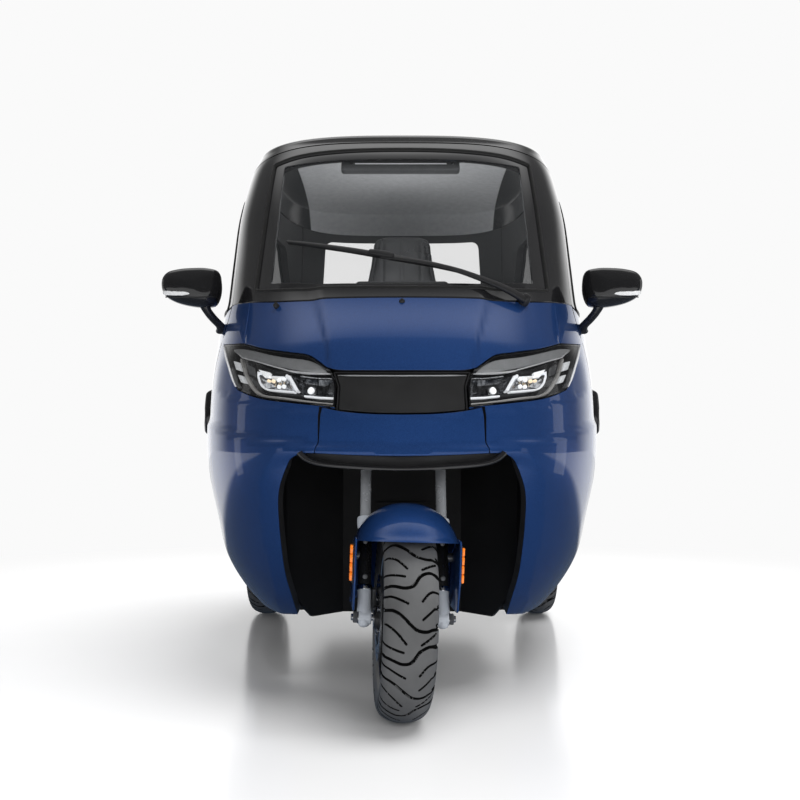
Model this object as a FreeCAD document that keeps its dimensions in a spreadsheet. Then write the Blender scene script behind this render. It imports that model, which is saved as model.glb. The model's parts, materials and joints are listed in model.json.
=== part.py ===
import FreeCAD, Part
import math
import os

# Enclosed three wheeled car: one steered wheel in front on a telescopic fork,
# a rounded two-door cabin and two driven wheels at the rear.
# Millimetres, +Z up, the car faces -Y, X is across the car.
os.makedirs("parts", exist_ok=True)
V = FreeCAD.Vector
doc = FreeCAD.newDocument("three_wheeled_car")

# ---------------------------------------------------------------- sheet
SIZES = [
    ("body_shift", 894), ("wheelbase", 1550), ("tyre_radius", 236),
    ("tyre_width", 120), ("rim_radius", 150), ("rim_width", 92),
    ("rear_half_track", 502), ("hub_radius", 34), ("axle_radius", 8),
    ("rake_angle", 24), ("fork_offset", 40), ("steer_rest", 5),
    ("leg_spacing", 92), ("leg_radius", 16), ("tube_radius", 13),
    ("guard_radius", 268), ("guard_width", 243), ("guard_skin", 5),
    ("wall", 45), ("glass_out", 3), ("glass_in", 9), ("gap", 4),
    ("body_bottom", 176), ("floor_top", 212), ("floor_thick", 32),
    ("deck_top", 600), ("deck_thick", 18),
    ("seat_width", 480), ("seat_length", 404), ("seat_thick", 110),
    ("bench_width", 800), ("bench_length", 360), ("bench_thick", 95),
    ("battery_width", 400), ("battery_length", 330), ("battery_tall", 230),
    ("mirror_wide", 172), ("mirror_tall", 118), ("mirror_deep", 84),
    ("handle_deep", 80), ("handle_long", 170), ("handle_tall", 178),
    ("plate_wide", 240), ("plate_tall", 130), ("plate_thick", 40),
    ("plate_hole", 3.25), ("plate_hole_apart", 180),
    ("disc_radius", 100), ("disc_thick", 4), ("stem_radius", 20),
    ("head_tube_radius", 30), ("motor_radius", 92), ("motor_long", 210),
    ("axle_tube", 30), ("spring_radius", 30),
]
sheet = doc.addObject("Spreadsheet::Sheet", "Sizes")
for i, (name, val) in enumerate(SIZES):
    sheet.set("A%d" % (i + 1), name)
    sheet.set("B%d" % (i + 1), str(val))
    sheet.setAlias("B%d" % (i + 1), name)
doc.recompute()


def g(name):
    return float(sheet.get(name))


U0 = g("body_shift")
GAP = g("gap")


def P(x, u, z):
    """metres: x across, u behind the front axle, z up"""
    return V(x * 1000.0, u * 1000.0 - U0, z * 1000.0)


# ---------------------------------------------------------------- body surface
# one row per height: z, nose u, tail u, half width, u of the widest place,
# exponent of the front half and of the rear half of the plan curve
ROWS = [
    (0.120, 0.300, 1.860, 0.400, 1.10, 2.30, 3.0),
    (0.180, 0.215, 1.905, 0.462, 1.10, 2.30, 3.0),
    (0.250, 0.140, 1.945, 0.515, 1.10, 2.30, 3.1),
    (0.340, 0.075, 1.980, 0.558, 1.10, 2.30, 3.2),
    (0.450, 0.030, 2.005, 0.582, 1.10, 2.30, 3.3),
    (0.560, 0.005, 2.015, 0.594, 1.10, 2.30, 3.4),
    (0.660, 0.000, 2.017, 0.597, 1.10, 2.30, 3.4),
    (0.760, 0.010, 2.010, 0.595, 1.10, 2.30, 3.4),
    (0.860, 0.060, 1.995, 0.588, 1.10, 2.30, 3.4),
    (0.950, 0.160, 1.975, 0.577, 1.10, 2.32, 3.4),
    (1.040, 0.265, 1.952, 0.564, 1.10, 2.36, 3.4),
    (1.140, 0.352, 1.922, 0.550, 1.10, 2.45, 3.4),
    (1.240, 0.437, 1.887, 0.537, 1.11, 2.60, 3.4),
    (1.340, 0.522, 1.847, 0.523, 1.12, 2.80, 3.4),
    (1.430, 0.600, 1.805, 0.504, 1.14, 3.00, 3.4),
    (1.500, 0.665, 1.760, 0.487, 1.16, 3.10, 3.3),
    (1.542, 0.715, 1.715, 0.471, 1.18, 3.20, 3.2),
]
# the roof crown goes on from the last row as a flattened dome
for deg in (14, 28, 42, 56, 69, 80):
    ph = math.radians(deg)
    sn_, cs_ = math.sin(ph), math.cos(ph)
    ROWS.append((1.542 + 0.077 * sn_, 1.18 - 0.465 * cs_ ** 1.0,
                 1.18 + 0.535 * cs_ ** 1.15, 0.471 * cs_ ** 0.47, 1.18,
                 3.2 - 0.5 * sn_, 3.2 - 0.6 * sn_))


def natural_spline(ys):
    n = len(ys)
    al, l, mu, zz = [0.0] * n, [1.0] * n, [0.0] * n, [0.0] * n
    for i in range(1, n - 1):
        al[i] = 3 * (ys[i + 1] - ys[i]) - 3 * (ys[i] - ys[i - 1])
    for i in range(1, n - 1):
        l[i] = 4.0 - mu[i - 1]
        mu[i] = 1.0 / l[i]
        zz[i] = (al[i] - zz[i - 1]) / l[i]
    c, b, d = [0.0] * n, [0.0] * n, [0.0] * n
    for j in range(n - 2, -1, -1):
        c[j] = zz[j] - mu[j] * c[j + 1]
        b[j] = (ys[j + 1] - ys[j]) - (c[j + 1] + 2 * c[j]) / 3.0
        d[j] = (c[j + 1] - c[j]) / 3.0

    def f(x):
        k = min(max(int(x), 0), n - 2)
        t = x - k
        return ys[k] + b[k] * t + c[k] * t * t + d[k] * t ** 3
    return f


FUN = [natural_spline([r[k] for r in ROWS]) for k in range(7)]
NROW = len(ROWS)


def row_at(q):
    return [f(q) for f in FUN]


def q_of_z(z):
    lo, hi = 0.0, float(NROW - 1)
    for _ in range(50):
        m = (lo + hi) / 2
        if FUN[0](m) < z:
            lo = m
        else:
            hi = m
    return (lo + hi) / 2


def u_front(x, z):
    _, uf, ur, w, um, nf, nr = row_at(q_of_z(z))
    r = abs(x) / w
    return um - (um - uf) * (max(0.0, 1 - r ** nf)) ** (1 / nf) if r < 1 else um


def u_rear(x, z):
    _, uf, ur, w, um, nf, nr = row_at(q_of_z(z))
    r = abs(x) / w
    return um + (ur - um) * (max(0.0, 1 - r ** nr)) ** (1 / nr) if r < 1 else um


def x_side(u, z):
    _, uf, ur, w, um, nf, nr = row_at(q_of_z(z))
    if u < um:
        r, n = (um - u) / (um - uf), nf
    else:
        r, n = (u - um) / (ur - um), nr
    return w * (max(0.0, 1 - r ** n)) ** (1 / n) if r < 1 else 0.0


def half_plan(row, nfront=13, nrear=11):
    """even steps along half of the plan curve, nose centre to tail centre"""
    z, uf, ur, w, um, nf, nr = row

    def curve(fn, count):
        pts = [fn(i / 400.0 * math.pi / 2) for i in range(401)]
        acc = [0.0]
        for a, b in zip(pts, pts[1:]):
            acc.append(acc[-1] + math.hypot(b[0] - a[0], b[1] - a[1]))
        out, k = [], 0
        for j in range(count + 1):
            s = acc[-1] * j / count
            while k < 399 and acc[k + 1] < s:
                k += 1
            t = (s - acc[k]) / max(acc[k + 1] - acc[k], 1e-12)
            out.append((pts[k][0] + (pts[k + 1][0] - pts[k][0]) * t,
                        pts[k][1] + (pts[k + 1][1] - pts[k][1]) * t))
        return out
    ef, er = 2 / nf, 2 / nr
    a = curve(lambda t: (w * math.sin(t) ** ef,
                         um - (um - uf) * max(math.cos(t), 0.0) ** ef), nfront)
    b = curve(lambda t: (w * max(math.cos(t), 0.0) ** er,
                         um + (ur - um) * math.sin(t) ** er), nrear)
    a[0] = (0.0, uf)
    a[-1] = (w, um)
    b[-1] = (0.0, ur)
    return a + b[1:]


def smooth(a, b, v):
    t = min(max((v - a) / (b - a), 0.0), 1.0)
    return t * t * (3 - 2 * t)


def body_solid(inset, zbot):
    """closed solid inside the body surface, moved inward by inset metres"""
    qs = [q_of_z(zbot)] + [k * 0.5 for k in range(2 * NROW - 1)
                           if FUN[0](k * 0.5) > zbot + 0.02]
    grid = []
    for q in qs:
        z, uf, ur, w, um, nf, nr = row_at(q)
        slope = 1.0 + 0.45 * smooth(0.78, 0.92, z) * (1 - smooth(1.45, 1.6, z))
        drop = inset * smooth(1.42, 1.60, z)
        side = 1.0 - 0.55 * smooth(1.50, 1.615, z)
        row = (z - drop, uf + inset * slope * min(1.0, side + 0.2),
               ur - inset * 1.08 * side, w - inset * side, um, nf, nr)
        grid.append([P(x, u, row[0]) for x, u in half_plan(row)])
    # one surface all the way round, closed at the middle of the tail
    pts = [[V(-p.x, p.y, p.z) for p in half[:0:-1]] + half for half in grid]
    for line in pts:
        line[0] = line[-1]
    s = Part.BSplineSurface()
    s.interpolate(pts)
    f = s.toShape()
    faces, top, bot = [f], [], []
    for e in f.Edges:
        if e.BoundBox.ZMax - e.BoundBox.ZMin < 0.01:
            (top if e.BoundBox.ZMax > 1000 else bot).append(e)
    for es in (top, bot):
        w = Part.Wire(Part.__sortEdges__(es))
        faces.append(Part.Face(w))
    sh = Part.makeShell(faces)
    sh.sewShape()
    so = Part.makeSolid(sh)
    if so.Volume < 0:
        so.reverse()
    if not so.isValid():
        raise RuntimeError("body solid")
    return so


def outline(segs, fn):
    """closed wire: a list of point runs; two points make a line, more a curve"""
    edges = []
    runs = [[fn(*p) for p in run] for run in segs]
    for i, pts in enumerate(runs):
        # each run starts exactly where the run before it ends
        pts[0] = runs[i - 1][-1]
        if len(pts) == 2:
            edges.append(Part.LineSegment(pts[0], pts[1]).toShape())
        else:
            c = Part.BSplineCurve()
            c.interpolate(pts)
            edges.append(c.toShape())
    w = Part.Wire(edges)
    if not w.isClosed():
        raise RuntimeError("open outline")
    return w


def prism_y(segs, ua, ub):
    w = outline(segs, lambda x, z: P(x, ua, z))
    return Part.Face(w).extrude(V(0, (ub - ua) * 1000, 0))


def prism_x(segs, xa, xb):
    w = outline(segs, lambda u, z: P(xa, u, z))
    return Part.Face(w).extrude(V((xb - xa) * 1000, 0, 0))


def prism_z(segs, za, zb):
    w = outline(segs, lambda x, u: P(x, u, za))
    return Part.Face(w).extrude(V(0, 0, (zb - za) * 1000))


def poly(pts):
    """straight runs through the points, closed"""
    return [[pts[i], pts[(i + 1) % len(pts)]] for i in range(len(pts))]


def box(x0, x1, u0, u1, z0, z1):
    return Part.makeBox((x1 - x0) * 1000, (u1 - u0) * 1000, (z1 - z0) * 1000,
                        P(x0, u0, z0))


def flip(shape):
    return shape.mirror(V(0, 0, 0), V(1, 0, 0))


def biggest(shape):
    so = sorted(shape.Solids, key=lambda s: -s.Volume)
    return so[0]


def side_of(shape, sign):
    so = [s for s in shape.Solids if s.CenterOfMass.x * sign > 0]
    return max(so, key=lambda s: s.Volume)


def hinge(fixed, moving, centre, axis, web_fixed, web_moving):
    """pin hinge of two leaves: the fixed leaf carries the pin and two end lugs,
    the moving leaf the knuckle between them; webs run from the axis into each"""
    r_pin, r_out, half, lug = 3.0, 6.0, 18.0, 12.0

    def rod(r, a, b):
        return Part.makeCylinder(r, b - a, centre + axis * a, axis)

    def web(a, b, to):
        n = axis.cross(to)
        n.normalize()
        q = centre + axis * a
        w = Part.makePolygon([q - n * 5.5, q - n * 5.5 + to, q + n * 5.5 + to,
                              q + n * 5.5, q - n * 5.5])
        return Part.Face(w).extrude(axis * (b - a))
    ends = [(-half - 1 - lug, -half - 1), (half + 1, half + 1 + lug)]
    fixed = fixed.cut(rod(11.5, -half - 1, half + 1))
    for a, b in ends:
        moving = moving.cut(rod(11.5, a - 6, b + 1 if a < 0 else b + 6))
        fixed = fixed.fuse(rod(r_out, a, b)).fuse(web(a, b, web_fixed))
    fixed = fixed.fuse(rod(r_pin, -half - 1 - lug, half + 1 + lug))
    moving = moving.fuse(rod(r_out, -half, half)).fuse(web(-half, half, web_moving))
    moving = moving.cut(rod(r_pin + 0.05, -half - 1, half + 1))
    return biggest(fixed), biggest(moving)


PIECES = {}


def feature(name, shape, placement=None):
    o = doc.addObject("Part::Feature", name)
    o.Label = name
    if shape.ShapeType != "Solid" and len(shape.Solids) == 1:
        shape = shape.Solids[0]
    o.Shape = shape
    if placement is not None:
        o.Placement = placement
    PIECES[name] = o
    return o


wall = g("wall") / 1000.0
zb = g("body_bottom") / 1000.0
OUT = body_solid(0.0, zb)
INN = body_solid(wall, 0.125)
SHELL = OUT.cut(INN)
GLASS = body_solid(g("glass_out") / 1000.0, zb).cut(
    body_solid(g("glass_in") / 1000.0, 0.125))

# ---------------------------------------------------------------- outlines
e = GAP / 2000.0
ED = 0.0037
# front view, x and z: lower edge of the windscreen and its black cowl strip
COWL = [(-0.66, 1.062), (-0.493, 1.040), (-0.399, 1.027), (-0.25, 1.017),
        (0.0, 1.014), (0.25, 1.017), (0.399, 1.027), (0.493, 1.040),
        (0.66, 1.062)]
# side view, u and z: lower edge of the roof panel
ROOF = [(0.30, 1.552), (0.70, 1.540), (0.80, 1.518), (0.92, 1.497),
        (1.35, 1.495), (1.70, 1.482), (2.15, 1.455)]
# side view, u and z: front edge of the door
DOOR_FRONT = [(0.592, 0.10), (0.580, 0.55), (0.585, 0.93)]
DOOR_PILLAR = [(0.585, 0.93), (0.608, 1.02), (0.648, 1.09), (0.888, 1.445)]


def shift(pts, du, dz):
    return [(a + du, b + dz) for a, b in pts]


# region in front of the doors, seen from the side
front_side = prism_x(
    [shift(DOOR_FRONT, -ED, 0), shift(DOOR_PILLAR, -ED * 1.15, 0),
     [(0.888 - ED * 1.15, 1.445), (0.93, 1.60)], [(0.93, 1.60), (-0.4, 1.60)],
     [(-0.4, 1.60), (-0.4, 0.10)], [(-0.4, 0.10), (0.592 - ED, 0.10)]],
    -0.8, 0.8)
roof_region = prism_x(
    [shift(ROOF, 0, e), [(2.15, 1.455 + e), (2.15, 1.80)],
     [(2.15, 1.80), (0.30, 1.80)], [(0.30, 1.80), (0.30, 1.552 + e)]],
    -0.8, 0.8)
below_roof = prism_x(
    [shift(ROOF, 0, -e), [(2.15, 1.455 - e), (2.15, 0.05)],
     [(2.15, 0.05), (-0.4, 0.05)], [(-0.4, 0.05), (-0.4, 1.552 - e)],
     [(-0.4, 1.552 - e), (0.30, 1.552 - e)]], -0.8, 0.8)
below_cowl = prism_y(
    [shift(COWL, 0, -e), [(0.66, 1.062 - e), (0.66, 0.05)],
     [(0.66, 0.05), (-0.66, 0.05)], [(-0.66, 0.05), (-0.66, 1.062 - e)]],
    -0.3, 0.75)
above_cowl = prism_y(
    [shift(COWL, 0, e), [(0.66, 1.062 + e), (0.66, 1.8)],
     [(0.66, 1.8), (-0.66, 1.8)], [(-0.66, 1.8), (-0.66, 1.062 + e)]],
    -0.3, 1.0)

# ---------------------------------------------------------------- roof
feature("roof_panel", biggest(SHELL.common(roof_region)))

# ---------------------------------------------------------------- windscreen
# front view: outside of the rubber round the glass
SCREEN = [[(-0.405, 1.062), (-0.2, 1.048), (0.0, 1.044), (0.2, 1.048),
           (0.405, 1.062)],
          [(0.405, 1.062), (0.402, 1.12), (0.392, 1.32), (0.383, 1.478)],
          [(0.383, 1.478), (0.30, 1.496), (0.0, 1.510), (-0.30, 1.496),
           (-0.383, 1.478)],
          [(-0.383, 1.478), (-0.392, 1.32), (-0.402, 1.12), (-0.405, 1.062)]]
screen_hole = prism_y(SCREEN, -0.3, 0.95)
front_shell = SHELL.common(front_side).common(below_roof)
feature("windscreen_frame", biggest(front_shell.common(above_cowl)
                                    .cut(screen_hole)))
feature("windscreen_glass", biggest(GLASS.common(front_side).common(below_roof)
                                    .common(screen_hole)))

# ---------------------------------------------------------------- nose panels
nose = front_shell.common(below_cowl)


def nose_outline(up):
    """bonnet outline, grown or shrunk by up metres"""
    k = up
    right = [(0.421 + k, 1.05 + k), (0.418 + k, 0.905 - k)]
    low = [(0.418 + k, 0.905 - k), (0.363, 0.888 - k), (0.279, 0.872 - k),
           (0.232, 0.863 - k), (0.205 + k, 0.846 - k), (0.178 + k, 0.826 - k),
           (0.155, 0.8195 - k), (0.09, 0.8175 - k), (0.0, 0.817 - k)]
    return [right, low, [(-x, z) for x, z in reversed(low)],
            [(-x, z) for x, z in reversed(right)],
            [(-0.421 - k, 1.05 + k), (0.421 + k, 1.05 + k)]]


LAMP_TOP = [(0.503, 0.9190), (0.46, 0.9115), (0.418, 0.905), (0.363, 0.888),
            (0.279, 0.872), (0.232, 0.863), (0.205, 0.846), (0.172, 0.8225)]
LAMP_IN = [(0.172, 0.8225), (0.163, 0.800), (0.158, 0.775), (0.160, 0.728)]
LAMP_LOW = [(0.160, 0.728), (0.26, 0.739), (0.349, 0.752), (0.392, 0.763),
            (0.433, 0.7815)]
LAMP_OUT = [(0.433, 0.7815), (0.4496, 0.8051), (0.464, 0.8314), (0.477, 0.8616),
            (0.4904, 0.8935), (0.503, 0.9190)]


def grown(pts, cx, cz, k):
    out = []
    for x, z in pts:
        d = math.hypot(x - cx, z - cz)
        out.append((x + (x - cx) / d * k, z + (z - cz) / d * k))
    return out


def lamp(k, sign):
    runs = []
    for r in (LAMP_TOP, LAMP_IN, LAMP_LOW, LAMP_OUT):
        out = []
        for x, z in r:
            # grow mostly up and down, because the lamp is long and low
            up = 1.0 if z > 0.742 + (x - 0.16) * 0.36 else -1.0
            side = k if x > 0.42 else (-k if x < 0.178 else 0.0)
            out.append((sign * (x + side), z + up * k))
        runs.append(out)
    return runs


bonnet_cut = prism_y(nose_outline(e), -0.3, 0.56)
bonnet = prism_y(nose_outline(-e), -0.3, 0.56)
lamp_r, lamp_l = prism_y(lamp(-e, 1), -0.3, 0.50), prism_y(lamp(-e, -1), -0.3, 0.50)
lampc_r, lampc_l = prism_y(lamp(e, 1), -0.3, 0.50), prism_y(lamp(e, -1), -0.3, 0.50)


def band(k):
    top = [(-0.161, 0.8125 + k), (-0.09, 0.811 + k), (0.0, 0.8105 + k),
           (0.09, 0.811 + k), (0.161, 0.8125 + k)]
    low = [(0.156, 0.722 - k), (0.08, 0.715 - k), (0.0, 0.713 - k),
           (-0.08, 0.715 - k), (-0.156, 0.722 - k)]
    return top, low


top0, low0 = band(0.0)
grille = prism_y([top0, [(0.161, 0.8125), (0.151, 0.78)], [(0.151, 0.78), (0.154, 0.722)],
                  low0, [(-0.154, 0.722), (-0.151, 0.78)],
                  [(-0.151, 0.78), (-0.161, 0.8125)]], -0.3, 0.3)
top1, low1 = band(GAP / 1000.0)
grille_cut = prism_y([top1, [top1[-1], (0.174, 0.77)], [(0.174, 0.77), low1[0]],
                      low1, [low1[-1], (-0.174, 0.77)],
                      [(-0.174, 0.77), top1[0]]], -0.3, 0.3)


def centre(k):
    top = [(-0.199 - k, 0.7225 + k), (-0.10, 0.7120 + k), (0.0, 0.7090 + k),
           (0.10, 0.7120 + k), (0.199 + k, 0.7225 + k)]
    low = [(0.199 + k, 0.620 - k), (0.1, 0.615 - k), (0.0, 0.613 - k),
           (-0.1, 0.615 - k), (-0.199 - k, 0.620 - k)]
    return [top, [top[-1], low[0]], low, [low[-1], top[0]]]


LIP_TOP = [(-0.236, 0.6165), (-0.199, 0.6155), (-0.1, 0.6105), (0.0, 0.6085),
           (0.1, 0.6105), (0.199, 0.6155), (0.236, 0.6165)]
LIP_LOW = [(0.236, 0.6165), (0.222, 0.604), (0.194, 0.593), (0.1, 0.583),
           (0.0, 0.579), (-0.1, 0.583), (-0.194, 0.593), (-0.222, 0.604),
           (-0.236, 0.6165)]
OPEN_R = [(0.236, 0.6185), (0.264, 0.600), (0.285, 0.564), (0.301, 0.518),
          (0.308, 0.443), (0.308, 0.376), (0.303, 0.303), (0.292, 0.236),
          (0.280, 0.12)]
LIP_CUT = [(-0.236, 0.6185), (-0.199, 0.6180), (-0.1, 0.6140), (0.0, 0.6120),
           (0.1, 0.6140), (0.199, 0.6180), (0.236, 0.6185)]
opening = prism_y([LIP_CUT, OPEN_R, [(0.280, 0.12), (-0.280, 0.12)],
                   [(-x, z) for x, z in reversed(OPEN_R)]], -0.3, 0.60)

feature("bonnet", biggest(nose.common(bonnet)))
corner = nose.cut(bonnet_cut).cut(lampc_r).cut(lampc_l).cut(grille_cut)
corner = corner.cut(opening)
# the bumper's middle carries the lip over the wheel opening
lip_up = [(x, z + 0.012) for x, z in LIP_TOP[1:-1]]
lip = prism_y([[(-0.199, 0.6275)] + lip_up[1:-1] + [(0.199, 0.6275)],
               [(0.199, 0.6275), (0.199, 0.5955)],
               [(0.199, 0.5955), (0.194, 0.593), (0.1, 0.583), (0.0, 0.579),
                (-0.1, 0.583), (-0.194, 0.593), (-0.199, 0.5955)],
               [(-0.199, 0.5955), (-0.199, 0.6275)]], -0.3, 0.20)
bumper_c = nose.cut(grille_cut).common(prism_y(centre(-e), -0.3, 0.25).fuse(lip))
corner = corner.cut(prism_y(centre(e), -0.3, 0.25))
feature("front_bumper", biggest(bumper_c))
feature("headlight_left", side_of(nose.common(lamp_r), 1))
feature("headlight_right", side_of(nose.common(lamp_l), -1))
feature("grille_panel", biggest(nose.common(grille)))

# ---------------------------------------------------------------- doors
DOOR_ARCH = [(1.362, 0.600), (1.345, 0.560), (1.300, 0.515), (1.245, 0.465),
             (1.210, 0.400), (1.196, 0.330), (1.193, 0.10)]


def door_outline(k):
    """k > 0 grows the outline"""
    fr = shift(DOOR_FRONT, -k, 0)
    pl = [(DOOR_PILLAR[0][0] - k, 0.93)] + shift(DOOR_PILLAR[1:], -k * 1.15, 0)
    top0 = pl[-1]
    corner1 = [top0, (0.905 - k, 1.466 + k * .4), (0.935, 1.479 + k), (0.975, 1.4815 + k)]
    topl = [(0.975, 1.4815 + k), (1.27, 1.4805 + k)]
    corner2 = [(1.27, 1.4805 + k), (1.315, 1.472 + k), (1.338 + k, 1.435)]
    rear = [(1.338 + k, 1.435), (1.352 + k, 1.20), (1.362 + k, 0.90), (1.362 + k, 0.600)]
    arch = [(1.362 + k, 0.600)] + [(a + k * 0.8, b - k * 0.6 * (0.45 if b < 0.35 else 1.0))
                                   for a, b in DOOR_ARCH[1:]]
    end = arch[-1]
    return [fr, pl, corner1, topl, corner2, rear, arch, [end, fr[0]]]


def rounded(pts, r):
    """closed outline of straight sides with rounded corners"""
    n = len(pts)
    segs = []
    for i in range(n):
        p, c, q = pts[i - 1], pts[i], pts[(i + 1) % n]
        a = (p[0] - c[0], p[1] - c[1])
        b = (q[0] - c[0], q[1] - c[1])
        la, lb = math.hypot(*a), math.hypot(*b)
        a, b = (a[0] / la, a[1] / la), (b[0] / lb, b[1] / lb)
        s = (c[0] + a[0] * r, c[1] + a[1] * r)
        t = (c[0] + b[0] * r, c[1] + b[1] * r)
        m = ((s[0] + t[0]) / 4 + c[0] / 2, (s[1] + t[1]) / 4 + c[1] / 2)
        segs.append((s, m, t))
    out = []
    for i in range(n):
        s, m, t = segs[i]
        out.append([s, m, t])
        out.append([t, segs[(i + 1) % n][0]])
    return out


DOOR_WINDOW = [(0.672, 1.035), (0.918, 1.412), (1.285, 1.412), (1.308, 1.035)]
QUARTER_WINDOW = [(1.412, 1.045), (1.400, 1.405), (1.590, 1.392), (1.700, 1.240),
                  (1.730, 1.045)]
door_hole = prism_x(rounded(DOOR_WINDOW, 0.035), 0.1, 0.8)
quarter_hole = prism_x(rounded(QUARTER_WINDOW, 0.035), 0.1, 0.8)
door_in = prism_x(door_outline(-ED), 0.05, 0.8)
door_out = prism_x(door_outline(ED), 0.05, 0.8)
side_shell = SHELL.common(below_roof)
door_r = biggest(side_shell.common(door_in).cut(door_hole))
wing = side_of(corner, 1)
for z in (0.545, 0.715):
    wing, door_r = hinge(wing, door_r, V(549, 585 - U0, z * 1000), V(0, 0, 1),
                         V(-16, -14, 0), V(-16, 15, 0))
feature("front_wing_left", wing)
feature("front_wing_right", flip(wing))
feature("door_left", door_r)
feature("door_right", flip(door_r))
door_g = biggest(GLASS.common(door_hole))
feature("door_glass_left", door_g)
feature("door_glass_right", flip(door_g))

# ---------------------------------------------------------------- rear body
rear_shell = side_shell.common(box(-0.8, 0.8, 0.90, 2.2, 0.0, 1.7))
rear_shell = rear_shell.cut(door_out).cut(flip(door_out))
axle_z = g("tyre_radius") / 1000.0
base = g("wheelbase") / 1000.0
arch_cut = Part.makeCylinder(285, 1600, P(-0.8, base, axle_z), V(1, 0, 0))
rear_shell = rear_shell.cut(arch_cut)
# rear view, x and z
BOOT = [(-0.36, 0.640), (-0.345, 1.105), (0.345, 1.105), (0.36, 0.640)]
REAR_WINDOW = [(-0.338, 1.208), (-0.314, 1.447), (0.314, 1.447), (0.338, 1.208)]
boot_hole = prism_y(rounded([(x * 1.0145, z + (0.005 if z > 1 else -0.005))
                             for x, z in BOOT], 0.040), 1.6, 2.2)
boot_lid = prism_y(rounded(BOOT, 0.035), 1.6, 2.2)
rear_hole = prism_y(rounded(REAR_WINDOW, 0.035), 1.4, 2.2)


def tail_lamp(k, s):
    pts = [(0.405 - k, 0.735 - k), (0.388 - k, 0.965 + k), (0.560 + k, 0.990 + k),
           (0.585 + k, 0.735 - k)]
    pts = [(s * x, z) for x, z in pts]
    if s < 0:
        pts.reverse()
    return prism_y(rounded(pts, 0.018), 1.80, 2.2)


# the tail panel runs between two slanting seams, the corners wrap round to them
seam_rear = 1.56


def tail_region(k):
    return prism_y(poly([(-0.482 - k, 0.470 - k), (0.482 + k, 0.470 - k),
                         (0.398 + k, 1.60), (-0.398 - k, 1.60)]), 1.40, 2.2)


rear_lower = box(-0.8, 0.8, seam_rear, 2.2, 0.05, 0.470 - e)
tail = rear_shell.common(tail_region(-e))
lamps_cut = tail_lamp(e, 1).fuse(tail_lamp(e, -1))
tail_panel = biggest(tail.cut(boot_hole).cut(rear_hole).cut(lamps_cut))
lid = biggest(tail.common(boot_lid))
for x in (-0.09, 0.09):
    tail_panel, lid = hinge(tail_panel, lid, V(x * 1000, 1934 - U0, 1108), V(1, 0, 0),
                            V(0, -14, 16), V(0, -14, -16))
feature("tail_light_left", side_of(rear_shell.common(tail_lamp(-e, 1)), 1))
feature("tail_light_right", side_of(rear_shell.common(tail_lamp(-e, -1)), -1))
feature("boot_lid", lid)
feature("rear_window_glass", biggest(GLASS.common(rear_hole)
                                     .common(box(-0.8, 0.8, 1.5, 2.2, 0, 1.7))))
rear_bumper = biggest(rear_shell.common(rear_lower))
quarters = rear_shell.cut(box(-0.8, 0.8, seam_rear, 2.2, 0.0, 0.470 + e)) \
    .cut(tail_region(e)).cut(lamps_cut)
quarter_l = biggest(side_of(quarters, 1).cut(quarter_hole))
feature("rear_quarter_left", quarter_l)
feature("rear_quarter_right", flip(quarter_l))
quarter_g = biggest(GLASS.common(quarter_hole)
                    .common(box(0.1, 0.8, 1.2, 2.2, 0, 1.7)))
feature("quarter_glass_left", quarter_g)
feature("quarter_glass_right", flip(quarter_g))

# ---------------------------------------------------------------- floor, wheel well
inside = body_solid(wall + 0.0008, 0.13)
inside_far = body_solid(wall + 0.015, 0.13)
ft, fth = g("floor_top") / 1000.0, g("floor_thick") / 1000.0
dt, dth = g("deck_top") / 1000.0, g("deck_thick") / 1000.0
floor = inside_far.common(prism_x(poly([
    (0.475, ft - fth), (1.235, ft - fth), (1.235, dt - dth), (2.0, dt - dth),
    (2.0, dt), (1.215, dt), (1.215, ft), (0.475, ft)]), -0.6, 0.6))

# black lining behind the front wheel: side cheeks, recessed middle, ceiling
WELL_OUT = [(-0.372, 0.02), (-0.345, 0.16), (-0.312, 0.315), (-0.168, 0.472),
            (0.168, 0.472), (0.312, 0.315), (0.345, 0.16), (0.372, 0.02)]
WELL_IN = [(0.360, 0.02), (0.333, 0.155), (0.301, 0.307), (0.162, 0.460),
           (-0.162, 0.460), (-0.301, 0.307), (-0.333, 0.155), (-0.360, 0.02)]
well = prism_z(poly(WELL_OUT + WELL_IN), 0.178, 0.690)
roof_w = prism_z(poly(WELL_OUT), 0.678, 0.690)
rake = math.radians(g("rake_angle"))
AX = V(0, math.sin(rake), math.cos(rake))
AP = P(0, g("fork_offset") / 1000.0 / math.cos(rake), axle_z)
well = well.fuse(roof_w).common(inside)
well = well.cut(Part.makeCylinder(44, 900, AP, AX))
# slats in the middle of the lining
for i in range(6):
    z = 0.36 + 0.022 * i
    well = well.fuse(box(-0.07, 0.07, 0.452, 0.461, z, z + 0.009))
feature("wheel_well", biggest(well.removeSplitter()))

# ---------------------------------------------------------------- frame
ht = g("head_tube_radius")


def along(dist):
    """point on the steering axis at a distance above the axle level"""
    return AP + AX * dist


def bar(p, q, r):
    return Part.makeCylinder(r, (q - p).Length, p, q - p)


head = Part.makeCylinder(ht, 150, along(500), AX)
frame = head
for s in (-1, 1):
    a = along(560) + V(s * 20, 8, 0)
    b = P(s * 0.16, 0.500, 0.725)
    c = P(s * 0.20, 0.500, 0.224)
    frame = frame.fuse(bar(a, b, 16)).fuse(Part.makeSphere(16, b)) \
        .fuse(bar(b, c, 16)).fuse(Part.makeSphere(16, c)) \
        .fuse(bar(c, P(s * 0.20, 0.800, 0.224), 16))
frame = frame.cut(Part.makeCylinder(g("stem_radius") + 0.05, 900, AP, AX))
# the frame of the steering head is welded to the floor
feature("floor_pan", biggest(biggest(floor).fuse(frame)))

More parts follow.
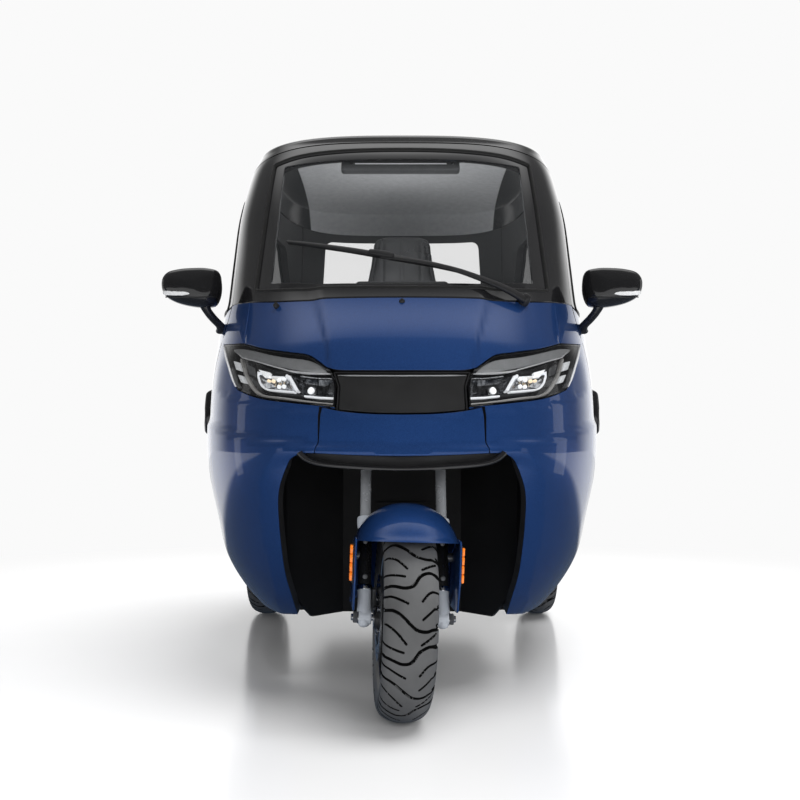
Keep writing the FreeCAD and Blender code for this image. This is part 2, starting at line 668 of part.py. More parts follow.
# ---------------------------------------------------------------- dashboard
dash = inside.common(prism_z(poly([(-0.475, 0.2), (0.475, 0.2), (0.475, 0.585),
                                   (0.395, 0.50), (0.330, 0.395), (0.13, 0.345),
                                   (0.13, 0.545), (-0.13, 0.545), (-0.13, 0.345),
                                   (-0.330, 0.395), (-0.395, 0.50), (-0.475, 0.585)]),
                             0.975, 1.010))
pod = box(-0.13, 0.13, 0.455, 0.545, 1.000, 1.088)
pod = pod.makeFillet(14, [ed for ed in pod.Edges
                          if ed.BoundBox.ZMin > 1087.9 or ed.BoundBox.ZLength > 80])
feature("dashboard", biggest(dash.fuse(pod)))

# ---------------------------------------------------------------- bound primitives


def bound(kind, name, sizes, pos, axis=None):
    o = doc.addObject(kind, name)
    o.Label = name
    for prop, expr in sizes.items():
        o.setExpression(prop, expr)
    rot = FreeCAD.Rotation(V(0, 0, 1), axis) if axis is not None \
        else FreeCAD.Rotation()
    o.Placement = FreeCAD.Placement(pos, rot)
    return o


def joined(name, objs, kind="Part::MultiFuse"):
    o = doc.addObject(kind, name)
    o.Label = name
    o.Shapes = objs
    PIECES[name] = o
    return o


# battery under the driver's seat
bat = bound("Part::Box", "battery_pack",
            {"Length": "Sizes.battery_width", "Width": "Sizes.battery_length",
             "Height": "Sizes.battery_tall"},
            P(-g("battery_width") / 2000.0, 0.87, ft))
PIECES["battery_pack"] = bat

# driver's seat: cushion on the battery, backrest with its head restraint
sw, sl, st = g("seat_width"), g("seat_length"), g("seat_thick")
cush = bound("Part::Box", "seat_cushion",
             {"Length": "Sizes.seat_width", "Width": "Sizes.seat_length",
              "Height": "Sizes.seat_thick"},
             P(-sw / 2000.0, 0.80, ft + g("battery_tall") / 1000.0))
cush_f = doc.addObject("Part::Fillet", "seat_cushion_round")
cush_f.Base = cush
doc.recompute()
cush_f.Edges = [(i + 1, 24.0, 24.0) for i in range(len(cush.Shape.Edges))]
back_face = outline(
    [[(-0.235, 0.515), (-0.238, 0.70), (-0.228, 0.93), (-0.185, 1.09),
      (-0.145, 1.19), (-0.127, 1.26), (-0.112, 1.34), (-0.098, 1.40), (-0.076, 1.422),
      (0.0, 1.428), (0.076, 1.422), (0.098, 1.40), (0.112, 1.34), (0.127, 1.26),
      (0.145, 1.19), (0.185, 1.09), (0.228, 0.93), (0.238, 0.70), (0.235, 0.515)],
     [(0.235, 0.515), (-0.235, 0.515)]], lambda x, z: P(x, 0.0, z))
back = Part.Face(back_face).extrude(V(0, 95, 0))
tilt = FreeCAD.Placement(P(0, 1.082, 0.515), FreeCAD.Rotation(V(1, 0, 0), -14.5)) \
    .multiply(FreeCAD.Placement(-P(0, 0.0, 0.515), FreeCAD.Rotation()))
back.Placement = tilt
back_obj = doc.addObject("Part::Feature", "seat_back")
back_obj.Shape = back
seat = joined("driver_seat", [cush_f, back_obj])

bw, bl, bt = g("bench_width"), g("bench_length"), g("bench_thick")
rc = bound("Part::Box", "bench_cushion",
           {"Length": "Sizes.bench_width", "Width": "Sizes.bench_length",
            "Height": "Sizes.bench_thick"},
           P(-bw / 2000.0, 1.35, dt))
rb = doc.addObject("Part::Feature", "bench_back")
rbs = inside.common(prism_x(poly([(1.640, dt), (1.700, 1.12), (1.770, 1.12),
                                  (1.760, dt)]), -0.40, 0.40))
rb.Shape = biggest(rbs)
rc_f = doc.addObject("Part::Fillet", "bench_cushion_round")
rc_f.Base = rc
doc.recompute()
rc_f.Edges = [(i + 1, 18.0, 18.0) for i in range(len(rc.Shape.Edges))]
joined("rear_seat", [rc_f, rb])

# ---------------------------------------------------------------- rear axle
mo = bound("Part::Cylinder", "motor_case",
           {"Radius": "Sizes.motor_radius", "Height": "Sizes.motor_long"},
           P(-g("motor_long") / 2000.0, base, axle_z), V(1, 0, 0))
tube = doc.addObject("Part::Cylinder", "axle_beam")
tube.setExpression("Radius", "Sizes.axle_tube")
tube.Height = 880
tube.Placement = FreeCAD.Placement(P(-0.44, base, axle_z),
                                   FreeCAD.Rotation(V(0, 0, 1), V(1, 0, 0)))
stub = doc.addObject("Part::Cylinder", "axle_stub")
stub.setExpression("Radius", "Sizes.axle_radius * 1.5")
stub.Height = 1070
stub.Placement = FreeCAD.Placement(P(-0.535, base, axle_z),
                                   FreeCAD.Rotation(V(0, 0, 1), V(1, 0, 0)))
legs = []
for s, nm in ((-1, "right"), (1, "left")):
    sp = bound("Part::Cylinder", "spring_" + nm,
               {"Radius": "Sizes.spring_radius",
                "Height": "Sizes.deck_top - Sizes.deck_thick - Sizes.tyre_radius"},
               P(s * 0.33, base, axle_z))
    legs.append(sp)
joined("rear_axle", [mo, tube, stub] + legs)

# ---------------------------------------------------------------- wheels


def revolve_body(name, pts_fn, placement):
    """a solid turned round its own X axis from a sketch"""
    body = doc.addObject("PartDesign::Body", name)
    body.Label = name
    sk = body.newObject("Sketcher::SketchObject", name + "_profile")
    plane = [f for f in body.Origin.OriginFeatures if f.Role == "XY_Plane"][0]
    sk.AttachmentSupport = [(plane, "")]
    sk.MapMode = "FlatFace"
    pts = pts_fn()
    n = len(pts)
    for i in range(n):
        sk.addGeometry(Part.LineSegment(V(*pts[i], 0), V(*pts[(i + 1) % n], 0)),
                       False)
    rev = body.newObject("PartDesign::Revolution", name + "_turn")
    rev.Profile = sk
    ax = [f for f in body.Origin.OriginFeatures if f.Role == "X_Axis"][0]
    rev.ReferenceAxis = (ax, [""])
    rev.Angle = 360.0
    body.Tip = rev
    body.Placement = placement
    PIECES[name] = body
    return body


R, TW, RR, RW = g("tyre_radius"), g("tyre_width"), g("rim_radius"), g("rim_width")


def tyre_profile():
    # section from one bead over the crown to the other
    half = [(RW / 2, RR), (RW / 2 + 4, RR + 6), (TW / 2 - 3, RR + 26),
            (TW / 2, RR + 44), (TW / 2 - 3, RR + 58), (TW / 2 - 12, RR + 71),
            (TW / 2 - 26, RR + 80), (TW / 2 - 42, RR + 84.8)]
    return half + [(0.0, R)] + [(-x, y) for x, y in reversed(half)]


def rim_profile(bore, hub_half, web_out=0.0):
    h = g("hub_radius")
    w = RW / 2
    return [(-hub_half, bore), (hub_half, bore), (hub_half, h), (14, h + 6),
            (10, RR - 30), (14, RR - 20), (w, RR - 12), (w, RR - 0.0),
            (-w, RR - 0.0), (-w, RR - 12), (-14, RR - 20), (-10, RR - 30),
            (-14, h + 6), (-hub_half, h)]


def place_x(x, u, z):
    return FreeCAD.Placement(P(x, u, z), FreeCAD.Rotation())


TURN = FreeCAD.Placement(V(0, 0, 0), FreeCAD.Rotation(AX, g("steer_rest")), AP)


def steer(pl):
    return TURN.multiply(pl)


ar = g("axle_radius")
for s, nm in ((1, "left"), (-1, "right")):
    xx = s * g("rear_half_track") / 1000.0
    revolve_body("rear_tyre_" + nm, tyre_profile, place_x(xx, base, axle_z))
    revolve_body("rear_rim_" + nm,
                 lambda: rim_profile(ar * 1.5 + 0.05, 40), place_x(xx, base, axle_z))
revolve_body("front_tyre", tyre_profile, steer(place_x(0, 0, axle_z)))


def front_rim_profile():
    h = g("hub_radius")
    w = RW / 2
    dr, dth_ = g("disc_radius"), g("disc_thick")
    # the brake disc is turned on the same hub
    return [(-70, ar + 0.05), (58, ar + 0.05), (58, h), (14, h + 6),
            (10, RR - 30), (14, RR - 20), (w, RR - 12), (w, RR),
            (-w, RR), (-w, RR - 12), (-14, RR - 20), (-10, RR - 30),
            (-14, h + 6), (-56, h), (-56, dr), (-56 - dth_, dr), (-56 - dth_, h),
            (-70, h)]


revolve_body("front_rim", front_rim_profile, steer(place_x(0, 0, axle_z)))

# ---------------------------------------------------------------- fork
ls = g("leg_spacing")
lr, tr = g("leg_radius"), g("tube_radius")
AXLE = P(0, 0, axle_z)
fork = Part.makeCylinder(ar, 2 * (ls + 30), AXLE + V(-(ls + 30), 0, 0), V(1, 0, 0))
for s in (-1, 1):
    foot = AXLE + V(s * ls, 0, 0)
    fork = fork.fuse(Part.makeCylinder(lr, 250, foot - AX * 18, AX))
    fork = fork.fuse(Part.makeCylinder(tr, 424, foot, AX))
    fork = fork.fuse(Part.makeCylinder(15, 22, foot + V(s * (lr - 4), 0, 0), V(s, 0, 0)))
perp = V(0, -math.cos(rake), math.sin(rake))
# bridge that holds both tubes and the stem
low = along(384)
bridge = Part.makeBox(2 * (ls + 20), 84, 26)
rot = FreeCAD.Rotation(V(1, 0, 0), -g("rake_angle"))
bridge.Placement = FreeCAD.Placement(low, rot).multiply(
    FreeCAD.Placement(V(-(ls + 20), -62, 0), FreeCAD.Rotation()))
fork = fork.fuse(bridge)
stem = Part.makeCylinder(g("stem_radius"), 300, along(392), AX)
fork = fork.fuse(stem)
# caliper bracket on the disc side
cal = box(-0.1, -0.072, 0.045, 0.105, 0.225, 0.300).fuse(
    box(-0.074, -0.0612, 0.060, 0.100, 0.235, 0.295))
fork = fork.fuse(cal).removeSplitter()
feature("front_fork", biggest(fork), TURN)

# handlebar on top of the stem
topp = along(704)
hb = Part.makeCylinder(26, 34, along(692.0), AX)
for s in (-1, 1):
    p1 = topp + V(s * 60, 45, 8)
    p2 = topp + V(s * 150, 170, 45)
    p3 = topp + V(s * 212, 300, 62)
    hb = hb.fuse(bar(topp + V(0, 0, 4), p1, 11)).fuse(Part.makeSphere(11, p1))
    hb = hb.fuse(bar(p1, p2, 11)).fuse(Part.makeSphere(11, p2))
    hb = hb.fuse(bar(p2, p3, 16))
feature("handlebar", biggest(hb), TURN)

# mudguard
GR, GW, GS = g("guard_radius"), g("guard_width"), g("guard_skin")


# section over the tyre: half width and radius, from the crown to the lower edge
GUARD_SEC = [(0.0, 0.2680), (0.030, 0.2655), (0.058, 0.2560), (0.078, 0.2440),
             (0.093, 0.2300), (0.106, 0.2120), (0.114, 0.1950), (0.1180, 0.1780),
             (0.1200, 0.1620)]


def guard_shell():
    """domed shell turned round the front axle, then cut to the guard's reach"""
    k = GR / 268.0
    outer = [(x, r * k) for x, r in GUARD_SEC]
    inner = []
    for i, (x, r) in enumerate(outer):
        a = outer[max(i - 1, 0)]
        b = outer[min(i + 1, len(outer) - 1)]
        dx, dr = b[0] - a[0], b[1] - a[1]
        ln = math.hypot(dx, dr)
        inner.append((x + dr / ln * GS / 1000.0, r - dx / ln * GS / 1000.0))
    inner[0] = (0.0, outer[0][1] - GS / 1000.0)
    half = outer + inner[::-1]
    face = Part.Face(Part.makePolygon([AXLE + V(x * 1000, 0, r * 1000)
                                       for x, r in half + half[:1]]))
    one = face.revolve(AXLE, V(1, 0, 0), 360)
    reach = prism_x(poly([(-0.5, 0.4574), (-0.5, 0.8), (0.5, 0.8), (0.5, 0.271),
                          (0.0, 0.236), (0.0, 0.4093)]), -0.2, 0.2)
    one = one.common(reach)
    return one.fuse(one.mirror(V(0, 0, 0), V(1, 0, 0)))


gw = GW / 2
gu = guard_shell()
for s in (-1, 1):
    x0, x1 = (gw - GS, gw) if s > 0 else (-gw, -gw + GS)
    flap = prism_x(poly([(-0.050, 0.256), (-0.078, 0.33), (-0.072, 0.425), (0.0, 0.424),
                         (0.12, 0.398), (0.190, 0.33), (0.115, 0.256)]),
                   x0 / 1000.0, x1 / 1000.0)
    gu = gu.fuse(flap)
    # pad that bolts the guard to the fork leg
    pad = Part.makeCylinder(11, gw - GS - (ls + lr) + 6,
                            AXLE + AX * 150 + V(s * (ls + lr - 4), 0, 0), V(s, 0, 0))
    gu = gu.fuse(pad)
gu = gu.cut(fork)
feature("front_mudguard", biggest(gu.removeSplitter()), TURN)

# ---------------------------------------------------------------- mirrors
mw, mt, md = g("mirror_wide"), g("mirror_tall"), g("mirror_deep")
for s, nm in ((1, "left"), (-1, "right")):
    cx, cu, cz = 0.610, 0.605, 1.090
    b = Part.makeBox(mw, md, mt, P(cx, cu, cz) - V(mw / 2, md / 2, mt / 2))
    b = b.makeFillet(34, [ed for ed in b.Edges if ed.BoundBox.YLength > 80])
    b = b.makeFillet(16, [ed for ed in b.Edges
                          if ed.BoundBox.YMax < P(0, cu, 0).y - md / 2 + 0.5])
    foot = P(x_side(0.668, 0.975) - 0.004, 0.668, 0.975)
    b = b.fuse(bar(foot, P(0.570, 0.612, 1.045), 11))
    b = b.cut(door_r)
    b = biggest(b)
    feature("mirror_" + nm, b if s > 0 else flip(b))

# ---------------------------------------------------------------- door handles
for s, nm in ((1, "left"), (-1, "right")):
    hx = x_side(1.10, 0.74)
    b = Part.makeBox(g("handle_deep"), g("handle_long"), g("handle_tall"),
                     P(hx - 0.016, 1.035, 0.652))
    b = b.makeFillet(20, [ed for ed in b.Edges if ed.BoundBox.ZLength > 100])
    b = b.makeFillet(12, [ed for ed in b.Edges
                          if ed.BoundBox.ZLength < 1 and ed.BoundBox.XMax > (hx + 0.03) * 1000])
    b = biggest(b.cut(door_r))
    feature("door_handle_" + nm, b if s > 0 else flip(b))

# ---------------------------------------------------------------- wiper
WP = [(0.322, 1.020, 0.016), (0.280, 1.042, 0.020), (0.218, 1.0665, 0.020),
      (0.140, 1.094, 0.019), (0.047, 1.1175, 0.017), (-0.054, 1.132, 0.013)]
wp = [P(x, u_front(x, z) - off, z) for x, z, off in WP]
wi = Part.makeCylinder(13, 26, P(0.322, u_front(0.322, 1.020) + 0.004, 1.014),
                       V(0, -0.75, 0.66))
for a, b in zip(wp, wp[1:]):
    wi = wi.fuse(bar(a, b, 5)).fuse(Part.makeSphere(5, b)).fuse(Part.makeSphere(5, a))
BP = [(-0.312, 1.192), (-0.222, 1.168), (-0.139, 1.149), (-0.056, 1.1305),
      (0.021, 1.115), (0.087, 1.102), (0.142, 1.090)]
bp = [P(x, u_front(x, z) - 0.007, z) for x, z in BP]
for a, b in zip(bp, bp[1:]):
    wi = wi.fuse(bar(a, b, 5.5)).fuse(Part.makeSphere(5.5, b)) \
        .fuse(Part.makeSphere(5.5, a))
wi = wi.cut(PIECES["windscreen_frame"].Shape).cut(PIECES["windscreen_glass"].Shape)
wi = wi.cut(PIECES["bonnet"].Shape)
feature("wiper", biggest(wi))

# ---------------------------------------------------------------- plate bracket
# flat outer face for a number plate, with its two screw holes
bz = 0.405
bface = 2.024
pl = bound("Part::Box", "bracket_block",
           {"Length": "Sizes.plate_wide", "Width": "Sizes.plate_thick",
            "Height": "Sizes.plate_tall"},
           P(-g("plate_wide") / 2000.0, bface - g("plate_thick") / 1000.0, bz))
holes = []
for s in (-1, 1):
    hc = bound("Part::Cylinder", "bracket_hole_%s" % ("left" if s > 0 else "right"),
               {"Radius": "Sizes.plate_hole"},
               P(s * g("plate_hole_apart") / 2000.0, bface + 0.001,
                 bz + g("plate_tall") / 2000.0), V(0, -1, 0))
    hc.Height = 110
    holes.append(hc)
tools = doc.addObject("Part::MultiFuse", "bracket_tools")
tools.Shapes = holes
plc = doc.addObject("Part::Cut", "plate_bracket_drilled")
plc.Base = pl
plc.Tool = tools
doc.recompute()
bracket = biggest(plc.Shape.cut(OUT))
rear_bumper = rear_bumper.fuse(bracket)
for hc in holes:
    rear_bumper = rear_bumper.cut(hc.Shape)
    tail_panel = tail_panel.cut(hc.Shape)
feature("rear_bumper", biggest(rear_bumper))
feature("tail_panel", biggest(tail_panel))

# ---------------------------------------------------------------- check and write
doc.recompute()
bad = []
for o in doc.Objects:
    if "Invalid" in o.State or "Error" in o.State:
        bad.append(("state", o.Name, o.State))
for name, o in PIECES.items():
    s = o.Shape
    if s.isNull() or not s.isValid() or len(s.Solids) != 1:
        bad.append(("shape", name, s.ShapeType, len(s.Solids), s.isValid()))
if bad:
    raise RuntimeError(str(bad))
total = 0.0
for name, o in sorted(PIECES.items()):
    o.Shape.exportStep("parts/%s.step" % name)
    total += o.Shape.Volume
    b = o.Shape.BoundBox
    print("%-20s %8.0f cm3  x %6.0f %6.0f  y %6.0f %6.0f  z %6.0f %6.0f" % (
        name, o.Shape.Volume / 1000.0, b.XMin, b.XMax, b.YMin, b.YMax, b.ZMin, b.ZMax))
print("pieces", len(PIECES), "volume m3", round(total / 1e9, 4))
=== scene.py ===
import json
import math

import bpy
import bmesh
import numpy as np
from mathutils import Vector, Matrix, Quaternion
from mathutils.geometry import delaunay_2d_cdt

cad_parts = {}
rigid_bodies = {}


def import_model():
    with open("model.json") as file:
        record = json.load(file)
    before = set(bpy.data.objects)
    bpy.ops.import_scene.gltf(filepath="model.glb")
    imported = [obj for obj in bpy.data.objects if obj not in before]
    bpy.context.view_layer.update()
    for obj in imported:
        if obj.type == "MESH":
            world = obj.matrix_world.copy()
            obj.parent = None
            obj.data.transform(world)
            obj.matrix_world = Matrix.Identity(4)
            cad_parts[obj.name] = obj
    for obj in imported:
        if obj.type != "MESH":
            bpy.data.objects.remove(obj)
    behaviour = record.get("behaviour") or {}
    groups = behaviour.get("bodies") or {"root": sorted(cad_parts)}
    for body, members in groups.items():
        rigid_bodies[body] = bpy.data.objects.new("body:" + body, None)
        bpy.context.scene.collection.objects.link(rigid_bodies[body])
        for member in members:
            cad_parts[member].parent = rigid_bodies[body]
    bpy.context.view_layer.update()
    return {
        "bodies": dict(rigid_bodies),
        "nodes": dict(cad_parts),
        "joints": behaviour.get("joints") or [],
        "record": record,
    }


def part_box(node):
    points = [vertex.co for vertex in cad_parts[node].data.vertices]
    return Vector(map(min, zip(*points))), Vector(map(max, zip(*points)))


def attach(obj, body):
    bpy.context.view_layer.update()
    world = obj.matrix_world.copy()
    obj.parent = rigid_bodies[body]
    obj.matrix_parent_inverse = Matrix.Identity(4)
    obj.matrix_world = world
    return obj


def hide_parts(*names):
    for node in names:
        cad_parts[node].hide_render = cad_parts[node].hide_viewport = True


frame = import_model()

U0 = 0.894
PI = math.pi
rng = np.random.default_rng(7)
MIR = np.array([-1.0, 1.0, 1.0])
STEP = 0.014

# ------------------------------------------------------------------ body surface
ROWS = np.array([
    (0.120, 0.300, 1.860, 0.400, 1.10, 2.30, 3.0),
    (0.180, 0.215, 1.905, 0.462, 1.10, 2.30, 3.0),
    (0.250, 0.140, 1.945, 0.515, 1.10, 2.30, 3.1),
    (0.340, 0.075, 1.980, 0.558, 1.10, 2.30, 3.2),
    (0.450, 0.030, 2.005, 0.582, 1.10, 2.30, 3.3),
    (0.560, 0.005, 2.015, 0.594, 1.10, 2.30, 3.4),
    (0.660, 0.000, 2.017, 0.597, 1.10, 2.30, 3.4),
    (0.760, 0.010, 2.010, 0.595, 1.10, 2.30, 3.4),
    (0.860, 0.060, 1.995, 0.588, 1.10, 2.30, 3.4),
    (0.950, 0.160, 1.975, 0.577, 1.10, 2.32, 3.4),
    (1.040, 0.265, 1.952, 0.564, 1.10, 2.36, 3.4),
    (1.140, 0.352, 1.922, 0.550, 1.10, 2.45, 3.4),
    (1.240, 0.437, 1.887, 0.537, 1.11, 2.60, 3.4),
    (1.340, 0.522, 1.847, 0.523, 1.12, 2.80, 3.4),
    (1.430, 0.600, 1.805, 0.504, 1.14, 3.00, 3.4),
    (1.500, 0.665, 1.760, 0.487, 1.16, 3.10, 3.3),
    (1.542, 0.715, 1.715, 0.471, 1.18, 3.20, 3.2),
] + [
    (1.542 + 0.077 * math.sin(math.radians(d_)),
     1.18 - 0.465 * math.cos(math.radians(d_)),
     1.18 + 0.535 * math.cos(math.radians(d_)) ** 1.15,
     0.471 * math.cos(math.radians(d_)) ** 0.47, 1.18,
     3.2 - 0.5 * math.sin(math.radians(d_)), 3.2 - 0.6 * math.sin(math.radians(d_)))
    for d_ in (14, 28, 42, 56, 69, 80)
])
NR = len(ROWS)


def spline_coeffs(ys):
    n = len(ys)
    A = np.zeros((n, n))
    rhs = np.zeros(n)
    A[0, 0] = A[-1, -1] = 1.0
    for i in range(1, n - 1):
        A[i, i - 1:i + 2] = (1, 4, 1)
        rhs[i] = 3 * (ys[i + 1] - 2 * ys[i] + ys[i - 1])
    c = np.linalg.solve(A, rhs)
    b = np.zeros(n)
    d = np.zeros(n)
    b[:-1] = (ys[1:] - ys[:-1]) - (c[1:] + 2 * c[:-1]) / 3
    d[:-1] = (c[1:] - c[:-1]) / 3
    return ys, b, c, d


COEF = [spline_coeffs(ROWS[:, k].copy()) for k in range(7)]


def rows(q):
    q = np.clip(np.asarray(q, float), 0, NR - 1)
    k = np.minimum(q.astype(int), NR - 2)
    t = q - k
    return [y[k] + b[k] * t + c[k] * t * t + d[k] * t ** 3 for y, b, c, d in COEF]


QT = np.linspace(0, NR - 1, 6001)
ZT = rows(QT)[0]


def q_of_z(z):
    return np.interp(z, ZT, QT)


def surf(a, q, inset=0.0):
    """points (n,3) as x, u, z and unit normals (n,3) of the body surface"""
    a = np.asarray(a, float)
    q = np.asarray(q, float)
    z, uf, ur, w, um, nf, nr = rows(q)
    s = np.clip(np.abs(a), 1e-7, PI - 1e-7)
    sg = np.sign(a) + (a == 0)
    fr = s <= PI / 2
    n = np.where(fr, nf, nr)
    L = np.where(fr, um - uf, ur - um)
    sn = np.sin(s)
    cs = np.abs(np.cos(s))
    xx = w * sn ** (2 / n)
    rr = cs ** (2 / n)
    x = sg * xx
    u = np.where(fr, um - L * rr, um + L * rr)
    e = 1e-3
    q0, q1 = np.clip(q - e, 0, NR - 1), np.clip(q + e, 0, NR - 1)

    def pos(qq):
        z_, uf_, ur_, w_, um_, nf_, nr_ = rows(qq)
        n_ = np.where(fr, nf_, nr_)
        L_ = np.where(fr, um_ - uf_, ur_ - um_)
        x_ = sg * w_ * sn ** (2 / n_)
        r_ = cs ** (2 / n_)
        return x_, np.where(fr, um_ - L_ * r_, um_ + L_ * r_), z_
    x0, u0, z0 = pos(q0)
    x1, u1, z1 = pos(q1)
    nx = sg * (xx / w) ** (n - 1) / w
    nu = np.where(fr, -1.0, 1.0) * rr ** (n - 1) / L
    dz = np.maximum(z1 - z0, 1e-9)
    nz = -(nx * (x1 - x0) + nu * (u1 - u0)) / dz
    N = np.stack([nx, nu, nz], -1)
    N /= np.linalg.norm(N, axis=-1, keepdims=True)
    P = np.stack([x, u, z], -1)
    if np.any(inset):
        P = P - N * np.asarray(inset)[..., None] if np.ndim(inset) else P - N * inset
    return P, N


def a_front(x, z):
    q = q_of_z(z)
    w, nf = rows(q)[3], rows(q)[5]
    r = np.clip(np.abs(x) / w, 0, 0.99999)
    return np.sign(x) * np.arcsin(r ** (nf / 2)), q


def a_rear(x, z):
    q = q_of_z(z)
    w, nr = rows(q)[3], rows(q)[6]
    r = np.clip(np.abs(x) / w, 0, 0.99999)
    return (np.sign(x) + (x == 0)) * (PI - np.arcsin(r ** (nr / 2))), q


def a_side(u, z):
    q = q_of_z(z)
    _, uf, ur, w, um, nf, nr = rows(q)
    f = np.clip((um - u) / (um - uf), 0, 0.99999) ** (nf / 2)
    r = np.clip((u - um) / (ur - um), 0, 0.99999) ** (nr / 2)
    return np.where(u < um, np.arccos(f), PI - np.arccos(r)), q


def u_front(x, z):
    a, q = a_front(np.asarray(x, float), np.asarray(z, float))
    return surf(a, q)[0][..., 1]


def x_side(u, z):
    a, q = a_side(np.asarray(u, float), np.asarray(z, float))
    return surf(a, q)[0][..., 0]


# metric coordinates, used only to lay out even meshes
AG = np.linspace(0, PI, 721)
QG = np.linspace(0, NR - 1, 161)
SG = np.zeros((len(QG), len(AG)))
for i_, q_ in enumerate(QG):
    p_, _ = surf(AG, np.full_like(AG, q_))
    SG[i_, 1:] = np.cumsum(np.linalg.norm(np.diff(p_[:, :2], axis=0), axis=1))
_c = rows(QG)
TG = np.concatenate([[0], np.cumsum(np.sqrt(np.diff(_c[0]) ** 2
                                            + (0.6 * np.diff(_c[1])) ** 2))])


def sig(a, q):
    a = np.asarray(a, float)
    qi = np.clip(np.asarray(q, float) / (NR - 1) * (len(QG) - 1), 0, len(QG) - 1.000001)
    ai = np.clip(np.abs(a) / PI * (len(AG) - 1), 0, len(AG) - 1.000001)
    k, j = qi.astype(int), ai.astype(int)
    f, g_ = qi - k, ai - j
    v = ((SG[k, j] * (1 - g_) + SG[k, j + 1] * g_) * (1 - f)
         + (SG[k + 1, j] * (1 - g_) + SG[k + 1, j + 1] * g_) * f)
    return v * (np.sign(a) + (a == 0))


def tau(q):
    return np.interp(q, QG, TG)


def unsig(s, q):
    """angle from the metric coordinate at height row q (scalar q)"""
    qi = min(max(q / (NR - 1) * (len(QG) - 1), 0), len(QG) - 1.000001)
    k = int(qi)
    f = qi - k
    line = SG[k] * (1 - f) + SG[k + 1] * f
    return np.sign(s) * np.interp(np.abs(s), line, AG)


# ------------------------------------------------------------------ features
def bump(v, c, w):
    """smooth bell of half width w"""
    t = np.clip(np.abs(v - c) / w, 0, 1)
    return (1 - t * t) ** 2


def sstep(a, b, v):
    t = np.clip((v - a) / (b - a), 0, 1)
    return t * t * (3 - 2 * t)


FEATURES = []


def displacement(P):
    """outward displacement of the body surface at points given as x, u, z"""
    d = np.zeros(len(P))
    for f in FEATURES:
        d = d + f(np.abs(P[:, 0]), P[:, 1], P[:, 2])
    return d


def shaped(P, N):
    """move surface points by the displacement and tilt their normals"""
    d = displacement(P)
    e = 0.0008
    g_ = np.zeros_like(P)
    for k in range(3):
        o = np.zeros(3)
        o[k] = e
        g_[:, k] = (displacement(P + o) - displacement(P - o)) / (2 * e)
    t = g_ - (g_ * N).sum(1, keepdims=True) * N
    M = N - t
    M /= np.linalg.norm(M, axis=1, keepdims=True)
    return P + N * d[:, None], M


# ------------------------------------------------------------------ mesh helpers
def new_object(name, verts, faces, mats, body, replaces=(),
               mat_index=None, normals=None, smooth=True):
    me = bpy.data.meshes.new(name)
    me.from_pydata([tuple(map(float, v)) for v in verts], [], faces)
    me.validate(clean_customdata=False)
    for m in mats:
        me.materials.append(m)
    if mat_index is not None and len(mat_index) == len(me.polygons):
        me.polygons.foreach_set("material_index", np.asarray(mat_index, np.int32))
    me.polygons.foreach_set("use_smooth", [smooth] * len(me.polygons))
    me.update()
    if normals is not None and len(normals) == len(me.vertices):
        me.normals_split_custom_set_from_vertices(
            [tuple(map(float, n)) for n in normals])
    ob = bpy.data.objects.new(name, me)
    bpy.context.scene.collection.objects.link(ob)
    finish_piece(ob, body, replaces)
    return ob


def finish_piece(ob, body, replaces=()):
    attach(ob, body)
    if replaces:
        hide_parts(*replaces)
    return ob


def to_row(P):
    """x, u, z to the frame's coordinates"""
    Q = np.array(P, float)
    Q[..., 1] -= U0
    return Q


def inside_poly(pts, loops):
    """even-odd test of pts (n,2) against closed loops"""
    c = np.zeros(len(pts), bool)
    x, y = pts[:, 0], pts[:, 1]
    for L in loops:
        A = L
        B = np.roll(L, -1, 0)
        for s in range(0, len(pts), 4000):
            xs, ys = x[s:s + 4000, None], y[s:s + 4000, None]
            cond = (A[None, :, 1] > ys) != (B[None, :, 1] > ys)
            den = B[None, :, 1] - A[None, :, 1]
            den = np.where(np.abs(den) < 1e-15, 1e-15, den)
            xi = A[None, :, 0] + (ys - A[None, :, 1]) * (B[None, :, 0] - A[None, :, 0]) / den
            c[s:s + 4000] ^= (np.sum(cond & (xs < xi), 1) % 2).astype(bool)
    return c


def dist_poly(pts, loops):
    d = np.full(len(pts), 1e9)
    for L in loops:
        A = L
        B = np.roll(L, -1, 0)
        AB = B - A
        ll = np.maximum((AB ** 2).sum(1), 1e-18)
        for s in range(0, len(pts), 3000):
            p = pts[s:s + 3000, None, :]
            t = np.clip(((p - A) * AB).sum(2) / ll, 0, 1)
            r = p - (A + t[..., None] * AB)
            d[s:s + 3000] = np.minimum(d[s:s + 3000], np.sqrt((r ** 2).sum(2)).min(1))
    return d


def resample(pts, step, closed=True):
    P = np.asarray(pts, float)
    if closed:
        P = np.vstack([P, P[:1]])
    seg = np.linalg.norm(np.diff(P, axis=0), axis=1)
    keep = np.concatenate([[True], seg > 1e-9])
    P = P[keep]
    seg = np.linalg.norm(np.diff(P, axis=0), axis=1)
    out = []
    for i in range(len(P) - 1):
        n = max(1, int(round(seg[i] / step)))
        for k in range(n):
            out.append(P[i] + (P[i + 1] - P[i]) * k / n)
    return np.array(out)


def area2(L):
    x, y = L[:, 0], L[:, 1]
    return float(np.sum(x * np.roll(y, -1) - np.roll(x, -1) * y)) / 2


def offset_loop(L, d):
    """move a closed loop inward (d > 0) in its plane"""
    if abs(d) < 1e-9:
        return L
    if area2(L) < 0:
        d = -d
    T = np.roll(L, -1, 0) - L
    T /= np.maximum(np.linalg.norm(T, axis=1, keepdims=True), 1e-12)
    Nn = np.stack([-T[:, 1], T[:, 0]], 1)
    Np = np.roll(Nn, 1, 0)
    m = Nn + Np
    den = np.maximum(1 + (Nn * Np).sum(1), 0.35)
    return L + m / den[:, None] * d


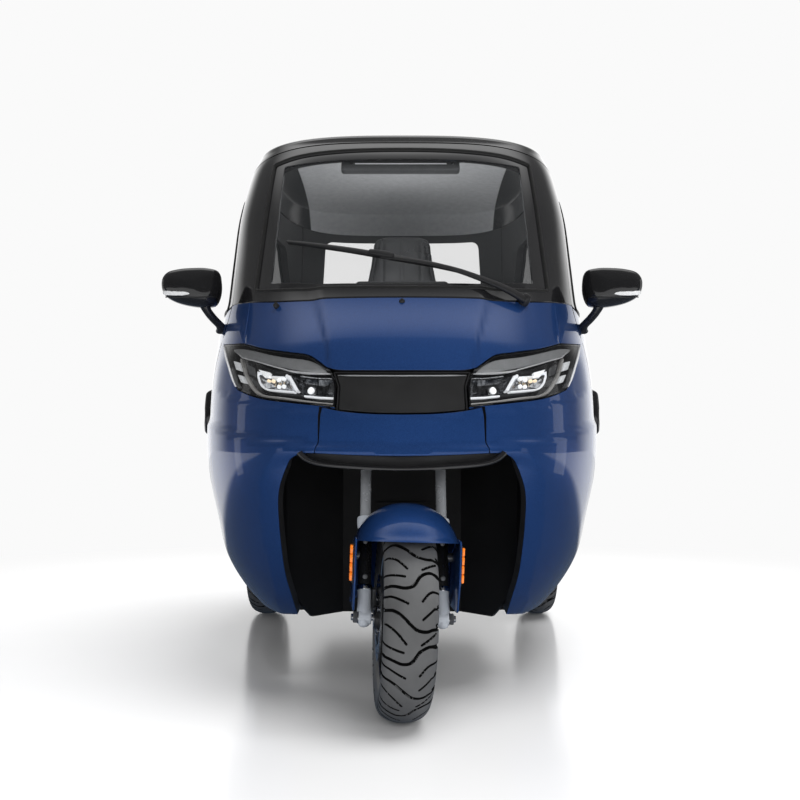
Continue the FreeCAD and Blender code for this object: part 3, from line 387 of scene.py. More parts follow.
def catmull(pts, n=8, closed=False):
    """smooth run through points"""
    P = np.asarray(pts, float)
    if len(P) == 2:
        t = np.linspace(0, 1, n + 1)[:, None]
        return P[0] + (P[1] - P[0]) * t
    if closed:
        Q = np.vstack([P[-1], P, P[0], P[1]])
    else:
        Q = np.vstack([2 * P[0] - P[1], P, 2 * P[-1] - P[-2]])
    out = []
    for i in range(1, len(Q) - 2):
        p0, p1, p2, p3 = Q[i - 1], Q[i], Q[i + 1], Q[i + 2]
        d01 = max(np.linalg.norm(p1 - p0) ** 0.5, 1e-6)
        d12 = max(np.linalg.norm(p2 - p1) ** 0.5, 1e-6)
        d23 = max(np.linalg.norm(p3 - p2) ** 0.5, 1e-6)
        m1 = (p2 - p1) + d12 * ((p1 - p0) / d01 - (p2 - p0) / (d01 + d12))
        m2 = (p2 - p1) + d12 * ((p3 - p2) / d23 - (p3 - p1) / (d12 + d23))
        for k in range(n):
            t = k / n
            h1 = 2 * t ** 3 - 3 * t ** 2 + 1
            h2 = t ** 3 - 2 * t ** 2 + t
            h3 = -2 * t ** 3 + 3 * t ** 2
            h4 = t ** 3 - t ** 2
            out.append(h1 * p1 + h2 * m1 + h3 * p2 + h4 * m2)
    if not closed:
        out.append(P[-1])
    return np.array(out)


def rounded_poly(pts, r, n=6):
    """straight-sided outline with rounded corners; r a number or one per corner"""
    out = []
    m = len(pts)
    for i in range(m):
        p, c, q = [np.array(pts[(i + k) % m], float) for k in (-1, 0, 1)]
        rr = r[i] if hasattr(r, "__len__") else r
        a = (p - c) / np.linalg.norm(p - c)
        b = (q - c) / np.linalg.norm(q - c)
        s, t = c + a * rr, c + b * rr
        for k in range(n + 1):
            f = k / n
            out.append((1 - f) ** 2 * s + 2 * f * (1 - f) * c + f * f * t)
    return np.array(out)


def runs(segs, n=10):
    """closed outline from a list of runs; two points make a line"""
    out = []
    for s in segs:
        out.extend(list(catmull(s, n))[:-1])
    return np.array(out)


def panel(name, body, loops, mats, replaces=(), depth=0.040, gap=0.002,
          edge=0.0018, step=0.014, inset=0.0, inner=True, both=None, hole_gap=0.0,
          feature=True, rear=False, wall_mat=1, split=None):
    """thick curved panel cut out of the body surface.
    loops: closed outlines as arrays of (a, q); the first one is the outside."""
    L2 = []
    for i, L in enumerate(loops):
        s1 = sig(L[:, 0], L[:, 1])
        if rear:
            sp = sig(np.full(len(L), PI), L[:, 1])
            s1 = -np.sign(L[:, 0]) * (sp - np.abs(s1))
        M = np.stack([s1, tau(L[:, 1])], 1)
        M = resample(M, step * 0.62)
        g_ = (gap + edge) if i == 0 else -(hole_gap + edge)
        L2.append(offset_loop(M, g_))
    allp = np.vstack(L2)
    lo, hi = allp.min(0), allp.max(0)
    ts = np.arange(lo[1] + step * 0.5, hi[1], step)
    ss = np.arange(lo[0] + step * 0.5, hi[0], step)
    G = np.array([(s, t) for t in ts for s in ss])
    if len(G):
        ok = inside_poly(G, L2)
        G = G[ok]
        if len(G):
            G = G[dist_poly(G, L2) > step * 0.42]
    verts, edges = [], []
    for L in L2:
        b = len(verts)
        verts += [Vector(p) for p in L]
        edges += [(b + k, b + (k + 1) % len(L)) for k in range(len(L))]
    verts += [Vector(p) for p in G]
    rv, re_, rf, _, _, _ = delaunay_2d_cdt(verts, edges, [], 0, 1e-7)
    V2 = np.array([(v[0], v[1]) for v in rv])
    F = np.array(rf)
    cen = V2[F].mean(1)
    F = F[inside_poly(cen, L2)]
    # triangles whose area comes out negative are turned round
    e1 = V2[F[:, 1]] - V2[F[:, 0]]
    e2 = V2[F[:, 2]] - V2[F[:, 0]]
    ar = e1[:, 0] * e2[:, 1] - e1[:, 1] * e2[:, 0]
    F[ar < 0] = F[ar < 0][:, ::-1]
    used = np.unique(F)
    remap = -np.ones(len(V2), int)
    remap[used] = np.arange(len(used))
    F = remap[F]
    V2 = V2[used]
    # back to surface coordinates
    qv = np.interp(V2[:, 1], TG, QG)
    qi = np.clip(qv / (NR - 1) * (len(QG) - 1), 0, len(QG) - 1.000001)
    kk = qi.astype(int)
    f = (qi - kk)[:, None]
    lines = SG[kk] * (1 - f) + SG[kk + 1] * f
    s1 = V2[:, 0]
    if rear:
        av = -np.sign(s1) * np.array([np.interp(li[-1] - abs(si), li, AG)
                                      for si, li in zip(s1, lines)])
        av[s1 == 0] = PI
    else:
        av = np.sign(s1) * np.array([np.interp(abs(si), li, AG)
                                     for si, li in zip(s1, lines)])
    P, N = surf(av, qv)
    if feature:
        P, N = shaped(P, N)
    P = P - N * inset
    # outside is counter-clockwise seen from outside when (sigma, tau) is right-handed
    tri = P[F]
    fn = np.cross(tri[:, 1] - tri[:, 0], tri[:, 2] - tri[:, 0])
    if (fn * N[F[:, 0]]).sum() < 0:
        F = F[:, ::-1]
    verts = [P]
    norms = [N]
    faces = [tuple(int(i) for i in t) for t in F]
    nout = len(faces)
    # boundary edges
    cnt = {}
    for t in faces:
        for k in range(3):
            cnt[(t[k], t[(k + 1) % 3])] = True
    nxt = {}
    for (i, j) in cnt:
        if (j, i) not in cnt:
            nxt[i] = j
    loopsi = []
    left = set(nxt)
    while left:
        s = left.pop()
        lp = [s]
        k = nxt[s]
        while k != s and k in left:
            left.discard(k)
            lp.append(k)
            k = nxt[k]
        if len(lp) > 3:
            loopsi.append(lp)
    base = len(P)
    mat_index = [0] * nout
    inner_of = {}
    for lp in loopsi:
        lp = np.array(lp)
        n = len(lp)
        X = P[lp]
        Nn = N[lp]
        T = np.roll(X, -1, 0) - np.roll(X, 1, 0)
        T /= np.maximum(np.linalg.norm(T, axis=1, keepdims=True), 1e-12)
        O = np.cross(T, Nn)
        O /= np.maximum(np.linalg.norm(O, axis=1, keepdims=True), 1e-12)
        prev = list(lp)
        rings = []
        if edge > 0:
            for ph in (0.5, 1.0):
                fa = ph * PI / 2
                rings.append((X + O * edge * math.sin(fa) - Nn * edge * (1 - math.cos(fa)),
                              Nn * math.cos(fa) + O * math.sin(fa), 0))
        rings.append((X + O * edge - Nn * (edge + 0.0002), O.copy(), wall_mat))
        rings.append((X + O * edge - Nn * depth, O.copy(), wall_mat))
        for R, RN, mi in rings:
            verts.append(R)
            norms.append(RN)
            cur = list(range(base, base + n))
            base += n
            for k in range(n):
                k2 = (k + 1) % n
                faces.append((prev[k2], prev[k], cur[k], cur[k2]))
                mat_index.append(mi)
            prev = cur
        for k in range(n):
            inner_of[int(lp[k])] = prev[k]
    if inner:
        # second ring of the same place for the inner skin, with its own normals
        ib = base
        X = P - N * depth
        idx = {i: ib + i for i in range(len(P))}
        verts.append(X)
        norms.append(-N)
        base += len(P)
        allv = np.vstack(verts)
        for i, k in inner_of.items():
            allv[idx[i]] = allv[k]
        verts = [allv]
        norms = [np.vstack(norms)]
        for t in F:
            faces.append((idx[int(t[2])], idx[int(t[1])], idx[int(t[0])]))
            mat_index.append(min(wall_mat, len(mats) - 1))
    allv = np.vstack(verts)
    alln = np.vstack(norms)
    mat_index = [min(m, len(mats) - 1) for m in mat_index]
    ob = new_object(name, to_row(allv), faces, mats, body, replaces,
                    mat_index, alln)
    if both:
        name2, body2, replaces2 = both
        new_object(name2, to_row(allv * MIR), [tuple(reversed(f)) for f in faces], mats,
                   body2, replaces2, mat_index, alln * MIR)
    return ob


def loop_front(pts):
    """outline in front view (x, z)"""
    P = resample(np.asarray(pts, float), 0.006)
    a, q = a_front(P[:, 0], P[:, 1])
    return np.stack([a, q], 1)


def loop_rear(pts):
    P = resample(np.asarray(pts, float), 0.006)
    a, q = a_rear(P[:, 0], P[:, 1])
    return np.stack([a, q], 1)


def loop_side(pts):
    P = resample(np.asarray(pts, float), 0.006)
    a, q = a_side(P[:, 0], P[:, 1])
    return np.stack([a, q], 1)


# ------------------------------------------------------------------ materials
def node_mat(name):
    m = bpy.data.materials.new(name)
    m.use_nodes = True
    nt = m.node_tree
    b = nt.nodes["Principled BSDF"]
    return m, nt, b


def tex_noise(nt, scale, detail=3.0, rough=0.55, kind="Object", dist=0.0):
    tc = nt.nodes.new("ShaderNodeTexCoord")
    n = nt.nodes.new("ShaderNodeTexNoise")
    n.inputs["Scale"].default_value = scale
    n.inputs["Detail"].default_value = detail
    n.inputs["Roughness"].default_value = rough
    n.inputs["Distortion"].default_value = dist
    nt.links.new(tc.outputs[kind], n.inputs["Vector"])
    return n


def ramp(nt, src, stops, interp="LINEAR"):
    r = nt.nodes.new("ShaderNodeValToRGB")
    r.color_ramp.interpolation = interp
    while len(r.color_ramp.elements) < len(stops):
        r.color_ramp.elements.new(0.5)
    for e, (p, c) in zip(r.color_ramp.elements, stops):
        e.position = p
        e.color = (c[0], c[1], c[2], 1.0) if hasattr(c, "__len__") else (c, c, c, 1.0)
    nt.links.new(src, r.inputs["Fac"])
    return r


def add_bump(nt, b, src, strength, distance, prev=None):
    bp = nt.nodes.new("ShaderNodeBump")
    bp.inputs["Strength"].default_value = strength
    bp.inputs["Distance"].default_value = distance
    nt.links.new(src, bp.inputs["Height"])
    if prev is not None:
        nt.links.new(prev.outputs["Normal"], bp.inputs["Normal"])
    nt.links.new(bp.outputs["Normal"], b.inputs["Normal"])
    return bp


def simple_mat(name, color, rough=0.4, metal=0.0, coat=0.0, coat_rough=0.03,
               spec=0.5, vary=0.06, rough_vary=0.05, scale=18.0, bump_s=0.0,
               bump_d=0.0002, bump_scale=900.0, emit=0.0, ior=1.5):
    """one material with mottled colour and roughness and a fine surface grain"""
    m, nt, b = node_mat(name)
    b.inputs["Metallic"].default_value = metal
    b.inputs["Coat Weight"].default_value = coat
    b.inputs["Coat Roughness"].default_value = coat_rough
    b.inputs["Specular IOR Level"].default_value = spec
    b.inputs["IOR"].default_value = ior
    n = tex_noise(nt, scale, 4.0)
    c0 = [max(0.0, c * (1 - vary)) for c in color]
    c1 = [min(1.0, c * (1 + vary)) for c in color]
    r = ramp(nt, n.outputs["Fac"], [(0.3, c0), (0.7, c1)])
    nt.links.new(r.outputs["Color"], b.inputs["Base Color"])
    r2 = ramp(nt, n.outputs["Fac"], [(0.3, max(0.0, rough - rough_vary)),
                                     (0.7, min(1.0, rough + rough_vary))])
    nt.links.new(r2.outputs["Color"], b.inputs["Roughness"])
    if bump_s > 0:
        n2 = tex_noise(nt, bump_scale, 2.0)
        add_bump(nt, b, n2.outputs["Fac"], bump_s, bump_d)
    if emit > 0:
        b.inputs["Emission Color"].default_value = (*color, 1)
        b.inputs["Emission Strength"].default_value = emit
    m.diffuse_color = (*color, 1)
    return m


def car_paint(name, dark, light):
    m, nt, b = node_mat(name)
    b.inputs["Metallic"].default_value = 0.50
    b.inputs["Specular Tint"].default_value = (0.25, 0.42, 0.80, 1.0)
    b.inputs["Coat Weight"].default_value = 1.0
    b.inputs["Coat Roughness"].default_value = 0.025
    b.inputs["Coat IOR"].default_value = 1.38
    b.inputs["IOR"].default_value = 1.5
    # metal flakes: tiny cells, each a little lighter or darker and tilted
    tc = nt.nodes.new("ShaderNodeTexCoord")
    v = nt.nodes.new("ShaderNodeTexVoronoi")
    v.inputs["Scale"].default_value = 1400.0
    nt.links.new(tc.outputs["Object"], v.inputs["Vector"])
    sep = nt.nodes.new("ShaderNodeSeparateColor")
    nt.links.new(v.outputs["Color"], sep.inputs["Color"])
    r = ramp(nt, sep.outputs["Red"], [(0.0, dark), (1.0, light)])
    nt.links.new(r.outputs["Color"], b.inputs["Base Color"])
    n = tex_noise(nt, 3.0, 2.0)
    r2 = ramp(nt, n.outputs["Fac"], [(0.3, 0.30), (0.7, 0.36)])
    nt.links.new(r2.outputs["Color"], b.inputs["Roughness"])
    add_bump(nt, b, sep.outputs["Green"], 0.035, 0.0002)
    m.diffuse_color = (*light, 1)
    return m


def glass_mat(name, tint, alpha, rough=0.0):
    """thin tinted pane: mostly clear, with its own reflections"""
    m, nt, b = node_mat(name)
    b.inputs["Base Color"].default_value = (*tint, 1)
    b.inputs["Roughness"].default_value = rough
    b.inputs["IOR"].default_value = 1.52
    b.inputs["Specular IOR Level"].default_value = 0.5
    b.inputs["Alpha"].default_value = alpha
    b.inputs["Coat Weight"].default_value = 0.0
    n = tex_noise(nt, 6.0, 3.0)
    r = ramp(nt, n.outputs["Fac"], [(0.35, rough), (0.8, rough + 0.015)])
    nt.links.new(r.outputs["Color"], b.inputs["Roughness"])
    m.diffuse_color = (*tint, alpha)
    return m


PAINT = car_paint("blue_paint", (0.009, 0.037, 0.145), (0.020, 0.070, 0.240))
BLACK = simple_mat("black_gloss", (0.010, 0.010, 0.011), 0.12, coat=0.6, vary=0.1,
                   rough_vary=0.02, scale=8)
TRIM = simple_mat("black_plastic", (0.016, 0.016, 0.017), 0.42, vary=0.15,
                  rough_vary=0.06, scale=30, bump_s=0.25, bump_d=0.0003, bump_scale=700)
WELL = simple_mat("well_lining", (0.006, 0.006, 0.0065), 0.55, vary=0.2, spec=0.3,
                  rough_vary=0.08, scale=12, bump_s=0.35, bump_d=0.0004, bump_scale=420)
RUBBER = simple_mat("rubber_seal", (0.012, 0.012, 0.012), 0.5, vary=0.2, scale=40,
                    bump_s=0.2, bump_scale=1200)
LINING = simple_mat("roof_lining", (0.330, 0.340, 0.352), 0.85, vary=0.12, scale=60,
                    bump_s=0.5, bump_d=0.0006, bump_scale=1500, spec=0.2)
INNER = simple_mat("inner_trim", (0.030, 0.031, 0.033), 0.6, vary=0.15, scale=25,
                   bump_s=0.35, bump_d=0.0004, bump_scale=800)
GREY = simple_mat("grille_grey", (0.021, 0.021, 0.0215), 0.36, metal=0.25, coat=0.20,
                  vary=0.12, scale=14, bump_s=0.05, bump_scale=600)
SILVER = simple_mat("silver_alloy", (0.62, 0.63, 0.65), 0.26, metal=1.0, vary=0.05,
                    scale=40, bump_s=0.08, bump_scale=500)
STEEL = simple_mat("bright_steel", (0.55, 0.56, 0.58), 0.16, metal=1.0, vary=0.06,
                   scale=60, bump_s=0.04, bump_scale=900)
CHROME = simple_mat("chrome", (0.80, 0.81, 0.83), 0.05, metal=1.0, vary=0.02,
                    rough_vary=0.02, scale=20)
DARKMET = simple_mat("black_metal", (0.014, 0.014, 0.015), 0.30, metal=0.2, coat=0.3,
                     vary=0.2, scale=30, bump_s=0.12, bump_scale=600)
GLASS = glass_mat("tinted_glass", (0.018, 0.020, 0.021), 0.62)
REARGLASS = glass_mat("rear_clear", (0.05, 0.053, 0.055), 0.06)
SCREEN = glass_mat("windscreen_clear", (0.10, 0.105, 0.11), 0.07)

# ------------------------------------------------------------------ body creases
# p runs round the nose and back along the side
CP = np.array([0.0, 0.11, 0.24, 0.386, 0.565, 0.898, 1.15, 1.5, 1.9, 2.4, 3.0])
LEDGE = np.array([.6345, .637, .645, .654, .666, .693, .712, .725, .735, .740, .742])
RIM = np.array([.6995, .7020, .7095, .7185, .7330, .7720, .80, .82, .83, .84, .84])


def smooth_line(xs, ys):
    """monotone-looking smooth line through points"""
    t = np.linspace(xs[0], xs[-1], 241)
    y = np.interp(t, xs, ys)
    k = np.hanning(17)
    k /= k.sum()
    return t, np.convolve(np.pad(y, 8, mode="edge"), k, mode="valid")


LX, LY = smooth_line(CP, LEDGE)
RX, RY = smooth_line(CP, RIM)


def param_p(x, u):
    return x + np.maximum(u, 0)


def f_ledge(x, u, z):
    """ledge across the bumper that runs on into the sides"""
    p = param_p(x, u)
    top = np.interp(p, LX, LY)
    low = top - 0.0160 - 0.002 * sstep(0.1, 0.3, p) - 0.008 * sstep(0.9, 1.5, p)
    amp = 0.0170 - 0.0040 * sstep(0.30, 0.60, p) - 0.0050 * sstep(0.60, 0.95, p)
    amp = amp * (1 - sstep(0.95, 2.0, p)) + 0.0030 * sstep(0.95, 1.6, p) * (1 - sstep(2.35, 2.7, p))
    t = np.clip((top - z) / (top - low), 0, 1)
    step_ = t - np.sin(2 * PI * t) / (2 * PI) * 0.35
    back = 1 - sstep(0.03, 0.30, low - z)
    return amp * step_ * back


def f_rim(x, u, z):
    """face under the lamps and the grille that leans back"""
    p = param_p(x, u)
    c = np.interp(p, RX, RY)
    fade = 1 - sstep(0.80, 1.02, p)
    up = np.clip((z - c) / 0.012, 0, 1)
    return -0.0052 * up * fade * (1 - sstep(0.84, 0.90, z))


def f_bonnet(x, u, z):
    """raised middle of the bonnet with a slanted shoulder"""
    ci = np.interp(z, [0.81, 0.89, 1.0, 1.05], [0.166, 0.176, 0.196, 0.205])
    wd = np.interp(z, [0.81, 0.89, 1.0, 1.05], [0.012, 0.020, 0.042, 0.046])
    t = np.clip((x - ci) / wd, 0, 1)
    on = sstep(0.812, 0.83, z) * (1 - sstep(1.06, 1.075, z))
    return -0.0062 * (t - np.sin(2 * PI * t) / (2 * PI) * 0.45) * on * (1 - sstep(0.33, 0.43, x)) * (
        sstep(0.0, 0.05, 0.60 - u))


OZ = np.array([0.10, 0.18, 0.236, 0.303, 0.376, 0.443, 0.518, 0.564, 0.600, 0.6185, 0.65])
OXv = np.array([.278, .284, .292, .303, .308, .308, .301, .285, .264, .236, .196])
BZ = np.array([0.10, 0.184, 0.304, 0.388, 0.476, 0.536, 0.580, 0.629, 0.66])
BXv = np.array([.322, .328, .339, .346, .348, .344, .330, .285, .24])
_z = np.linspace(0.1, 0.65, 111)
_k = np.hanning(9) / np.hanning(9).sum()
OXs = np.convolve(np.pad(np.interp(_z, OZ, OXv), 4, mode="edge"), _k, mode="valid")
BXs = np.convolve(np.pad(np.interp(_z, BZ, BXv), 4, mode="edge"), _k, mode="valid")


def f_arch(x, u, z):
    """bevelled band round the front wheel opening"""
    xo = np.interp(z, _z, OXs)
    xb = np.interp(z, _z, BXs)
    t = np.clip((xb - x) / np.maximum(xb - xo, 0.01), 0, 1.3)
    on = (1 - sstep(0.585, 0.628, z)) * (1 - sstep(0.50, 0.60, u))
    return -0.0115 * t * on


def f_side(x, u, z):
    """soft hollow along the lower side and a line under the windows"""
    on = sstep(0.45, 0.75, u) * (1 - sstep(1.75, 1.95, u))
    lowline = 0.335 + 0.02 * (u - 1.0)
    hollow = -0.007 * bump(z, lowline + 0.10, 0.115) * on
    belt = 0.0035 * bump(z, 0.955, 0.030) * sstep(0.62, 0.80, u) * (1 - sstep(1.80, 1.92, u))
    return hollow + belt


FEATURES += [f_ledge, f_rim, f_bonnet, f_arch, f_side]

# ------------------------------------------------------------------ outlines
COWL = np.array([(-0.66, 1.062), (-0.493, 1.040), (-0.399, 1.027), (-0.25, 1.017),
                 (0.0, 1.014), (0.25, 1.017), (0.399, 1.027), (0.493, 1.040), (0.66, 1.062)])
ROOF = np.array([(0.30, 1.552), (0.70, 1.540), (0.80, 1.518), (0.92, 1.497),
                 (1.35, 1.495), (1.70, 1.482), (2.15, 1.455)])
_cw = catmull(COWL, 12)
_rf = catmull(ROOF, 16)


def cowl_z(x):
    return np.interp(x, _cw[:, 0], _cw[:, 1])


def roof_z(u):
    return np.interp(u, _rf[:, 0], _rf[:, 1])


def roof_edge_q(a, off=0.0):
    """height row where the roof's lower edge crosses the angle a"""
    lo = np.full(len(a), q_of_z(1.40))
    hi = np.full(len(a), q_of_z(1.60))
    for _ in range(40):
        m = (lo + hi) / 2
        P_, _n = surf(a, m)
        up = P_[:, 2] > roof_z(P_[:, 1]) + off
        hi = np.where(up, m, hi)
        lo = np.where(up, lo, m)
    return (lo + hi) / 2


DOOR_FRONT = catmull([(0.592, 0.10), (0.580, 0.55), (0.585, 0.93)], 20)
DOOR_PILLAR = catmull([(0.585, 0.93), (0.608, 1.02), (0.648, 1.09), (0.888, 1.445)], 20)


def aq(P_):
    return np.stack([P_[0], P_[1]], 1)


def front_pts(pts):
    P_ = np.asarray(pts, float)
    a, q = a_front(P_[:, 0], P_[:, 1])
    return np.stack([a, q], 1)


def side_pts(pts):
    P_ = np.asarray(pts, float)
    a, q = a_side(P_[:, 0], P_[:, 1])
    return np.stack([a, q], 1)


def rear_pts(pts):
    P_ = np.asarray(pts, float)
    a, q = a_rear(P_[:, 0], P_[:, 1])
    return np.stack([a, q], 1)


def dense(pts, step=0.006):
    """straight runs cut into short ones, open"""
    P_ = np.asarray(pts, float)
    out = [P_[0]]
    for a, b in zip(P_[:-1], P_[1:]):
        n = max(1, int(np.linalg.norm(b - a) / step))
        for k in range(1, n + 1):
            out.append(a + (b - a) * k / n)
    return np.array(out)


def mirror_aq(L):
    M = L[::-1].copy()
    M[:, 0] *= -1
    return M


# ------------------------------------------------------------------ nose panels
LAMP_TOP = [(0.503, 0.9190), (0.46, 0.9115), (0.418, 0.905), (0.363, 0.888),
            (0.279, 0.872), (0.232, 0.863), (0.205, 0.846), (0.172, 0.8225)]
LAMP_IN = [(0.172, 0.8225), (0.163, 0.800), (0.158, 0.775), (0.160, 0.728)]
LAMP_LOW = [(0.160, 0.728), (0.26, 0.739), (0.349, 0.752), (0.392, 0.7645), (0.433, 0.7815)]
LAMP_OUT = [(0.433, 0.7815), (0.4496, 0.8051), (0.464, 0.8314), (0.477, 0.8616),
            (0.4904, 0.8935), (0.503, 0.9190)]
LAMP = runs([LAMP_TOP, LAMP_IN, LAMP_LOW, LAMP_OUT], 8)

right = [(0.421, 1.0295), (0.4195, 0.965), (0.418, 0.905)]
low = [(0.418, 0.905), (0.363, 0.888), (0.279, 0.872), (0.232, 0.863), (0.205, 0.846),
       (0.178, 0.826), (0.155, 0.8195), (0.09, 0.8175), (0.0, 0.817)]
lowc = catmull(low, 8)
cow = _cw[(np.abs(_cw[:, 0]) < 0.4205)]
bon = np.vstack([catmull(right, 10)[:-1], lowc[:-1], (lowc * [-1, 1])[::-1][:-1],
                 (catmull(right, 10) * [-1, 1])[::-1], cow[::1]])
panel("bonnet_panel", "body", [front_pts(dense(np.vstack([bon, bon[:1]]))[:-1])],
      [PAINT, TRIM], ["bonnet"], depth=0.030, gap=0.0010, edge=0.0016, step=STEP)

# bumper middle
top = catmull([(0.0, 0.7105), (0.08, 0.7125), (0.150, 0.7195), (0.199, 0.7300)], 8)
lo_ = catmull([(0.199, 0.6185), (0.1, 0.6140), (0.0, 0.6120)], 8)
half = np.vstack([top[:-1], lo_])
bum = np.vstack([half[:-1], (half * [-1, 1])[::-1][:-1]])
panel("bumper_centre", "body", [front_pts(dense(np.vstack([bum, bum[:1]]))[:-1])],
      [PAINT, TRIM], ["front_bumper"], depth=0.030, gap=0.0005, edge=0.0013,
      step=STEP)

# front wings
OPEN_R = catmull([(0.236, 0.6185), (0.264, 0.600), (0.285, 0.564), (0.301, 0.518),
                  (0.308, 0.443), (0.308, 0.376), (0.303, 0.303), (0.292, 0.236),
                  (0.284, 0.176)], 8)
wl = [front_pts(dense([(0.158, 0.7235), (0.199, 0.7300), (0.199, 0.6185), (0.236, 0.6185)])),
      front_pts(dense(OPEN_R))]
a0 = a_front(np.array([0.284]), np.array([0.176]))[0][0]
a1 = a_side(np.array([0.5895]), np.array([0.176]))[0][0]
qb = float(q_of_z(0.176))
wl.append(np.stack([np.linspace(a0, a1, 60), np.full(60, qb)], 1))
df = DOOR_FRONT[DOOR_FRONT[:, 1] > 0.18]
dp = DOOR_PILLAR[1:]
edge_pts = [p for p in np.vstack([df, dp])]
stop = []
for p in edge_pts:
    xs = float(x_side(p[0], p[1]))
    if p[1] > cowl_z(xs):
        break
    stop.append(p)
stop = np.array(stop)
wl.append(side_pts(dense(stop)))
xs = float(x_side(stop[-1][0], stop[-1][1]))
cwr = _cw[(_cw[:, 0] > 0.422) & (_cw[:, 0] < xs - 0.004)][::-1]
wl.append(front_pts(dense(np.vstack([cwr, [(0.422, cowl_z(0.422))]]))))
wl.append(front_pts(dense(np.vstack([catmull([(0.421, 1.0295), (0.4195, 0.965), (0.418, 0.906)], 10),
                                     catmull([(0.418, 0.906), (0.46, 0.9115), (0.503, 0.9190)], 8)[1:],
                                     catmull(LAMP_OUT[::-1], 8)[1:],
                                     catmull(LAMP_LOW[::-1], 8)[1:]]))))
panel("wing_left", "body", [np.vstack(wl)], [PAINT, TRIM], ["front_wing_left"],
      depth=0.022, gap=0.0005, edge=0.0013, step=STEP,
      both=("wing_right", "body", ["front_wing_right"]))

# ------------------------------------------------------------------ windscreen frame
SCR = [[(-0.405, 1.062), (-0.2, 1.048), (0.0, 1.044), (0.2, 1.048), (0.405, 1.062)],
       [(0.405, 1.062), (0.402, 1.12), (0.392, 1.32), (0.383, 1.478)],
       [(0.383, 1.478), (0.30, 1.496), (0.0, 1.510), (-0.30, 1.496), (-0.383, 1.478)],
       [(-0.383, 1.478), (-0.392, 1.32), (-0.402, 1.12), (-0.405, 1.062)]]


def soften(L, r, closed=True):
    """round the corners of a dense closed outline"""
    P_ = resample(L, 0.003)
    n = max(3, int(r / 0.003))
    k = np.hanning(2 * n + 1)
    k /= k.sum()
    out = np.zeros_like(P_)
    for c in range(2):
        ext = np.concatenate([P_[-n:, c], P_[:, c], P_[:n, c]])
        out[:, c] = np.convolve(ext, k, mode="valid")
    return out


SCREEN_O = soften(runs(SCR, 14), 0.018)


def shrink(L, d):
    return offset_loop(L, d)


pil = []
for p in dense(DOOR_PILLAR):
    xs = float(x_side(p[0], p[1]))
    if p[1] > cowl_z(xs) and p[1] < roof_z(p[0]):
        pil.append(p)
ext = dense([(0.888, 1.445), (0.93, 1.60)])
for p in ext[1:]:
    if p[1] < roof_z(p[0]) - 0.001:
        pil.append(p)
pil = np.array(pil)
pil_aq = side_pts(pil)
xs = float(x_side(pil[0][0], pil[0][1]))
cw_in = _cw[np.abs(_cw[:, 0]) < xs - 0.003]
a_end = pil_aq[-1][0]
arc = np.linspace(a_end, -a_end, 90)[1:-1]
roof_arc = np.stack([arc, roof_edge_q(np.abs(arc))], 1)
frame_out = np.vstack([front_pts(dense(cw_in)), pil_aq, roof_arc, mirror_aq(pil_aq)])
panel("windscreen_surround", "body", [frame_out, front_pts(SCREEN_O)],
      [BLACK, INNER], ["windscreen_frame"], depth=0.040, gap=0.0015,
      edge=0.0025, step=STEP, hole_gap=0.002)


# black rubber round the windscreen, a raised lip that follows the hole
def lip_strip(name, loop_aq, body, mat, width, proud, both=None,
              rear=False, depth=0.010):
    """rubber strip with a domed section along a closed outline on the body surface"""
    s1 = sig(loop_aq[:, 0], loop_aq[:, 1])
    if rear:
        sp = sig(np.full(len(loop_aq), PI), loop_aq[:, 1])
        s1 = -np.sign(loop_aq[:, 0]) * (sp - np.abs(s1))
    M = np.stack([s1, tau(loop_aq[:, 1])], 1)
    M = resample(M, 0.010)
    rings = []
    prof = [(-0.5, -depth), (-0.5, 0.0), (-0.3, 0.75), (0.0, 1.0), (0.3, 0.75), (0.5, 0.0),
            (0.5, -depth)]
    for f, h in prof:
        L_ = offset_loop(M, -f * width)
        qv = np.interp(L_[:, 1], TG, QG)
        qi = np.clip(qv / (NR - 1) * (len(QG) - 1), 0, len(QG) - 1.000001)
        kk = qi.astype(int)
        ff = (qi - kk)[:, None]
        lines = SG[kk] * (1 - ff) + SG[kk + 1] * ff
        s_ = L_[:, 0]
        if rear:
            av = -np.sign(s_) * np.array([np.interp(li[-1] - abs(si), li, AG)
                                          for si, li in zip(s_, lines)])
            av[s_ == 0] = PI
        else:
            av = np.sign(s_) * np.array([np.interp(abs(si), li, AG)
                                         for si, li in zip(s_, lines)])
        P_, N_ = surf(av, qv)
        P_, N_ = shaped(P_, N_)
        hh = h if h < 0 else h * proud
        rings.append(P_ + N_ * hh)
    n = len(M)
    verts = np.vstack(rings)
    faces = []
    for r in range(len(prof) - 1):
        for k in range(n):
            k2 = (k + 1) % n
            faces.append((r * n + k, r * n + k2, (r + 1) * n + k2, (r + 1) * n + k))
    ob = new_object(name, to_row(verts), faces, [mat], body, ())
    fix_normals(ob)
    if both:
        o2 = new_object(both[0], to_row(verts * MIR), [tuple(reversed(f)) for f in faces], [mat],
                        both[1], ())
        fix_normals(o2)
    return ob


def fix_normals(ob):
    bm = bmesh.new()
    bm.from_mesh(ob.data)
    bmesh.ops.recalc_face_normals(bm, faces=bm.faces)
    bm.to_mesh(ob.data)
    bm.free()
    ob.data.polygons.foreach_set("use_smooth", [True] * len(ob.data.polygons))
    ob.data.update()


lip_strip("windscreen_rubber", front_pts(SCREEN_O), "body", RUBBER, 0.011, 0.0035)

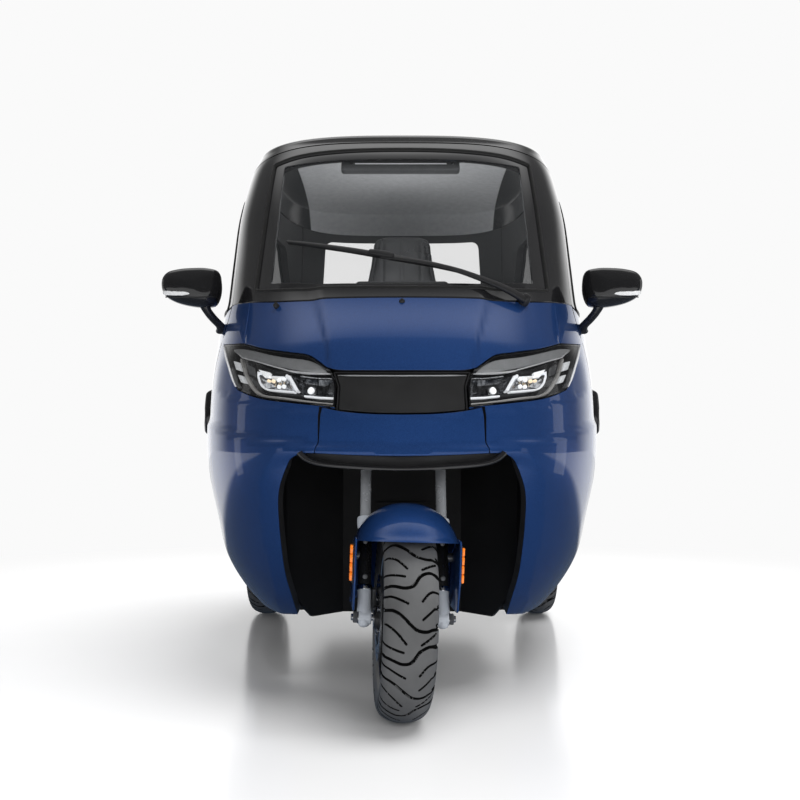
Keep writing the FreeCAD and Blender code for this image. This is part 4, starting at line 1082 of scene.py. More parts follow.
CLEAR_O = soften(np.vstack([dense([(-0.360, 1.078), (-0.2, 1.062), (0.0, 1.057), (0.2, 1.062),
                                   (0.360, 1.078)]),
                            dense([(0.360, 1.078), (0.3575, 1.20), (0.3535, 1.36),
                                   (0.350, 1.464)])[1:],
                            dense([(0.350, 1.464), (0.20, 1.471), (0.0, 1.474), (-0.20, 1.471),
                                   (-0.350, 1.464)])[1:],
                            dense([(-0.350, 1.464), (-0.3535, 1.36), (-0.3575, 1.20),
                                   (-0.360, 1.078)])[1:-1]]), 0.012)
FRIT = simple_mat("screen_border", (0.012, 0.012, 0.013), 0.06, coat=1.0, coat_rough=0.01,
                  vary=0.1, rough_vary=0.01, scale=10)
panel("windscreen_border", "body", [front_pts(SCREEN_O), front_pts(CLEAR_O)],
      [FRIT, FRIT], ["windscreen_glass"], depth=0.006, gap=0.001,
      edge=0.0008, step=STEP, inset=0.003)
panel("windscreen_pane", "body", [front_pts(CLEAR_O)], [SCREEN, SCREEN], (),
      depth=0.0055, gap=-0.0002, edge=0.0006, step=STEP * 1.6, inset=0.0031)


# ------------------------------------------------------------------ roof
def roof_shell(name, inset, lift, mat, top_only=False):
    """closed crown above the roof line as rings of points"""
    na = 168
    a = np.linspace(-PI, PI, na, endpoint=False)
    q0 = roof_edge_q(np.abs(a), lift)
    nt_ = 22
    t = np.linspace(0, 1, nt_) ** 0.9
    rings, norms = [], []
    for tt in t:
        q = q0 + (NR - 1.0 - q0) * tt
        P_, N_ = surf(a, q)
        if inset:
            P_ = P_ - N_ * inset
        rings.append(P_)
        norms.append(N_)
    c = np.array([0.0, 1.175, rows(np.array([NR - 1.0]))[0][0] + 0.0016 - inset])
    last = rings[-1]
    for f in (0.66, 0.33):
        R_ = c + (last - c) * f
        R_[:, 2] = last[:, 2] + (c[2] - last[:, 2]) * (1 - f * f)
        rings.append(R_)
        norms.append(norms[-1] * f + np.array([0, 0, 1.0]) * (1 - f) * 3)
    verts = np.vstack(rings + [c[None]])
    nn = np.vstack(norms + [np.array([[0, 0, 1.0]])])
    nn /= np.linalg.norm(nn, axis=1, keepdims=True)
    faces = []
    nr_ = len(rings)
    for r in range(nr_ - 1):
        for k in range(na):
            k2 = (k + 1) % na
            faces.append((r * na + k, r * na + k2, (r + 1) * na + k2, (r + 1) * na + k))
    for k in range(na):
        faces.append(((nr_ - 1) * na + k, (nr_ - 1) * na + (k + 1) % na, nr_ * na))
    return verts, nn, faces, a, q0, na


rv_, rn_, rf_, ra_, rq_, rna = roof_shell("roof", 0.0, 0.0016, BLACK)
# orient outward
t0 = rv_[list(rf_[0])]
if np.dot(np.cross(t0[1] - t0[0], t0[2] - t0[0]), rn_[rf_[0][0]]) < 0:
    rf_ = [tuple(reversed(f)) for f in rf_]
# rolled lower edge going in
lowP, lowN = rv_[:rna], rn_[:rna]
T_ = np.roll(lowP, -1, 0) - np.roll(lowP, 1, 0)
T_ /= np.linalg.norm(T_, axis=1, keepdims=True)
O_ = np.cross(T_, lowN)
if O_[0][2] > 0:
    O_ = -O_
ringsx, normx = [], []
for ph in (45, 90):
    s_, c_ = math.sin(math.radians(ph)), math.cos(math.radians(ph))
    ringsx.append(lowP + O_ * 0.0025 * s_ - lowN * 0.0025 * (1 - c_))
    normx.append(lowN * c_ + O_ * s_)
ringsx.append(lowP + O_ * 0.0025 - lowN * 0.036)
normx.append(O_)
base_ = len(rv_)
allv_ = np.vstack([rv_] + ringsx)
alln_ = np.vstack([rn_] + normx)
prev_ = list(range(rna))
ff_ = list(rf_)
for r in range(3):
    cur_ = [base_ + r * rna + k for k in range(rna)]
    for k in range(rna):
        k2 = (k + 1) % rna
        ff_.append((prev_[k], prev_[k2], cur_[k2], cur_[k]))
    prev_ = cur_
ROOFBLACK = simple_mat("roof_black", (0.030, 0.030, 0.0305), 0.16, coat=0.9, coat_rough=0.04, vary=0.1,
                       rough_vary=0.02, scale=8)
new_object("roof_skin", to_row(allv_), ff_, [ROOFBLACK], "body", ["roof_panel"],
           normals=alln_)
lv_, ln_, lf_, _a, _q, _n = roof_shell("lining", 0.042, 0.001, LINING)
t0 = lv_[list(lf_[0])]
if np.dot(np.cross(t0[1] - t0[0], t0[2] - t0[0]), ln_[lf_[0][0]]) > 0:
    lf_ = [tuple(reversed(f)) for f in lf_]


def lining_mat():
    """pale cloth over the middle, smooth dark trim down both sides"""
    m, nt, b = node_mat("roof_lining_two_tone")
    tc = nt.nodes.new("ShaderNodeTexCoord")
    sp = nt.nodes.new("ShaderNodeSeparateXYZ")
    nt.links.new(tc.outputs["Object"], sp.inputs[0])
    ab = nt.nodes.new("ShaderNodeMath")
    ab.operation = "ABSOLUTE"
    nt.links.new(sp.outputs["X"], ab.inputs[0])
    n = tex_noise(nt, 60.0, 4.0)
    r = ramp(nt, n.outputs["Fac"], [(0.3, (0.300, 0.309, 0.320)), (0.7, (0.360, 0.370, 0.382))])
    n2 = tex_noise(nt, 12.0, 3.0)
    r2 = ramp(nt, n2.outputs["Fac"], [(0.3, (0.017, 0.018, 0.019)), (0.7, (0.024, 0.025, 0.026))])
    k = nt.nodes.new("ShaderNodeMapRange")
    k.inputs["From Min"].default_value = 0.3495
    k.inputs["From Max"].default_value = 0.3525
    nt.links.new(ab.outputs[0], k.inputs["Value"])
    mx = nt.nodes.new("ShaderNodeMix")
    mx.data_type = "RGBA"
    nt.links.new(k.outputs["Result"], mx.inputs["Factor"])
    nt.links.new(r.outputs["Color"], mx.inputs["A"])
    nt.links.new(r2.outputs["Color"], mx.inputs["B"])
    nt.links.new(mx.outputs["Result"], b.inputs["Base Color"])
    k2 = nt.nodes.new("ShaderNodeMapRange")
    k2.inputs["From Min"].default_value = 0.3495
    k2.inputs["From Max"].default_value = 0.3525
    k2.inputs["To Min"].default_value = 0.85
    k2.inputs["To Max"].default_value = 0.22
    nt.links.new(ab.outputs[0], k2.inputs["Value"])
    nt.links.new(k2.outputs["Result"], b.inputs["Roughness"])
    n3 = tex_noise(nt, 900.0, 2.0)
    add_bump(nt, b, n3.outputs["Fac"], 0.2, 0.0003)
    m.diffuse_color = (0.33, 0.34, 0.35, 1)
    return m


TWOTONE = lining_mat()
new_object("roof_lining", to_row(lv_), lf_, [TWOTONE], "body", (),
           normals=-ln_)

# ------------------------------------------------------------------ doors
# line where the blue skin ends and the black upper part begins
BELT = np.array([(0.30, 1.040), (0.62, 1.036), (0.75, 1.020), (1.05, 1.010), (1.40, 1.012),
                 (1.62, 1.022), (1.74, 1.042), (1.82, 1.085), (1.90, 1.140), (2.10, 1.165)])
_bl = catmull(BELT, 10)


def belt_z(u):
    return np.interp(u, _bl[:, 0], _bl[:, 1])


D_TOP = catmull([(0.888, 1.445), (0.905, 1.466), (0.935, 1.479), (0.975, 1.4815)], 8)
D_TOPL = np.array([(0.975, 1.4815), (1.27, 1.4805)])
D_C2 = catmull([(1.27, 1.4805), (1.315, 1.472), (1.338, 1.435)], 8)
D_REAR = catmull([(1.338, 1.435), (1.352, 1.20), (1.362, 0.90), (1.362, 0.600)], 16)
D_ARCH = catmull([(1.362, 0.600), (1.345, 0.560), (1.300, 0.515), (1.245, 0.465),
                  (1.210, 0.400), (1.196, 0.330), (1.193, 0.176)], 8)
door_full = np.vstack([DOOR_FRONT[DOOR_FRONT[:, 1] >= 0.176][:-1], DOOR_PILLAR[:-1], D_TOP[:-1],
                       D_TOPL[:-1], D_C2[:-1], D_REAR[:-1], D_ARCH])
door_full = dense(np.vstack([door_full, door_full[:1]]))[:-1]


def clip_loop(L, keep):
    """part of a closed side-view outline on one side of the belt line"""
    out = []
    n = len(L)
    v = L[:, 1] - belt_z(L[:, 0])
    if keep < 0:
        v = -v
    for i in range(n):
        j = (i + 1) % n
        if v[i] >= 0:
            out.append(("p", L[i]))
        if (v[i] >= 0) != (v[j] >= 0):
            f = v[i] / (v[i] - v[j])
            out.append(("x", L[i] + (L[j] - L[i]) * f))
    # order so that the belt run joins the two crossings
    k = [i for i, o in enumerate(out) if o[0] == "x"]
    res = []
    m = len(out)
    # start right after the crossing that leaves the kept side
    for s in k:
        if out[(s + 1) % m][0] == "x" or m == 2:
            a = out[s][1]
            b = out[(s + 1) % m][1]
            seq = [out[(s + 1 + i) % m][1] for i in range(m)]
            uu = np.linspace(a[0], b[0], max(3, int(abs(b[0] - a[0]) / 0.006)))[1:-1]
            beltrun = [np.array([u_, float(belt_z(u_))]) for u_ in uu]
            res = seq + beltrun
            break
    return np.array(res)


WIN = rounded_poly([(0.672, 1.035), (0.918, 1.412), (1.285, 1.412), (1.308, 1.035)], 0.035)
blue_side = clip_loop(door_full, -1)
black_side = clip_loop(door_full, 1)
panel("door_skin_left", "left_door", [side_pts(blue_side)], [PAINT, INNER], ["door_left"],
      depth=0.036, gap=0.0030, edge=0.0024, step=STEP,
      both=("door_skin_right", "right_door", ["door_right"]))
panel("door_frame_left", "left_door", [side_pts(black_side), side_pts(dense(np.vstack([WIN, WIN[:1]]))[:-1])],
      [BLACK, INNER], ["door_left"], depth=0.036, gap=0.0026, edge=0.0022,
      step=STEP, inset=0.0012, both=("door_frame_right", "right_door", ["door_right"]))
WIN_aq = side_pts(dense(np.vstack([WIN, WIN[:1]]))[:-1])
lip_strip("door_rubber_left", WIN_aq, "left_door", RUBBER, 0.010, 0.0022,
          both=("door_rubber_right", "right_door"))
panel("door_pane_left", "left_door", [WIN_aq], [GLASS, GLASS], ["door_glass_left"],
      depth=0.0055, gap=0.0005, edge=0.0006, step=STEP * 1.6, inset=0.0040,
      both=("door_pane_right", "right_door", ["door_glass_right"]))

# ------------------------------------------------------------------ rear quarters
QW = rounded_poly([(1.412, 1.045), (1.400, 1.405), (1.590, 1.392), (1.700, 1.240),
                   (1.730, 1.045)], 0.035)


def tail_x(z):
    return np.interp(z, [0.470, 1.60], [0.482, 0.398])


def rear_line_aq(z0, z1, off=0.0, n=60):
    """slanting seam of the tail, from height z0 to z1"""
    zz = np.linspace(z0, z1, n)
    a, q = a_rear(tail_x(zz) + off, zz)
    return np.stack([a, q], 1)


# outline as side-view runs up to the seam, which is a rear-view line
ARC_R, ARC_U, ARC_Z = 0.285, 1.55, 0.236
th = np.linspace(0, 1, 60)


def arch_pt(ang):
    return np.array([ARC_U - ARC_R * math.cos(ang), ARC_Z + ARC_R * math.sin(ang)])


D_REAR2 = D_REAR + [0.0, 0.0]
ang0 = -math.asin((ARC_Z - 0.176) / ARC_R)
ang1 = PI - math.asin((0.470 - ARC_Z) / ARC_R)
arch_run = np.array([arch_pt(t_) for t_ in np.linspace(ang0, ang1, 90)])
bot_u0 = 1.193
q_low = np.vstack([
    side_pts(dense(D_ARCH[::-1])),                    # up the door's arch edge
])
# lower front corner between the door's arch edge and the wheel arch: these two values are not used
seam_u = 1.9
qa = []
# side-view closed part: door edge up to the roof line
top_pts = []
door_edge = np.vstack([D_ARCH[::-1], D_REAR[::-1][1:], D_C2[::-1][1:], D_TOPL[::-1][1:],
                       D_TOP[::-1][1:]])
# the quarter starts at the door's rear edge; above the door it reaches the roof line
de = dense(np.vstack([D_ARCH[::-1], D_REAR[::-1][1:], D_C2[::-1][1:]]))
quarter_front = side_pts(de)
up_run = side_pts(dense([(1.27, 1.4805), (0.975, 1.4815), (0.935, 1.479), (0.905, 1.466),
                         (0.893, 1.452)]))
def close(L, step=0.006):
    return dense(np.vstack([L, L[:1]]), step)[:-1]


LAMPT = rounded_poly([(0.405, 0.735), (0.388, 0.965), (0.560, 0.990), (0.585, 0.735)], 0.018)


def lamp_arcs():
    """the lamp outline, split where the seam crosses it: heights, inner and outer runs upward"""
    L = close(LAMPT, 0.004)
    v = L[:, 0] - tail_x(L[:, 1])
    n = len(L)
    X_ = []
    for i in range(n):
        j = (i + 1) % n
        if (v[i] < 0) != (v[j] < 0):
            f = v[i] / (v[i] - v[j])
            X_.append((i, L[i] + (L[j] - L[i]) * f))
    (i0, A_), (i1, B_) = X_

    def run(i, j, P0, P1):
        out = [P0]
        k = (i + 1) % n
        while k != (j + 1) % n:
            out.append(L[k])
            k = (k + 1) % n
        return np.array(out + [P1])
    r1 = run(i0, i1, A_, B_)
    r2 = run(i1, i0, B_, A_)
    if r1[0][1] > r1[-1][1]:
        r1 = r1[::-1]
    if r2[0][1] > r2[-1][1]:
        r2 = r2[::-1]
    m1 = (r1[:, 0] - tail_x(r1[:, 1])).mean()
    inner, outer = (r1, r2) if m1 < 0 else (r2, r1)
    return min(A_[1], B_[1]), max(A_[1], B_[1]), inner, outer


Z_LA, Z_LB, LAMP_INNER, LAMP_OUTER = lamp_arcs()
a_lo = side_pts(np.array([(0.905, 1.495)]))[0][0]
zt = float(roof_z(1.70))
a_tail = float(a_rear(np.array([tail_x(1.47)]), np.array([1.47]))[0][0])


def roof_run(a_from, a_to, n=90):
    arc_ = np.linspace(a_from, a_to, n)
    return np.stack([arc_, roof_edge_q(np.abs(arc_))], 1)


# where the tail seam meets the roof line
zz_ = np.linspace(1.40, 1.56, 161)
a_s, q_s = a_rear(tail_x(zz_), zz_)
P_s, _ = surf(a_s, q_s)
i_top = int(np.argmax(P_s[:, 2] > roof_z(P_s[:, 1])))
Z_SEAM_TOP = float(zz_[i_top])
A_SEAM_TOP = float(a_s[i_top])
rr = roof_run(float(side_pts(np.array([(0.905, 1.49)]))[0][0]), A_SEAM_TOP)
seam_down = np.vstack([rear_line_aq(Z_SEAM_TOP, Z_LB)[1:-1], rear_pts(LAMP_OUTER[::-1]),
                       rear_line_aq(Z_LA, 0.470)[1:]])
# lower edge of the quarter behind the arch: height 0.470 from the seam to the arch
a_c = float(seam_down[-1][0])
u_arch = ARC_U + math.sqrt(ARC_R ** 2 - (0.470 - ARC_Z) ** 2)
a_d = float(a_side(np.array([u_arch]), np.array([0.470]))[0][0])
low_run = np.stack([np.linspace(a_c, a_d, 40)[1:], np.full(39, float(q_of_z(0.470)))], 1)
arch_back = side_pts(arch_run[::-1][1:])
bot_run = side_pts(dense([(arch_run[0][0], 0.176), (1.193, 0.176)])[1:-1])
quarter_aq = np.vstack([quarter_front, up_run[1:], rr[1:], seam_down, low_run, arch_back,
                        bot_run])


def clip_belt_aq(L, keep):
    """the same clip for an outline given on the surface"""
    P_, _ = surf(L[:, 0], L[:, 1])
    v = P_[:, 2] - belt_z(P_[:, 1])
    if keep < 0:
        v = -v
    n = len(L)
    out = []
    for i in range(n):
        j = (i + 1) % n
        if v[i] >= 0:
            out.append((0, L[i]))
        if (v[i] >= 0) != (v[j] >= 0):
            f = v[i] / (v[i] - v[j])
            out.append((1, L[i] + (L[j] - L[i]) * f))
    m = len(out)
    for s in range(m):
        if out[s][0] == 1 and out[(s + 1) % m][0] == 1:
            A_, B_ = out[s][1], out[(s + 1) % m][1]
            seq = [out[(s + 1 + i) % m][1] for i in range(m)]
            run = belt_aq(A_[0], B_[0])
            return np.array(seq + [r for r in run[1:-1]])
    return None


def belt_aq(a0_, a1_, n=80):
    """belt line between two angles"""
    aa = np.linspace(a0_, a1_, n)
    lo = np.full(n, q_of_z(0.90))
    hi = np.full(n, q_of_z(1.30))
    for _ in range(40):
        m = (lo + hi) / 2
        P_, _n = surf(aa, m)
        up = P_[:, 2] > belt_z(P_[:, 1])
        hi = np.where(up, m, hi)
        lo = np.where(up, lo, m)
    return np.stack([aa, (lo + hi) / 2], 1)


QW_aq = side_pts(dense(np.vstack([QW, QW[:1]]))[:-1])
panel("quarter_skin_left", "body", [clip_belt_aq(quarter_aq, -1)], [PAINT, INNER],
      ["rear_quarter_left"], depth=0.040, gap=0.0022, edge=0.0024, step=STEP,
      both=("quarter_skin_right", "body", ["rear_quarter_right"]))
panel("quarter_frame_left", "body", [clip_belt_aq(quarter_aq, 1), QW_aq], [BLACK, INNER],
      ["rear_quarter_left"], depth=0.036, gap=0.0020, edge=0.0022, step=STEP,
      inset=0.0012, both=("quarter_frame_right", "body", ["rear_quarter_right"]))
lip_strip("quarter_rubber_left", QW_aq, "body", RUBBER, 0.010, 0.0022,
          both=("quarter_rubber_right", "body"))
panel("quarter_pane_left", "body", [QW_aq], [GLASS, GLASS], ["quarter_glass_left"],
      depth=0.0055, gap=0.0005, edge=0.0006, step=STEP * 1.6, inset=0.0040,
      both=("quarter_pane_right", "body", ["quarter_glass_right"]))

# ------------------------------------------------------------------ tail
RW_ = rounded_poly([(-0.338, 1.208), (-0.314, 1.447), (0.314, 1.447), (0.338, 1.208)], 0.035)
BT = rounded_poly([(-0.363, 0.638), (-0.347, 1.108), (0.347, 1.108), (0.363, 0.638)], 0.037)


# left half of the tail outline, then mirrored: seam up, roof line across, seam down
seam_up = np.vstack([rear_line_aq(0.470, Z_LA)[:-1], rear_pts(LAMP_INNER),
                     rear_line_aq(Z_LB, Z_SEAM_TOP)[1:]])
rr2 = roof_run(A_SEAM_TOP, PI, 60)[1:]
btm = np.stack([np.linspace(seam_up[0][0], PI, 40)[::-1], np.full(40, float(q_of_z(0.470)))], 1)
halfL = np.vstack([btm[1:], seam_up[1:], rr2])        # from tail centre bottom to centre top
otherL = halfL[::-1].copy()
otherL[:, 0] = -otherL[:, 0]
otherL = otherL[1:-1]
tail_aq = np.vstack([halfL, otherL])


def clip_tail(L, keep):
    zb_ = 1.160
    P_, _ = surf(L[:, 0], L[:, 1])
    v = (P_[:, 2] - zb_) * keep
    n = len(L)
    out = []
    for i in range(n):
        j = (i + 1) % n
        if v[i] >= 0:
            out.append((0, L[i]))
        if (v[i] >= 0) != (v[j] >= 0):
            f = v[i] / (v[i] - v[j])
            out.append((1, L[i] + (L[j] - L[i]) * f))
    m = len(out)
    for s in range(m):
        if out[s][0] == 1 and out[(s + 1) % m][0] == 1:
            A_, B_ = out[s][1], out[(s + 1) % m][1]
            seq = [out[(s + 1 + i) % m][1] for i in range(m)]
            # across the tail centre at constant height
            w_ = PI - abs(A_[0])
            w2 = PI - abs(B_[0])
            s0 = w_ * np.sign(A_[0])
            s1_ = w2 * np.sign(B_[0])
            run = np.linspace(s0, s1_, 60)[1:-1]
            aa = np.where(run >= 0, PI - run, -(PI + run))
            qq = np.full(len(aa), float(q_of_z(zb_)))
            return np.vstack([np.array(seq), np.stack([aa, qq], 1)])
    return None


boot_aq = rear_pts(close(BT))
tail_low = clip_tail(tail_aq, -1)
tail_top = clip_tail(tail_aq, 1)
panel("tail_skin", "body", [tail_low, boot_aq], [PAINT, INNER], ["tail_panel"],
      depth=0.040, gap=0.0022, edge=0.0024, step=STEP, rear=True, hole_gap=0.001)
RW_aq = rear_pts(close(RW_))
panel("tail_frame", "body", [tail_top, RW_aq], [BLACK, INNER], ["tail_panel"],
      depth=0.036, gap=0.0020, edge=0.0022, step=STEP, rear=True, inset=0.0012)
lip_strip("rear_window_rubber", RW_aq, "body", RUBBER, 0.012, 0.003, rear=True)
panel("rear_window_pane", "body", [RW_aq], [REARGLASS, REARGLASS], ["rear_window_glass"],
      depth=0.0055, gap=0.0005, edge=0.0006, step=STEP * 1.6, inset=0.0040,
      rear=True)
BT2 = rounded_poly([(-0.360, 0.640), (-0.345, 1.105), (0.345, 1.105), (0.360, 0.640)], 0.035)
panel("boot_skin", "boot", [rear_pts(close(BT2))], [PAINT, INNER], ["boot_lid"],
      depth=0.036, gap=0.0012, edge=0.0026, step=STEP, rear=True)


# ------------------------------------------------------------------ mesh builder
class MB:
    """collects closed parts of one piece"""

    def __init__(self):
        self.v, self.f, self.m, self.n = [], [], [], 0

    def add(self, V_, F_, m=0):
        V_ = np.asarray(V_, float)
        self.v.append(V_)
        for f in F_:
            self.f.append(tuple(int(i) + self.n for i in f))
            self.m.append(m)
        self.n += len(V_)

    def loft(self, rings, m=0, cap0=True, cap1=True, closed=True):
        n = len(rings[0])
        V_ = np.vstack(rings)
        F_ = []
        for r in range(len(rings) - 1):
            for k in range(n if closed else n - 1):
                k2 = (k + 1) % n
                F_.append((r * n + k, r * n + k2, (r + 1) * n + k2, (r + 1) * n + k))
        base = len(V_)
        if cap0:
            V_ = np.vstack([V_, rings[0].mean(0)[None]])
            for k in range(n):
                F_.append((base, (k + 1) % n, k))
            base += 1
        if cap1:
            V_ = np.vstack([V_, rings[-1].mean(0)[None]])
            o = (len(rings) - 1) * n
            for k in range(n):
                F_.append((base, o + k, o + (k + 1) % n))
        self.add(V_, F_, m)

    def ring_loft(self, rings, m=0):
        """closed both ways, such as a torus"""
        n = len(rings[0])
        V_ = np.vstack(rings)
        F_ = []
        R_ = len(rings)
        for r in range(R_):
            r2 = (r + 1) % R_
            for k in range(n):
                k2 = (k + 1) % n
                F_.append((r * n + k, r * n + k2, r2 * n + k2, r2 * n + k))
        self.add(V_, F_, m)

    def tube(self, path, rad, n=16, m=0, wide=1.0, up=None, dome=True, power=2.0):
        """swept round or flattened rod with softly closed ends"""
        P_ = np.asarray(path, float)
        rad = np.broadcast_to(np.asarray(rad, float), (len(P_),)).copy()
        T_ = np.gradient(P_, axis=0)
        T_ /= np.maximum(np.linalg.norm(T_, axis=1, keepdims=True), 1e-12)
        rings = []
        if up is None:
            ref = np.array([0.0, 0, 1.0]) if abs(T_[0][2]) < 0.9 else np.array([0, 1.0, 0])
            A_ = np.cross(T_[0], ref)
            A_ /= np.linalg.norm(A_)
            for i in range(len(P_)):
                A_ = A_ - T_[i] * np.dot(A_, T_[i])
                A_ /= np.linalg.norm(A_)
                rings.append((A_.copy(), np.cross(T_[i], A_)))
        else:
            U_ = np.broadcast_to(np.asarray(up, float), P_.shape)
            for i in range(len(P_)):
                B_ = U_[i] - T_[i] * np.dot(U_[i], T_[i])
                B_ /= max(np.linalg.norm(B_), 1e-9)
                rings.append((np.cross(B_, T_[i]), B_))
        th_ = np.linspace(0, 2 * PI, n, endpoint=False)
        cs, sn = np.cos(th_), np.sin(th_)
        e_ = 2.0 / power
        cx = np.sign(cs) * np.abs(cs) ** e_
        sx = np.sign(sn) * np.abs(sn) ** e_
        out = []

        def ring(i, f, shift=0.0):
            A_, B_ = rings[i]
            return (P_[i] + T_[i] * shift) + (cx[:, None] * A_ * wide + sx[:, None] * B_) \
                * rad[i] * f
        if dome:
            for k in (80, 55, 30):
                c_, s_ = math.cos(math.radians(k)), math.sin(math.radians(k))
                out.append(ring(0, c_, -rad[0] * s_ * 0.6))
        for i in range(len(P_)):
            out.append(ring(i, 1.0))
        if dome:
            for k in (30, 55, 80):
                c_, s_ = math.cos(math.radians(k)), math.sin(math.radians(k))
                out.append(ring(-1, c_, rad[-1] * s_ * 0.6))
        self.loft(out, m)

    def lathe(self, prof, origin=(0, 0, 0), axis=(1, 0, 0), n=48, m=0, closed=True):
        """profile (along, radius) turned round an axis"""
        ax = np.asarray(axis, float)
        ax /= np.linalg.norm(ax)
        ref = np.array([0.0, 0, 1.0]) if abs(ax[2]) < 0.9 else np.array([0, 1.0, 0])
        A_ = np.cross(ax, ref)
        A_ /= np.linalg.norm(A_)
        B_ = np.cross(ax, A_)
        o = np.asarray(origin, float)
        th_ = np.linspace(0, 2 * PI, n, endpoint=False)
        D_ = np.cos(th_)[:, None] * A_ + np.sin(th_)[:, None] * B_
        rings = [o + ax * h + D_ * r for h, r in prof]
        if closed:
            self.ring_loft(rings, m)
        else:
            self.loft(rings, m)

    def rbox(self, lo, hi, r, m=0, seg=3, mat=None):
        """box with rounded edges"""
        bm = bmesh.new()
        bmesh.ops.create_cube(bm, size=1.0)
        lo, hi = np.asarray(lo, float), np.asarray(hi, float)
        for v in bm.verts:
            c = np.array(v.co)
            v.co = Vector(tuple((lo + hi) / 2 + c * (hi - lo)))
        bmesh.ops.bevel(bm, geom=list(bm.edges), offset=r, segments=seg, profile=0.5,
                        affect="EDGES", clamp_overlap=True)
        V_ = np.array([tuple(v.co) for v in bm.verts])
        bm.verts.index_update()
        F_ = [tuple(v.index for v in f.verts) for f in bm.faces]
        bm.free()
        if mat is not None:
            V_ = V_ @ mat[:3, :3].T + mat[:3, 3]
        self.add(V_, F_, m)

    def plate(self, outline, frame, t0, t1, r=0.001, m=0):
        """flat plate with eased edges; outline (n,2), frame (origin, a, b, c)"""
        o, a, b, c = [np.asarray(q, float) for q in frame]
        L = np.asarray(outline, float)
        rings = []
        for h, d in ((t0, r), (t0 + r * 0.4 * np.sign(t1 - t0), r * 0.3),
                     (t0 + r * np.sign(t1 - t0), 0.0),
                     (t1 - r * np.sign(t1 - t0), 0.0),
                     (t1 - r * 0.4 * np.sign(t1 - t0), r * 0.3), (t1, r)):
            K = offset_loop(L, d)
            rings.append(o + K[:, :1] * a + K[:, 1:] * b + c * h)
        n = len(L)
        V_ = np.vstack(rings)
        F_ = []
        for k_ in range(len(rings) - 1):
            for i in range(n):
                j = (i + 1) % n
                F_.append((k_ * n + i, k_ * n + j, (k_ + 1) * n + j, (k_ + 1) * n + i))
        F_.append(tuple(range(n - 1, -1, -1)))
        F_.append(tuple((len(rings) - 1) * n + i for i in range(n)))
        self.add(V_, F_, m)

    def done(self, name, mats, body, replaces=(), both=None, xf=None, angle=38,
             row=True):
        V_ = np.vstack(self.v)
        if row:
            V_ = to_row(V_)
        if xf is not None:
            V_ = V_ @ xf[:3, :3].T + xf[:3, 3]
        obs = []
        for k, (nm, bd, rp) in enumerate([(name, body, replaces)] + ([both] if both else [])):
            W_ = V_ if k == 0 else V_ * MIR
            ob = new_object(nm, W_, self.f, mats, bd, rp, mat_index=self.m)
            bm = bmesh.new()
            bm.from_mesh(ob.data)
            bmesh.ops.recalc_face_normals(bm, faces=bm.faces)
            bm.to_mesh(ob.data)
            bm.free()
            ob.data.polygons.foreach_set("use_smooth", [True] * len(ob.data.polygons))
            ob.data.set_sharp_from_angle(angle=math.radians(angle))
            ob.data.update()
            obs.append(ob)
        return obs[0]


def pic(pts):
    """points of the front view on the body surface: x, z with x made positive"""
    P_ = np.array(pts, float)
    u = np.full(len(P_), 0.30)
    for _ in range(16):
        s = 1075.0 / (2.5 + u)
        x = np.abs((P_[:, 0] - 402.0) / s)
        z = 0.65 - (P_[:, 1] - 440.0) / s
        u = 0.5 * u + 0.5 * np.asarray(u_front(x, z), float)
    return np.stack([x, z], 1)


def on_front(xz, inset=0.0):
    """points and normals on the nose for front-view points"""
    xz = np.asarray(xz, float)
    a, q = a_front(xz[:, 0], xz[:, 1])
    P_, N_ = surf(a, q)
    P_, N_ = shaped(P_, N_)
    return P_ - N_ * inset, N_


def ribbon(mb, xz, width, inset, thick, m=0, n=10, closed=False, step=0.006, power=3.0,
           taper=0.0):
    """bar that follows the nose along front-view points"""
    L = resample(np.asarray(xz, float), step, closed)
    if not closed:
        L = np.vstack([L, np.asarray(xz, float)[-1:]])
    P_, N_ = on_front(L, inset)
    if closed:
        T_ = np.roll(P_, -1, 0) - np.roll(P_, 1, 0)
    else:
        T_ = np.gradient(P_, axis=0)
    T_ /= np.linalg.norm(T_, axis=1, keepdims=True)
    S_ = np.cross(N_, T_)
    S_ /= np.linalg.norm(S_, axis=1, keepdims=True)
    th_ = np.linspace(0, 2 * PI, n, endpoint=False) + PI / n
    e_ = 2.0 / power
    cx = np.sign(np.cos(th_)) * np.abs(np.cos(th_)) ** e_
    sx = np.sign(np.sin(th_)) * np.abs(np.sin(th_)) ** e_
    k = len(P_)
    wd = np.full(k, width / 2.0)
    if taper:
        f = np.linspace(0, 1, k)
        wd *= np.clip(np.minimum(f, 1 - f) / taper, 0.15, 1.0)
    rings = [P_[i] + cx[:, None] * S_[i] * wd[i] + sx[:, None] * N_[i] * thick / 2
             for i in range(k)]
    if closed:
        mb.ring_loft(rings, m)
    else:
        mb.loft(rings, m)


# ------------------------------------------------------------------ lamp materials
LAMPBLACK = simple_mat("lamp_black", (0.008, 0.008, 0.009), 0.18, coat=0.3, vary=0.1, scale=20)
LIGHTBAR = simple_mat("light_guide", (0.74, 0.76, 0.79), 0.22, vary=0.03, scale=12, emit=0.62,
                      coat=0.4)
SEGMENT = simple_mat("light_segment", (0.66, 0.68, 0.70), 0.25, vary=0.05, scale=30, emit=0.55,
                     coat=0.4)
# lamp bezel trim: its faint glow is a painted highlight, light catching the bezel's edge
BEZEL_PAINTED_HIGHLIGHT = simple_mat("lamp_bezel_painted_highlight", (0.72, 0.73, 0.75), 0.22, metal=0.3, coat=0.5, vary=0.05,
                   scale=20, emit=0.10)
GUIDEGREY = simple_mat("guide_grey", (0.36, 0.355, 0.345), 0.3, metal=0.3, coat=0.4, vary=0.05,
                       scale=20, emit=0.12)
WARM = simple_mat("lamp_warm", (0.95, 0.78, 0.55), 0.3, vary=0.04, scale=60, emit=0.75)
LEDWHITE = simple_mat("led_white", (0.86, 0.88, 0.90), 0.25, vary=0.04, scale=60, emit=0.70)
